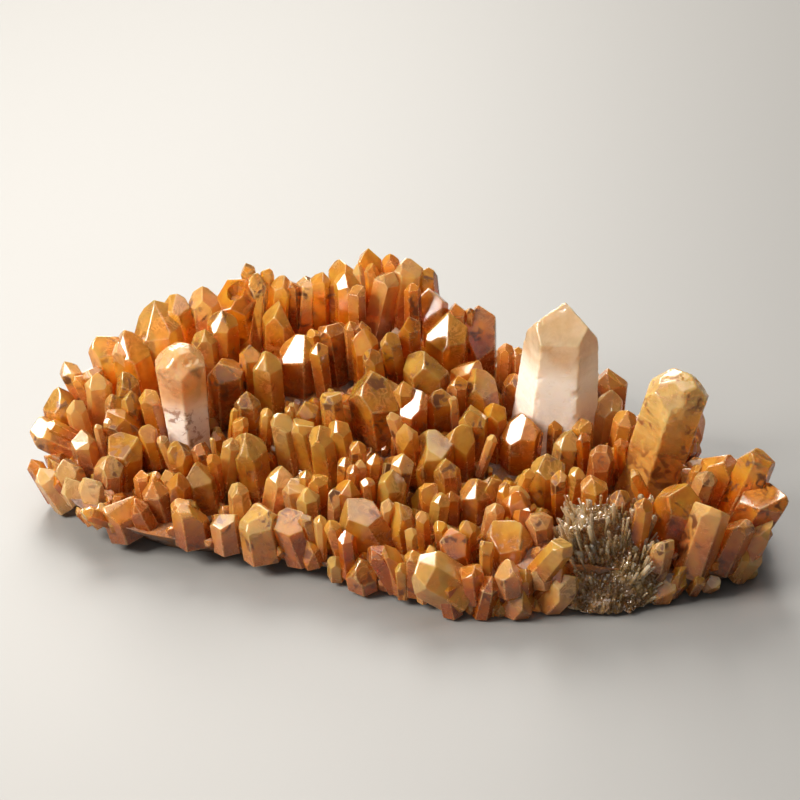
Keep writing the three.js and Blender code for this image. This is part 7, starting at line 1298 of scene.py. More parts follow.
NODE_OF = [
    0, 0, -1, 0, 0, 0, 0, 30, 30, 30, 11, 30, 50, 11, 7, 7, 7, 11, 11, 11, 7, 7, 7, 7, 7, 7, 23, 18, 18, 18,
    18, 49, 7, 40, 40, 40, 7, 18, 18, 18, 24, 49, 23, 23, 12, 24, 15, 15, 22, 15, 15, 40, 18, 1, 1, 1, 1, 1, 1, 1,
    13, 13, 13, 13, 4, 4, 4, 4, 4, 20, 20, 10, 10, 10, 1, 1, 36, 48, 48, 48, 8, 1, 4, 4, 3, 3, 3, 3, 3, 3,
    17, 3, 29, 31, 31, 14, 3, 51, 33, 19, 19, 19, 8, 19, 19, 19, 19, 33, 33, 23, 23, 51, 21, 21, 21, 21, 12, 12, 12, 32,
    12, 12, 19, 23, 21, 24, 21, 24, 24, 12, 12, 12, 14, 14, 14, 8, 8, 47, 47, 5, 5, 5, 5, 5, 5, 5, 32, 5, 5, 32,
    35, 28, 35, 35, 38, 38, 32, 12, 12, 12, 12, 12, 35, 15, 15, 22, 38, 22, 22, 22, 15, 15, 15, 15, 15, 15, -1, 27, 39, 39,
    -1, 53, 53, 45, 45, 46, 46, 6, 6, 2, 2, 2, 2, 2, 2, 6, 6, 6, 5, 45, 28, 6, 2, 6, 31, 27, 37, 34, 2, 34,
    23, 32, 29, 6, 3, 4, 19, 17, 25, 34, 52, 44, 3, 0, 3, 25, 43, 1, 16, 25, 9, 52, 3, 9, 26, 2, 11, 29, 29, 21,
    41, 41, 26, 5, 2, 1, 4, 9, 13, 52, 1, 12, 16, 53, 27, 1, 53, 46, 0, 27, 52, 34, 6, 34, 39, 1, 26, 52, 52, 8,
    3, 42, 43, 42, 26, 27, 1, 45, 34, 39, 9, 29, 8, 27, 34, 14, 16, 2, 29, 0, 52, 16, 37, 25, 13, 37, 41, 41, 16, 16,
    9, 9, 29, 51, 16, 37, 15, 27, 4, 52, 43, 27, 29, 34, 0, 39, 1, 4, 1, 35, 26, 25, 29, 16, 26, 21, 4, 16, 3, 52,
    0, 15, 28, 1, 52, 6, 12, 39, 7, 28, 10, 3, 2, 13, 9, 3, 8, 2, 8, 9, 8, 1, 3, 11, 23, 3, 0, 39, 4, 18,
    5, 19, 29, 27, 28, 32, 0, 14, 3, 27, 10, 26, 14, 12, 35, 26, 36, 11, 34, 21, 5, 9, 3, 12, 36, 51, 7, 35, 27, 19,
    27, 35, 53, 27, 48, 21, 6, 19, 32, 0, 5, 41, 34, 39, 16, 9, 23, 21, 26, 53, 21, 7, 29, 23, 49, 5, 6, 3, 31, 34,
    5, 2, 46, 1, 18, 45, 7, 12, 27, 28, 1, 39, 12, 17, 5, 39, 25, 27, 14, 48, 16, 19, 8, 4, 22, 12, 5, 3, 9, 15,
    45, 16, 28, 18, 33, 26, 23, 14, 3, 14, 35, 21, 12, 1, 2, 16, 36, 32, 5, 7, 35, 34, 24, 53, 16, 10, 51, 27, 42, 23,
    16, 21, 34, 52, 27, 34, 12, 21, 41, 22, 35, 32, 5, 4, 39, 12, 26, 4, 15, 10, 29, 25, 5, 3, 28, 1, 7, 22, 29, 12,
    27, 19, 34, 39, 33, 18, 44, 34, 19, 12, 38, 35, 8, 8, 4, 39, 51, 27, 28, 29, 53, 27, 16, 19, 5, 15, 38, 1, 8, 2,
    19, 34, 32, 27, 30, 21, 34, 38, 10, 4, 14, 27, 7, 10, 19, 32, 37, 33, 19, 35, 10, 12, 53, 30, 23, 39, 23, 53, 2, 16,
    23, 27, 12, 48, 24, 2, 39, 0, 51, 39, 8, 10, 35, 28, 3, 53, 5, 38, 26, 52, 53, 12, 5, 9, 24, 50, 27, 51, 35, 41,
    8, 21, 15, 7, 0, 20, 22, 44, 36, 5, 0, 2, 11, 22, 18, 15, 12, 6, 27, 12, 10, 8, 1, 52, 27, 5, 43, 1, 1, 6,
    20, 51, 45, 23, 44, 0, 39, 5, 6, 15, 12, 5, 30, 28, 7, 12, 27, 47, 39, 3, 12, 2, 52, 27, 31, 17, 52, 14, 6, 27,
    14, 27, 8, 51, 29, 23, 26, 24, 2, 5, 39, 18, 39, 42, 3, 29, 6, 33, 11, 49, 32, 14, 27, 9, 12, 8, 5, 7, 0, 18,
    38, 47, 48, 28, 10, 21, 12, 2, 10, 14, 19, 28, 12, 7, 11, 39, 23, 21, 52, 22, 10, 12, 12, 20, 47, 51, 48, 38, 7, 6,
    19, 19, 5, 38, 41, 18, 0, 22, 52, 52, 26, 32, 14, 35, 29, 6, 32, 27, 15, 32, 1, 8, 49, 12, 10, 2, 18, 5, 0, 10,
    28, 0, 5, 50, 7, 27, 27, 0, 11, 33, 7, 24, 27, 52, 52, 29, 7, 31, 15, 8, 52, 1, 6, 33, 2, 39, 22, 39, 28, 28,
    17, 8, 5, 49, 24, 35, 50, 50, 10, 52, 20, 15, 27, 39, 23, 24, 26, 19, 7, 15, 4, 2, 12, 46, 12, 22, 32, 7, 0, 15,
    48, 6, 6, 52, 28, 51, 11, 47, 33, 2, 19, 49, 20, 21, 5, 8, 12, 10, 26, 50, 39, 32, 3, 11, 27, 7, 32, 2, 31, 7,
    29, 32, 16, 6, 2, 31, 3, 32, 4, 31, 45, 39, 27, 22, 5, 5, 5, 45, 27, 18, 5, 49, 11, 32, 50, 6, 26, 51, 35, 51,
    31, 22, 45, 29, 19, 47, 12, 18, 29, 19, 18, 26, 0, 1, 12, 12, 53, 12, 9, 9, 37, 26, 26, 25, 27, 9, 34, 42, 12, 9,
    2, 34, 16, 26, 9, 16, 37, 27, 42, 34, 9, 9, 34, 27, 9, 34, 0, 26, 37, 34, 16, 26, 41, 27, 11, 16, 41, 27, 15, 37,
    11, 16, 9, 26, 42, 9, 37, 6, 25, 16, 26, 22, 26, 2, 9, 41, 34, 22, 42, 37, 42, 2, 34, 16, 22, 34, 52, 37, 34, 16,
    42, 26, 16, 41, 25, 42, 22, 27, 15, 27, 37, 11, 42, 27, 11, 22, 40, 37, 9, 11, 37, 25, 26, 12, 2, 22, 2, 6, 9, 42,
    6, 2, 42, 24, 11, 42, 6, 52, 41, 2, 2, 40, 15, 27, 41, 6, 16, 27, 16, 11, 2, 34, 2, 41, 2, 37, 34, 18, 34, 34,
    34, 27, 16, 7, 11, 2, 42, 25, 11, 37, 25, 42, 34, 27, 34, 6, 34, 42, 15, 37, 27, 52, 11, 37, 26, 25, 22, 2, 27, 15,
    2, 40, 15, 37, 15, 15, 9, 2, 27, 22, 42, 34, 34, 18, 2, 26, 2, 42, 2, 9, 2, 2, 25, 26, 2, 15, 52, 11, 2, 15,
    27, 25, 15, 42, 34, 6, 27, 6, 2, 18, 34, 41, 26, 2, 7, 26, 40, 42, 25, 27, 11, 7, 42, 34, 15, 2, 22, 9, 15, 22,
    16, 2, 26, 2, 18, 16, 12, 27, 34, 26, 24, 41, 12, 34, 27, 22, 11, 12,
]

# ------------------------------------------------------------------ repeatable numbers and noise
MASK = 0xFFFFFFFF


def numbers(seed):
    state = [int(seed) & MASK]

    def nxt():
        state[0] = (state[0] + 0x6D2B79F5) & MASK
        x = state[0]
        t = ((x ^ (x >> 15)) * (1 | x)) & MASK
        t = ((t + (((t ^ (t >> 7)) * (61 | t)) & MASK)) & MASK) ^ t
        return ((t ^ (t >> 14)) & MASK) / 4294967296.0

    return nxt


_RS = np.random.RandomState(20)
_LAT = _RS.rand(32, 32, 32)


def vnoise(p, scale, seed=0.0):
    """smooth value noise in -1..1 at points p, with one lattice step per 1/scale"""
    q = np.asarray(p, float) * scale + np.array([seed * 7.13, seed * 3.71, seed * 5.37])
    i = np.floor(q).astype(int)
    f = q - i
    f = f * f * f * (f * (f * 6 - 15) + 10)
    i0 = i & 31
    i1 = (i + 1) & 31
    v = 0.0
    for dx, ix in ((0, i0[:, 0]), (1, i1[:, 0])):
        for dy, iy in ((0, i0[:, 1]), (1, i1[:, 1])):
            for dz, iz in ((0, i0[:, 2]), (1, i1[:, 2])):
                w = (f[:, 0] if dx else 1 - f[:, 0]) * (f[:, 1] if dy else 1 - f[:, 1]) * (f[:, 2] if dz else 1 - f[:, 2])
                v = v + w * _LAT[ix, iy, iz]
    return v * 2 - 1


def fbm(p, scale, octaves=4, seed=0.0):
    a, t, n = 1.0, 0.0, 0.0
    for k in range(octaves):
        t = t + a * vnoise(p, scale * 2 ** k, seed + k)
        n += a
        a *= 0.5
    return t / n


# ------------------------------------------------------------------ crystals
def axes_of(a):
    a = np.array(a, float)
    a /= np.linalg.norm(a)
    h = np.array([0, 0, 1.0]) if abs(a[2]) < 0.9 else np.array([1.0, 0, 0])
    e1 = np.cross(h, a)
    e1 /= np.linalg.norm(e1)
    return np.stack([e1, np.cross(a, e1), a], 1)


def slanted(th, el):
    return (math.cos(th) * math.cos(el), math.sin(th) * math.cos(el), math.sin(el))


def crystal_planes(L, w, turn, taper, form, seed, extra):
    r = numbers(seed)
    P = []
    hs = L - 0.6 * w
    for k in range(6):
        th = math.radians(turn + 60 * k + (r() - 0.5) * 7)
        d = 0.47 * w * (0.9 + 0.2 * r())
        n = slanted(th, -math.radians(taper + (r() - 0.5) * 2))
        P.append((n, n[0] * d * math.cos(th) + n[1] * d * math.sin(th) + n[2] * hs))
    top = L + (0.28 * w if form == 1 else 0.24 * w if form == 3 else 0.0)
    for k in range(6):
        th = math.radians(turn + 60 * k + (r() - 0.5) * 6)
        n = slanted(th, math.radians(39 + (r() - 0.5) * 7))
        h = top + (r() * 0.07 * w if k % 2 == 0 else (0.05 + 0.3 * r()) * w)
        P.append((n, n[2] * h))
    if form == 1:
        th = r() * 2 * math.pi
        n = slanted(th, math.radians(90 - 6 - 14 * r()))
        P.append((n, n[2] * L - 0.02 * w))
    if form >= 2:
        m = 8 if form == 2 else 16
        a = 0.5 * w
        c = (0.52 if form == 2 else 0.56) * w
        for k in range(m):
            th = 2 * math.pi * (k + r() * 0.8) / m * (3 if form == 3 else 2)
            n = slanted(th, math.radians(24 + 56 * r()))
            P.append((n, n[2] * (L - c) + math.sqrt(a * a * (n[0] ** 2 + n[1] ** 2) + c * c * n[2] ** 2)))
    for e in extra:
        P.append(((e[0], e[1], e[2]), e[3]))
    P.append(((0, 0, -1.0), 0.0))
    return np.array([p[0] for p in P]), np.array([p[1] for p in P])


_COMBO = {}


def corners(N, D, merge):
    n = len(N)
    if n not in _COMBO:
        i, j, k = np.meshgrid(range(n), range(n), range(n), indexing="ij")
        keep = (i < j) & (j < k)
        _COMBO[n] = np.stack([i[keep], j[keep], k[keep]], 1)
    t = _COMBO[n]
    A, B, C = N[t[:, 0]], N[t[:, 1]], N[t[:, 2]]
    bc = np.cross(B, C)
    det = (A * bc).sum(1)
    ok = abs(det) > 1e-4
    t, A, B, C, bc, det = t[ok], A[ok], B[ok], C[ok], bc[ok], det[ok]
    X = (D[t[:, 0], None] * bc + D[t[:, 1], None] * np.cross(C, A) + D[t[:, 2], None] * np.cross(A, B)) / det[:, None]
    X = X[(X @ N.T - D).max(1) < 1e-5]
    out = []
    for p in X:
        if all(abs(p - q).max() > merge for q in out):
            out.append(p)
    return np.array(out)


def crystal_mesh(row, chip=True, wear=0.042, most=0.28, rings=3):
    """one closed crystal in metres, with its edges bevelled round; returns verts, faces and the edge flags that mark
    wear and the painted edge highlight
    """
    x, y, z, ax, ay, az, L, w, turn, taper, form, seed = row[:12]
    N, D = crystal_planes(L, w, turn, taper, int(form), seed, row[12] if len(row) > 12 else ())
    r = numbers(seed + 77)
    B = axes_of((ax, ay, az))
    add = []
    if chip and not (len(row) > 12 and len(row[12])):
        for k in range(int(r() * 3.6)):
            n = np.array(slanted(r() * 6.283, math.radians(20 + 45 * r())))
            hi = np.array([0, 0, L]) @ n
            sup = min(hi, 0.47 * w * math.hypot(n[0], n[1]) + n[2] * (L - 0.5 * w))
            add.append((n, sup - (0.01 + 0.05 * r()) * w))
    N = np.vstack([N, -B[2:3, :]] + [a[0][None] for a in add])
    D = np.r_[D, z - FLOOR, [a[1] for a in add]]
    P = corners(N, D, max(0.045 * w, 0.05))
    if len(P) < 5:
        return None
    bm = bmesh.new()
    for p in P:
        bm.verts.new(p)
    res = bmesh.ops.convex_hull(bm, input=bm.verts[:])
    loose = [v for v in bm.verts if not v.link_faces]
    bmesh.ops.delete(bm, geom=loose, context="VERTS")
    bmesh.ops.dissolve_limit(bm, angle_limit=math.radians(3.0), verts=bm.verts[:], edges=bm.edges[:])
    bmesh.ops.recalc_face_normals(bm, faces=bm.faces[:])
    off = min(max(wear * w, 0.035), most)
    out = bmesh.ops.bevel(bm, geom=bm.edges[:], offset=off, segments=1 if w < 2.6 else rings, profile=0.6, affect="EDGES", clamp_overlap=True)
    bm.faces.index_update()
    edge_wear_and_sheen = set(f for f in out["faces"])
    bm.verts.index_update()
    V = np.array([v.co[:] for v in bm.verts])
    F = [[v.index for v in f.verts] for f in bm.faces]
    E = np.array([1.0 if f in edge_wear_and_sheen else 0.0 for f in bm.faces])
    bm.free()
    V = (np.array([x, y, z]) + V @ B.T) * MM
    return V, F, E


def new_mesh(name, V, F):
    me = bpy.data.meshes.new(name)
    me.from_pydata([tuple(v) for v in V], [], F)
    me.validate()
    me.update()
    return me


def link(name, me):
    ob = bpy.data.objects.new(name, me)
    bpy.context.scene.collection.objects.link(ob)
    return ob


def face_attr(me, name, values):
    a = me.attributes.get(name) or me.attributes.new(name, "FLOAT", "FACE")
    a.data.foreach_set("value", np.asarray(values, np.float32))


def union_of(name, parts):
    """parts are (verts, faces, edge flags, crystal number); joined in one solid"""
    obs = []
    for k, (V, F, E, cid) in enumerate(parts):
        me = new_mesh(f"tmp_{k}", V, F)
        if len(me.polygons) != len(E):
            E = np.zeros(len(me.polygons))
        face_attr(me, "cid", [cid] * len(me.polygons))
        face_attr(me, "edge_wear_and_sheen", E)
        obs.append(link(f"tmp_{k}", me))
    if len(obs) > 1:
        col = bpy.data.collections.new("tmp")
        bpy.context.scene.collection.children.link(col)
        for o in obs[1:]:
            col.objects.link(o)
        m = obs[0].modifiers.new("join", "BOOLEAN")
        m.operation = "UNION"
        m.solver = "MANIFOLD"
        m.operand_type = "COLLECTION"
        m.collection = col
        dg = bpy.context.evaluated_depsgraph_get()
        me = bpy.data.meshes.new_from_object(obs[0].evaluated_get(dg))
        bpy.data.collections.remove(col)
    else:
        me = obs[0].data.copy()
    for o in obs:
        d = o.data
        bpy.data.objects.remove(o)
        bpy.data.meshes.remove(d)
    me.name = name
    return me


def hollowed(me, row, cid):
    """sinks a rusty hollow into the broken end of one crystal"""
    x, y, z, ax, ay, az, L, w = row[:8]
    B = axes_of((ax, ay, az))
    r = numbers(row[11] + 501)
    ring = [0.8 + 0.4 * r() for k in range(11)]
    V = []
    for s, q in ((1.6, 0.36), (-0.5, 0.33), (-2.4, 0.26), (-4.2, 0.13)):
        for k in range(11):
            g = k / 11 * 2 * math.pi
            c = q * (0.55 + 0.45 * ring[k]) * w
            V.append((c * math.cos(g), c * math.sin(g), L + s))
    F = [list(range(11)), list(range(43, 32, -1))]
    for j in range(3):
        for k in range(11):
            n = (k + 1) % 11
            F.append([j * 11 + k, j * 11 + 11 + k, j * 11 + 11 + n, j * 11 + n])
    V = (np.array([x, y, z]) + np.array(V) @ B.T) * MM
    cut = new_mesh("tmp_cut", V, F)
    face_attr(cut, "cid", [cid] * len(cut.polygons))
    face_attr(cut, "edge_wear_and_sheen", [0.0] * len(cut.polygons))
    a, c = link("tmp_a", me), link("tmp_c", cut)
    m = a.modifiers.new("cut", "BOOLEAN")
    m.operation = "DIFFERENCE"
    m.solver = "MANIFOLD"
    m.object = c
    dg = bpy.context.evaluated_depsgraph_get()
    out = bpy.data.meshes.new_from_object(a.evaluated_get(dg))
    name = me.name
    for o in (a, c):
        d = o.data
        bpy.data.objects.remove(o)
        bpy.data.meshes.remove(d)
    out.name = name
    return out


# looks of a crystal by its kind: hue 0 pale honey .. 1 deep orange, dark iron stain, milky share, share of painted pale
# sheen on the top facets
KIND = {
    "A": (0.50, 0.16, 0.00, 0.45),
    "G": (0.28, 0.08, 0.02, 0.45),
    "O": (0.80, 0.18, 0.00, 0.20),
    # D: deeper, darker brown-amber, partly a thicker stained body and partly painted shade for crystals that sit in
    # shadow
    "D": (0.72, 0.50, 0.02, 0.35),
    "P": (0.35, 0.10, 0.12, 0.95),
    "Y": (0.12, 0.06, 0.08, 0.55),
    "M": (0.20, 0.02, 0.85, 0.60),
    "W": (0.06, 0.06, 0.22, 0.60),
    "N": (0.30, 0.04, 0.05, 0.10),
    "K": (0.50, 0.20, 0.00, 0.05),
    "H": (0.58, 0.04, 0.85, 0.50),
    "C": (0.85, 0.95, 0.00, 0.00),
}


def crystal_attributes(me, rows, kinds):
    """stores, per corner, height in the crystal and distance to its tip, and, per crystal, its looks"""
    npoly = len(me.polygons)
    cid = np.zeros(npoly, np.float32)
    me.attributes["cid"].data.foreach_get("value", cid)
    cid = np.rint(cid).astype(int)
    nrm = np.zeros(npoly * 3, np.float32)
    me.polygons.foreach_get("normal", nrm)
    nrm = nrm.reshape(-1, 3)
    tot = np.zeros(npoly, int)
    me.polygons.foreach_get("loop_total", tot)
    lv = np.zeros(len(me.loops), int)
    me.loops.foreach_get("vertex_index", lv)
    co = np.zeros(len(me.vertices) * 3, np.float32)
    me.vertices.foreach_get("co", co)
    co = co.reshape(-1, 3)[lv] / MM
    lc = np.repeat(cid, tot)
    R = np.array([r[:12] for r in rows], float)
    A = R[lc, 3:6]
    A = A / np.linalg.norm(A, axis=1)[:, None]
    h = ((co - R[lc, :3]) * A).sum(1)
    Lc = R[lc, 6]
    Af = R[cid, 3:6]
    side = 1 - np.clip((abs((nrm * Af).sum(1)) - 0.25) / 0.2, 0, 1)
    rnd = np.array([numbers(r[11] + 13)() for r in rows])
    K = np.array([KIND[k] for k in kinds])
    qa = np.stack([np.clip(h / Lc, 0, 1), np.clip((Lc - h) / 40.0, 0, 1), np.repeat(side, tot), rnd[lc]], 1)
    qb = np.stack([K[lc, 0], K[lc, 1], K[lc, 2], K[lc, 3]], 1)
    for name, v in (("qa", qa), ("qb", qb)):
        a = me.attributes.new(name, "FLOAT_COLOR", "CORNER")
        a.data.foreach_set("color", v.astype(np.float32).ravel())


# ------------------------------------------------------------------ node helpers
class Tree:
    def __init__(self, name):
        self.mat = bpy.data.materials.new(name)
        self.mat.use_nodes = True
        self.t = self.mat.node_tree
        self.t.nodes.clear()
        self.out = self.t.nodes.new("ShaderNodeOutputMaterial")
        self.bsdf = self.t.nodes.new("ShaderNodeBsdfPrincipled")
        self.t.links.new(self.bsdf.outputs[0], self.out.inputs["Surface"])

    def link(self, a, b):
        self.t.links.new(a, b)

    def put(self, node, name, v):
        s = node.inputs[name]
        if hasattr(v, "is_output"):
            self.link(v, s)
        else:
            s.default_value = v

    def attr(self, name):
        n = self.t.nodes.new("ShaderNodeAttribute")
        n.attribute_name = name
        s = self.t.nodes.new("ShaderNodeSeparateColor")
        self.link(n.outputs["Color"], s.inputs[0])
        return s.outputs[0], s.outputs[1], s.outputs[2], n.outputs["Alpha"]

    def face(self, name):
        n = self.t.nodes.new("ShaderNodeAttribute")
        n.attribute_name = name
        return n.outputs["Fac"]

    def coord(self):
        n = self.t.nodes.new("ShaderNodeTexCoord")
        m = self.t.nodes.new("ShaderNodeMapping")
        m.inputs["Scale"].default_value = (1000, 1000, 1000)
        self.link(n.outputs["Object"], m.inputs["Vector"])
        return m.outputs[0]

    def noise(self, vec, scale, detail=4.0, rough=0.55, dist=0.0):
        n = self.t.nodes.new("ShaderNodeTexNoise")
        self.link(vec, n.inputs["Vector"])
        n.inputs["Scale"].default_value = scale
        n.inputs["Detail"].default_value = detail
        n.inputs["Roughness"].default_value = rough
        n.inputs["Distortion"].default_value = dist
        return n.outputs["Fac"]

    def voronoi(self, vec, scale, feature="F1", out="Distance"):
        n = self.t.nodes.new("ShaderNodeTexVoronoi")
        n.feature = feature
        self.link(vec, n.inputs["Vector"])
        n.inputs["Scale"].default_value = scale
        return n.outputs[out]

    def m(self, op, a, b=0.0, c=0.0, clamp=False):
        n = self.t.nodes.new("ShaderNodeMath")
        n.operation = op
        n.use_clamp = clamp
        for k, v in enumerate((a, b, c)):
            if hasattr(v, "is_output"):
                self.link(v, n.inputs[k])
            else:
                n.inputs[k].default_value = v
        return n.outputs[0]

    def ramp(self, v, lo, hi, a=0.0, b=1.0):
        n = self.t.nodes.new("ShaderNodeMapRange")
        n.interpolation_type = "SMOOTHSTEP"
        self.link(v, n.inputs[0])
        n.inputs[1].default_value = lo
        n.inputs[2].default_value = hi
        n.inputs[3].default_value = a
        n.inputs[4].default_value = b
        return n.outputs[0]

    def colors(self, v, stops):
        n = self.t.nodes.new("ShaderNodeValToRGB")
        e = n.color_ramp.elements
        while len(e) < len(stops):
            e.new(0.5)
        for k, (p, c) in enumerate(stops):
            e[k].position = p
            e[k].color = (*c, 1)
        self.link(v, n.inputs[0])
        return n.outputs[0]

    def mix(self, f, a, b, blend="MIX"):
        n = self.t.nodes.new("ShaderNodeMix")
        n.data_type = "RGBA"
        n.blend_type = blend
        n.clamp_factor = True
        for k, v in ((0, f), (6, a), (7, b)):
            if hasattr(v, "is_output"):
                self.link(v, n.inputs[k])
            else:
                n.inputs[k].default_value = v if k == 0 else (*v, 1)
        return n.outputs[2]

    def bump(self, h, strength, dist):
        n = self.t.nodes.new("ShaderNodeBump")
        n.inputs["Strength"].default_value = strength
        n.inputs["Distance"].default_value = dist
        self.link(h, n.inputs["Height"])
        return n.outputs[0]

    def absorb(self, color, density):
        n = self.t.nodes.new("ShaderNodeVolumeAbsorption")
        n.inputs["Color"].default_value = (*color, 1)
        n.inputs["Density"].default_value = density
        self.link(n.outputs[0], self.out.inputs["Volume"])


HONEY = (0.98, 0.46, 0.032)
PALE = (0.99, 0.58, 0.10)
ORANGE = (0.95, 0.30, 0.012)
RUST = (0.68, 0.15, 0.004)
BROWN = (0.078, 0.0130, 0.0008)
# pale peach that paints the sheen of the light above onto the top facets
TIP_SHEEN_PEACH = (0.98, 0.62, 0.22)
MILK = (0.93, 0.86, 0.79)


def quartz(name, trans=0.7, stain=1.0, sss=0.0, absorb=((0.96, 0.64, 0.24), 70.0), milk_low=0.0, honey_top=0.0, specks=0.0, uneven=1.0, shades=None, iron=BROWN, veils=1.0):
    T = Tree(name)
    hn, td, side, rnd = T.attr("qa")
    hue, dark, milk, pale = T.attr("qb")
    edge_wear_and_sheen = T.face("edge_wear_and_sheen")
    co = T.coord()
    n1 = T.noise(co, 0.22, 3.0, 0.55, 0.15)
    n2 = T.noise(co, 1.1, 6.0, 0.62, 0.4)
    n3 = T.noise(co, 2.6, 4.0, 0.6)
    n4 = T.noise(co, 0.42, 7.0, 0.70, 0.6)
    n5 = T.noise(co, 0.11, 2.0, 0.5)
    # body colour
    h = T.m("ADD", hue, T.m("MULTIPLY_ADD", n1, 1.3 * uneven, -0.65 * uneven))
    h = T.m("ADD", h, T.m("MULTIPLY_ADD", rnd, 0.36, -0.18))
    h = T.m("ADD", h, T.ramp(hn, 0.95, 0.30, -0.22, 0.42), clamp=True)
    body = T.colors(h, shades or ((0.0, PALE), (0.33, HONEY), (0.68, ORANGE), (1.0, RUST)))
    # painted sheen: the top facets are mixed towards pale peach, a painted reflection of the light above and behind
    tip = T.ramp(td, 0.20, 0.03)
    pf = T.m("MULTIPLY", T.m("MULTIPLY", tip, pale), T.ramp(n1, 0.25, 0.7))
    body = T.mix(T.m("MULTIPLY", pf, 0.85), body, TIP_SHEEN_PEACH)
    # milky share
    mf = milk
    if milk_low:
        mf = T.m("MULTIPLY", T.ramp(td, honey_top * 0.6, honey_top * 1.25), milk_low)
        mf = T.m("MULTIPLY", mf, T.ramp(n2, 0.15, 0.5, 0.75, 1.0))
    body = T.mix(T.m("MULTIPLY", mf, 0.92), body, MILK)
    # veils and healed cracks inside
    n6 = T.noise(co, 0.33, 5.0, 0.6, 1.4)
    veil = T.m("MULTIPLY", T.ramp(T.m("ABSOLUTE", T.m("SUBTRACT", n6, 0.5)), 0.06, 0.0), T.ramp(n1, 0.45, 0.62))
    body = T.mix(T.m("MULTIPLY", veil, 0.16 * veils), body, (0.97, 0.72, 0.40))
    # iron stain, stronger at the root and in patches; the dark share of kind D is partly painted shade
    root = T.ramp(hn, 0.55, 0.05)
    sf = T.m("ADD", T.m("MULTIPLY", dark, 0.75), T.m("MULTIPLY", root, 0.62))
    sf = T.m("MULTIPLY", sf, T.ramp(n2, 0.32, 0.60))
    spots = T.m("MULTIPLY", T.ramp(n4, 0.535, 0.565), T.m("MULTIPLY", T.ramp(n5, 0.45, 0.51), T.ramp(rnd, 0.25, 0.4)))
    sf = T.m("MAXIMUM", sf, T.m("MULTIPLY", spots, 0.95))
    if specks:
        sp = T.m("MULTIPLY", T.ramp(n4, 0.49, 0.53), T.ramp(td, 0.26, 0.44))
        sf = T.m("MAXIMUM", sf, T.m("MULTIPLY", sp, specks))
    sf = T.m("MULTIPLY", sf, stain, clamp=True)
    body = T.mix(sf, body, iron)
    # edges: the bevelled edge faces are mixed towards a lighter honey, partly frosted wear and partly a painted edge
    # highlight
    body = T.mix(T.m("MULTIPLY", edge_wear_and_sheen, T.ramp(n1, 0.35, 0.7, 0.05, 0.28)), body, (0.96, 0.64, 0.24))
    T.put(T.bsdf, "Base Color", body)
    rough = T.m("ADD", T.ramp(n2, 0.35, 0.75, 0.03, 0.12), T.m("MULTIPLY", sf, 0.35))
    rough = T.m("ADD", rough, T.m("MULTIPLY", edge_wear_and_sheen, 0.12), clamp=True)
    T.put(T.bsdf, "Roughness", rough)
    tr = T.m("MULTIPLY", T.m("SUBTRACT", 1.0, T.m("MULTIPLY", mf, 0.78)), T.m("SUBTRACT", 1.0, T.m("MULTIPLY", sf, 0.85)))
    tr = T.m("MULTIPLY", tr, T.m("MULTIPLY", T.ramp(n1, 0.3, 0.7, trans * 0.8, trans), T.m("MULTIPLY_ADD", veil, -0.22 * veils, 1.0)))
    T.put(T.bsdf, "Transmission Weight", tr)
    T.bsdf.inputs["IOR"].default_value = 1.544
    T.bsdf.inputs["Coat Weight"].default_value = 0.2
    T.bsdf.inputs["Coat Roughness"].default_value = 0.04
    T.bsdf.inputs["Coat IOR"].default_value = 1.544
    if sss:
        T.put(T.bsdf, "Subsurface Weight", T.m("MULTIPLY", T.m("SUBTRACT", 1.0, sf, clamp=True), sss))
        T.bsdf.inputs["Subsurface Radius"].default_value = (1.0, 0.85, 0.65)
        T.bsdf.inputs["Subsurface Scale"].default_value = 0.0012
    # growth lines across the prism faces, with a fine uneven skin
    line = T.m("SINE", T.m("ADD", T.m("MULTIPLY", td, 520.0), T.m("MULTIPLY", n2, 9.0)))
    line = T.m("MULTIPLY", T.m("MULTIPLY", line, T.m("SUBTRACT", side, edge_wear_and_sheen, clamp=True)), T.ramp(n1, 0.4, 0.65))
    hgt = T.m("ADD", T.m("MULTIPLY", line, 0.35), T.m("MULTIPLY", n3, 0.9))
    T.put(T.bsdf, "Normal", T.bump(hgt, 0.35, 0.00006))
    T.absorb(*absorb)
    return T.mat


def finish_piece(name, me, mat, node):
    me.materials.clear()
    me.materials.append(mat)
    ob = link(name, me)
    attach(ob, "root")
    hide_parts(node)
    return ob


def remeshed(name, V, F, voxel):
    ob = link("tmp_voxel", new_mesh("tmp_voxel", V, F))
    m = ob.modifiers.new("v", "REMESH")
    m.mode = "VOXEL"
    m.voxel_size = voxel * MM
    m.use_smooth_shade = True
    dg = bpy.context.evaluated_depsgraph_get()
    me = bpy.data.meshes.new_from_object(ob.evaluated_get(dg))
    d = ob.data
    bpy.data.objects.remove(ob)
    bpy.data.meshes.remove(d)
    me.name = name
    return me


def coords(me):
    co = np.zeros(len(me.vertices) * 3, np.float32)
    me.vertices.foreach_get("co", co)
    nr = np.zeros(len(me.vertices) * 3, np.float32)
    me.vertices.foreach_get("normal", nr)
    return co.reshape(-1, 3).astype(float) / MM, nr.reshape(-1, 3).astype(float)


def put_coords(me, P):
    me.vertices.foreach_set("co", (P * MM).astype(np.float32).ravel())
    me.update()


def per_face(me, v):
    """means of a per-vertex value over each face"""
    tot = np.zeros(len(me.polygons), int)
    me.polygons.foreach_get("loop_total", tot)
    lv = np.zeros(len(me.loops), int)
    me.loops.foreach_get("vertex_index", lv)
    f = np.repeat(np.arange(len(tot)), tot)
    return np.bincount(f, weights=v[lv], minlength=len(tot)) / tot


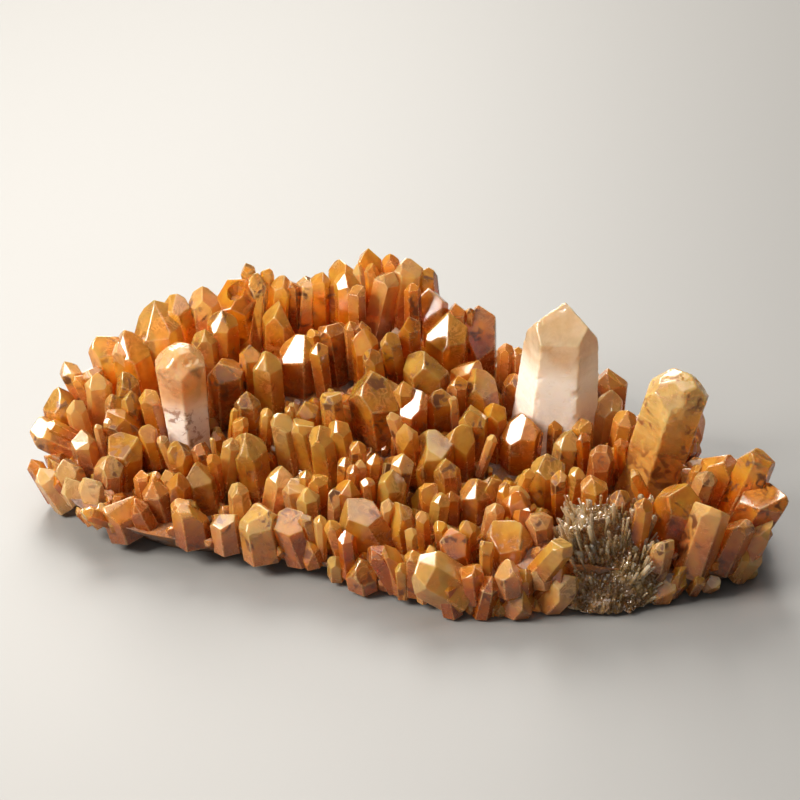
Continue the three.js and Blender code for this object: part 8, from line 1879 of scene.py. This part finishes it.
# ------------------------------------------------------------------ the large crystals
def large_crystal(name, row, kind, mat, node, voxel, lines, pits, wear):
    row = list(row)
    V, F, E = crystal_mesh(row, chip=False, wear=wear, most=3.0, rings=5)
    me = remeshed(name, V, F, voxel)
    P, Nn = coords(me)
    x, y, z, ax, ay, az, L, w, turn, taper, form, seed = row[:12]
    B = axes_of((ax, ay, az))
    Q = (P - np.array([x, y, z])) @ B
    NL = Nn @ B
    N, D = crystal_planes(L, w, turn, taper, int(form), seed, row[12] if len(row) > 12 else ())
    gap = np.sort(D - Q @ N.T, 1)
    edge = np.clip(1 - gap[:, 1] / (0.09 * w), 0, 1)
    prism = np.clip((0.45 - abs(NL[:, 2])) / 0.2, 0, 1)
    ph = Q[:, 2] + 0.25 * fbm(Q, 0.25, 3, seed % 17)
    step = np.clip(np.sin(ph * 2.1) * 2.2, -1, 1) * 0.5 + np.sin(ph * 5.7) * 0.35 + np.sin(ph * 11.3 + 1) * 0.2
    mask = np.clip(fbm(Q, 0.16, 3, seed % 13) * 2 + 0.55, 0, 1)
    d = lines * step * prism * mask
    d += 0.05 * fbm(Q, 0.35, 4, 3.0)
    pit = np.clip(fbm(Q, 0.55, 3, 5.0 + seed % 7) - 0.30, 0, 1)
    d -= pits * pit * (0.35 + edge)
    d -= 0.55 * np.clip(fbm(Q, 0.5, 3, 9.0) - 0.12, 0, 1) * edge
    put_coords(me, P + Nn * d[:, None] * np.clip((P[:, 2:3] - FLOOR) / 0.5, 0, 1))
    face_attr(me, "cid", np.zeros(len(me.polygons)))
    # faces near the edges are flagged for the lighter edge colour, partly wear and partly a painted edge highlight
    face_attr(me, "edge_wear_and_sheen", per_face(me, edge ** 2 * 0.8))
    crystal_attributes(me, [row], [kind])
    for p in me.polygons:
        p.use_smooth = True
    return finish_piece(name, me, mat, node)


# ------------------------------------------------------------------ the rock
def plate_mesh():
    tab = np.array(PLATE, float)
    n = 360
    fr = np.array([0.0] + list(RING_SHARES))
    ang = np.arange(n) / n * len(tab)
    i = np.floor(ang).astype(int)
    f = (ang - i)[:, None]

    def T(k):
        return tab[(i + k) % len(tab)]
    tt = T(0) + 0.5 * f * (T(1) - T(-1) + f * (2 * T(-1) - 5 * T(0) + 4 * T(1) - T(2) + f * (3 * (T(0) - T(1)) + T(2) - T(-1))))
    th = np.arange(n) / n * 2 * math.pi
    cs, sn = np.cos(th), np.sin(th)
    rings = []
    low = []
    for u in (0.0, 0.2, 0.4, 0.6, 0.8, 1.0):
        low.append((0.84 * u, 0.0, "u"))
    for u in np.linspace(0, 1, 9)[1:]:
        low.append((0.84 + (0.965 - 0.84) * u, u, "s"))
    for s, u, kind in low[1:]:
        r = tt[:, 0] * s
        z = tt[:, 1] * (u if kind == "s" else 0.0)
        rings.append(np.stack([r * cs, r * sn, z], 1))
    for u in np.linspace(0, 1, 9)[1:]:
        s = 0.965 + 0.035 * u
        z = tt[:, 1] + (tt[:, -1] - tt[:, 1]) * u
        r = tt[:, 0] * s
        rings.append(np.stack([r * cs, r * sn, z], 1))
    for s in np.linspace(1, 0, 70)[1:-1]:
        z = np.zeros(n)
        cols = np.concatenate([np.full((n, 1), CENTRE_HEIGHT), tt[:, 2:]], 1)
        k = min(max(np.searchsorted(fr, s) - 1, 0), len(fr) - 2)
        q = (s - fr[k]) / (fr[k + 1] - fr[k])
        z = cols[:, k] * (1 - q) + cols[:, k + 1] * q
        r = tt[:, 0] * s
        rings.append(np.stack([r * cs, r * sn, z], 1))
    P = np.concatenate([np.array([[0, 0, 0.0]])] + rings + [np.array([[0, 0, CENTRE_HEIGHT]])])
    m = len(rings)
    F = []
    for a in range(n):
        b = (a + 1) % n
        F.append((0, 1 + b, 1 + a))
        for k in range(m - 1):
            p = 1 + k * n
            F.append((p + a, p + b, p + n + b, p + n + a))
        p = 1 + (m - 1) * n
        F.append((p + a, p + b, len(P) - 1))
    P[:, 0] -= CENTRE[0]
    P[:, 1] -= CENTRE[1]
    return P, F


def rock(mat):
    P, F = plate_mesh()
    me = new_mesh("matrix", P * MM, F)
    P, Nn = coords(me)
    up = np.clip(P[:, 2] / 0.8, 0, 1)
    d = 0.55 * fbm(P, 0.16, 4, 1.0) + 0.30 * fbm(P, 0.6, 3, 4.0) + 0.22 * abs(fbm(P, 1.3, 2, 6.0))
    d = d - 0.45
    Pn = P + Nn * (d * up)[:, None]
    near = np.hypot((P[:, 0] + CENTRE[0] - 40.5) / 12.0, (P[:, 1] + CENTRE[1] + 37.0) / 10.0)
    Pn[:, 2] -= 2.6 * np.clip(1.5 - near, 0, 1) * np.clip((P[:, 2] - 2.0) / 3.0, 0, 1)
    flat = P[:, 2] < 0.02
    Pn[flat] = P[flat]
    Pn[:, 2] = np.maximum(Pn[:, 2], 0.0)
    put_coords(me, Pn)
    for p in me.polygons:
        p.use_smooth = True
    return finish_piece("matrix_look", me, mat, "matrix")


def rock_material():
    T = Tree("matrix rock")
    co = T.coord()
    n1 = T.noise(co, 0.16, 4.0, 0.6, 0.5)
    n2 = T.noise(co, 0.9, 6.0, 0.65)
    n3 = T.noise(co, 5.0, 4.0, 0.6)
    v = T.voronoi(co, 1.7)
    base = T.colors(n2, ((0.25, (0.085, 0.055, 0.045)), (0.5, (0.21, 0.135, 0.105)), (0.72, (0.34, 0.24, 0.19)), (0.85, (0.52, 0.42, 0.34))))
    rust = T.colors(n3, ((0.3, (0.16, 0.045, 0.008)), (0.7, (0.46, 0.17, 0.03))))
    base = T.mix(T.ramp(n1, 0.42, 0.62), base, rust)
    base = T.mix(T.ramp(v, 0.22, 0.05, 0.0, 0.45), base, (0.62, 0.50, 0.40))
    T.put(T.bsdf, "Base Color", base)
    T.put(T.bsdf, "Roughness", T.ramp(n3, 0.3, 0.7, 0.45, 0.85))
    T.bsdf.inputs["IOR"].default_value = 1.5
    T.put(T.bsdf, "Normal", T.bump(T.m("ADD", n3, T.m("MULTIPLY", v, -0.8)), 0.7, 0.00035))
    return T.mat


# ------------------------------------------------------------------ the bank of needles
def needle_bank(mat):
    N, D = [], []
    for n, p in NEEDLE_BANK:
        n = np.array(n, float)
        n /= np.linalg.norm(n)
        N.append(n)
        D.append(n @ (np.array(p, float) - np.array([CENTRE[0], CENTRE[1], 0])))
    N, D = np.array(N), np.array(D)
    C = corners(N, D + 0.2, 0.4)
    bm = bmesh.new()
    for c in C:
        bm.verts.new(c * MM)
    bmesh.ops.convex_hull(bm, input=bm.verts[:])
    bmesh.ops.recalc_face_normals(bm, faces=bm.faces[:])
    bm.verts.index_update()
    V = np.array([v.co[:] for v in bm.verts])
    F = [[v.index for v in f.verts] for f in bm.faces]
    bm.free()
    me = remeshed("needles", V, F, 0.30)
    P, Nn = coords(me)
    focus = np.array([40.5 - CENTRE[0], -38.0 - CENTRE[1], -3.0])
    low = np.clip((7.5 - P[:, 2]) / 4.0, 0, 1)
    R = P - focus
    fan = np.arctan2(R[:, 0], R[:, 2])
    ribs = np.stack([fan * 13.0, R[:, 1] * 0.5, np.linalg.norm(R, axis=1) * 0.10], 1)
    d = 1.3 * fbm(P, 0.17, 3, 2.0) + (1 - 0.75 * low) * (0.9 * abs(fbm(ribs, 0.9, 3, 3.0)) - 0.2)
    d += low * (1.2 * abs(fbm(P, 0.42, 3, 3.0)) - 0.2) + 0.45 * fbm(P, 1.3, 2, 8.0) - 0.3 - 1.2 * np.clip((P[:, 2] - 6.5) / 3.0, 0, 1)
    P = P + Nn * d[:, None]
    P[:, 2] = np.maximum(P[:, 2], 0.5)
    put_coords(me, P)
    Vb = P * MM
    Fb = [list(p.vertices) for p in me.polygons]
    cid = [0] * len(Fb)
    edge_wear_and_sheen = [0.0] * len(Fb)
    P, Nn = coords(me)
    r = numbers(4242)
    Vs, Fs = [Vb], list(Fb)
    rows, kinds = [[0, 0, 0, 0, 0, 1, 30, 12, 0, 0, 0, 5]], ["K"]
    base = len(Vb)
    made = 0
    tries = 0
    while made < 230 and tries < 12000:
        tries += 1
        k = int(r() * len(P))
        p, nn = P[k], Nn[k]
        if nn[1] > 0.3 or p[2] < 1.2 or r() > 0.12 + (p[2] / 11.0) ** 2:
            continue
        a = p - focus
        a /= np.linalg.norm(a)
        a = a * np.array([1.15, 0.30, 1.1]) + 0.05 * nn + np.array([(r() - 0.5) * 0.5, (r() - 0.7) * 0.3, 0.45 * r()])
        a /= np.linalg.norm(a)
        if a @ nn < -0.15:
            continue
        high = min(max((p[2] - 5.0) / 6.0, 0.0), 1.0)
        w = 0.34 + (0.45 + 0.75 * high) * r() ** 2.2
        L = (1.8 + (1.8 + 4.6 * high) * r()) * (0.8 + 0.35 * w)
        root = p - 0.9 * a
        row = [root[0], root[1], root[2], a[0], a[1], a[2], L, w, r() * 60, 0.8 * r(), 0 if r() < 0.75 else 1, 9000 + made]
        tip = root + a * L
        if (N @ tip - D).max() > 2.6 or tip[2] < 1.2:
            continue
        out = crystal_mesh(row, chip=False)
        if out is None:
            continue
        V, F, E = out
        rows.append(row)
        kinds.append("N")
        Vs.append(V)
        Fs += [[q + base for q in f] for f in F]
        cid += [len(rows) - 1] * len(F)
        edge_wear_and_sheen += list(E)
        base += len(V)
        made += 1
    me2 = new_mesh("needle_quartz_look", np.concatenate(Vs), Fs)
    face_attr(me2, "cid", cid)
    face_attr(me2, "edge_wear_and_sheen", edge_wear_and_sheen)
    crystal_attributes(me2, rows, kinds)
    for p in me2.polygons:
        p.use_smooth = False
    return finish_piece("needle_quartz_look", me2, mat, "needle_quartz")


# ------------------------------------------------------------------ build
stained = quartz("stained quartz", trans=0.86, sss=0.85, absorb=((0.99, 0.74, 0.10), 130.0))
milky = quartz("milky quartz", trans=0.70, sss=0.85, stain=0.8, absorb=((0.97, 0.86, 0.66), 20.0), milk_low=1.0, honey_top=0.30, veils=0.2, iron=(0.20, 0.052, 0.005), uneven=0.6, shades=((0.0, (0.95, 0.73, 0.50)), (0.3, (0.93, 0.56, 0.25)), (0.7, (0.88, 0.38, 0.07)), (1.0, (0.55, 0.17, 0.02))))
golden = quartz("golden quartz", trans=0.74, sss=0.85, stain=0.95, absorb=((0.98, 0.78, 0.36), 32.0), specks=0.95, iron=(0.16, 0.031, 0.0015), veils=0.5, uneven=0.6, shades=((0.0, (0.99, 0.66, 0.20)), (0.35, (0.98, 0.53, 0.09)), (0.7, (0.94, 0.36, 0.025)), (1.0, (0.66, 0.17, 0.008))))
needle = quartz("needle quartz", trans=0.94, sss=0.4, stain=0.6, absorb=((0.95, 0.80, 0.50), 70.0), uneven=1.6, shades=((0.0, (0.93, 0.78, 0.56)), (0.4, (0.84, 0.62, 0.34)), (0.72, (0.64, 0.40, 0.13)), (1.0, (0.40, 0.20, 0.05))))
stone = rock_material()

rock(stone)
needle_bank(needle)
large_crystal("milky_centre_crystal_look", ROWS[HERO["milky_centre_crystal"]], "M", milky, "milky_centre_crystal", 0.24, 0.03, 0.5, 0.10)
large_crystal("golden_right_crystal_look", ROWS[HERO["golden_right_crystal"]], "Y", golden, "golden_right_crystal", 0.24, 0.025, 0.7, 0.13)
large_crystal("milky_left_crystal_look", ROWS[HERO["milky_left_crystal"]], "H", milky, "milky_left_crystal", 0.24, 0.03, 0.7, 0.15)

for gi, node in enumerate(NODES):
    idx = [k for k in range(len(ROWS)) if NODE_OF[k] == gi]
    parts, rows, kinds = [], [], []
    for k in idx:
        out = crystal_mesh(ROWS[k])
        if out is None:
            continue
        parts.append((*out, len(rows)))
        rows.append(ROWS[k])
        kinds.append(KINDS[k])
    me = union_of(node + "_look", parts)
    if HOLLOW in idx:
        me = hollowed(me, ROWS[HOLLOW], len(rows))
        rows.append(ROWS[HOLLOW])
        kinds.append("C")
    crystal_attributes(me, rows, kinds)
    finish_piece(node + "_look", me, stained, node)

# ------------------------------------------------------------------ floor, light, camera
fm = Tree("studio floor")
fm.bsdf.inputs["Base Color"].default_value = (0.19, 0.186, 0.178, 1)
fm.bsdf.inputs["Roughness"].default_value = 0.55
fl = bpy.data.meshes.new("floor")
fl.from_pydata([(-4, -4, 0), (4, -4, 0), (4, 4, 0), (-4, 4, 0)], [], [(0, 1, 2, 3)])
floor = link("floor", fl)
floor.data.materials.append(fm.mat)
floor.location.z = -0.00002


def area(name, pos, aim, size, radiance, color=(1, 1, 1)):
    li = bpy.data.lights.new(name, "AREA")
    li.shape = "SQUARE"
    li.size = size * MM
    li.energy = radiance * math.pi * (size * MM) ** 2
    li.color = color
    ob = bpy.data.objects.new(name, li)
    bpy.context.scene.collection.objects.link(ob)
    ob.location = Vector(pos) * MM
    ob.rotation_euler = (Vector(aim) - Vector(pos)).to_track_quat("-Z", "Y").to_euler()
    return ob


area("key", (-430 - CENTRE[0], -150 - CENTRE[1], 360), (0, 0, 15), 250, 34.0, (1.0, 0.955, 0.89))
area("top", (60, 160, 820), (0, 0, 10), 700, 3.0)
area("fill", (-120, -700, 420), (0, 0, 15), 620, 0.8)
area("rim", (-120, 560, 420), (0, 0, 15), 420, 14.0, (1.0, 0.96, 0.90))
world = bpy.data.worlds.new("studio")
world.use_nodes = True
world.node_tree.nodes["Background"].inputs[0].default_value = (0.90, 0.88, 0.85, 1)
world.node_tree.nodes["Background"].inputs[1].default_value = 0.07
bpy.context.scene.world = world

cam = bpy.data.cameras.new("camera")
cam.lens = 126.0
cam.sensor_width = 36.0
cam.clip_start = 0.01
cob = bpy.data.objects.new("camera", cam)
bpy.context.scene.collection.objects.link(cob)
cob.location = Vector((CAMERA[0], CAMERA[1], CAMERA[2])) * MM
cob.rotation_euler = (Vector(AIM) * MM - cob.location).to_track_quat("-Z", "Y").to_euler()
bpy.context.scene.camera = cob
bpy.context.scene.view_settings.view_transform = "Standard"

bpy.context.view_layer.update()
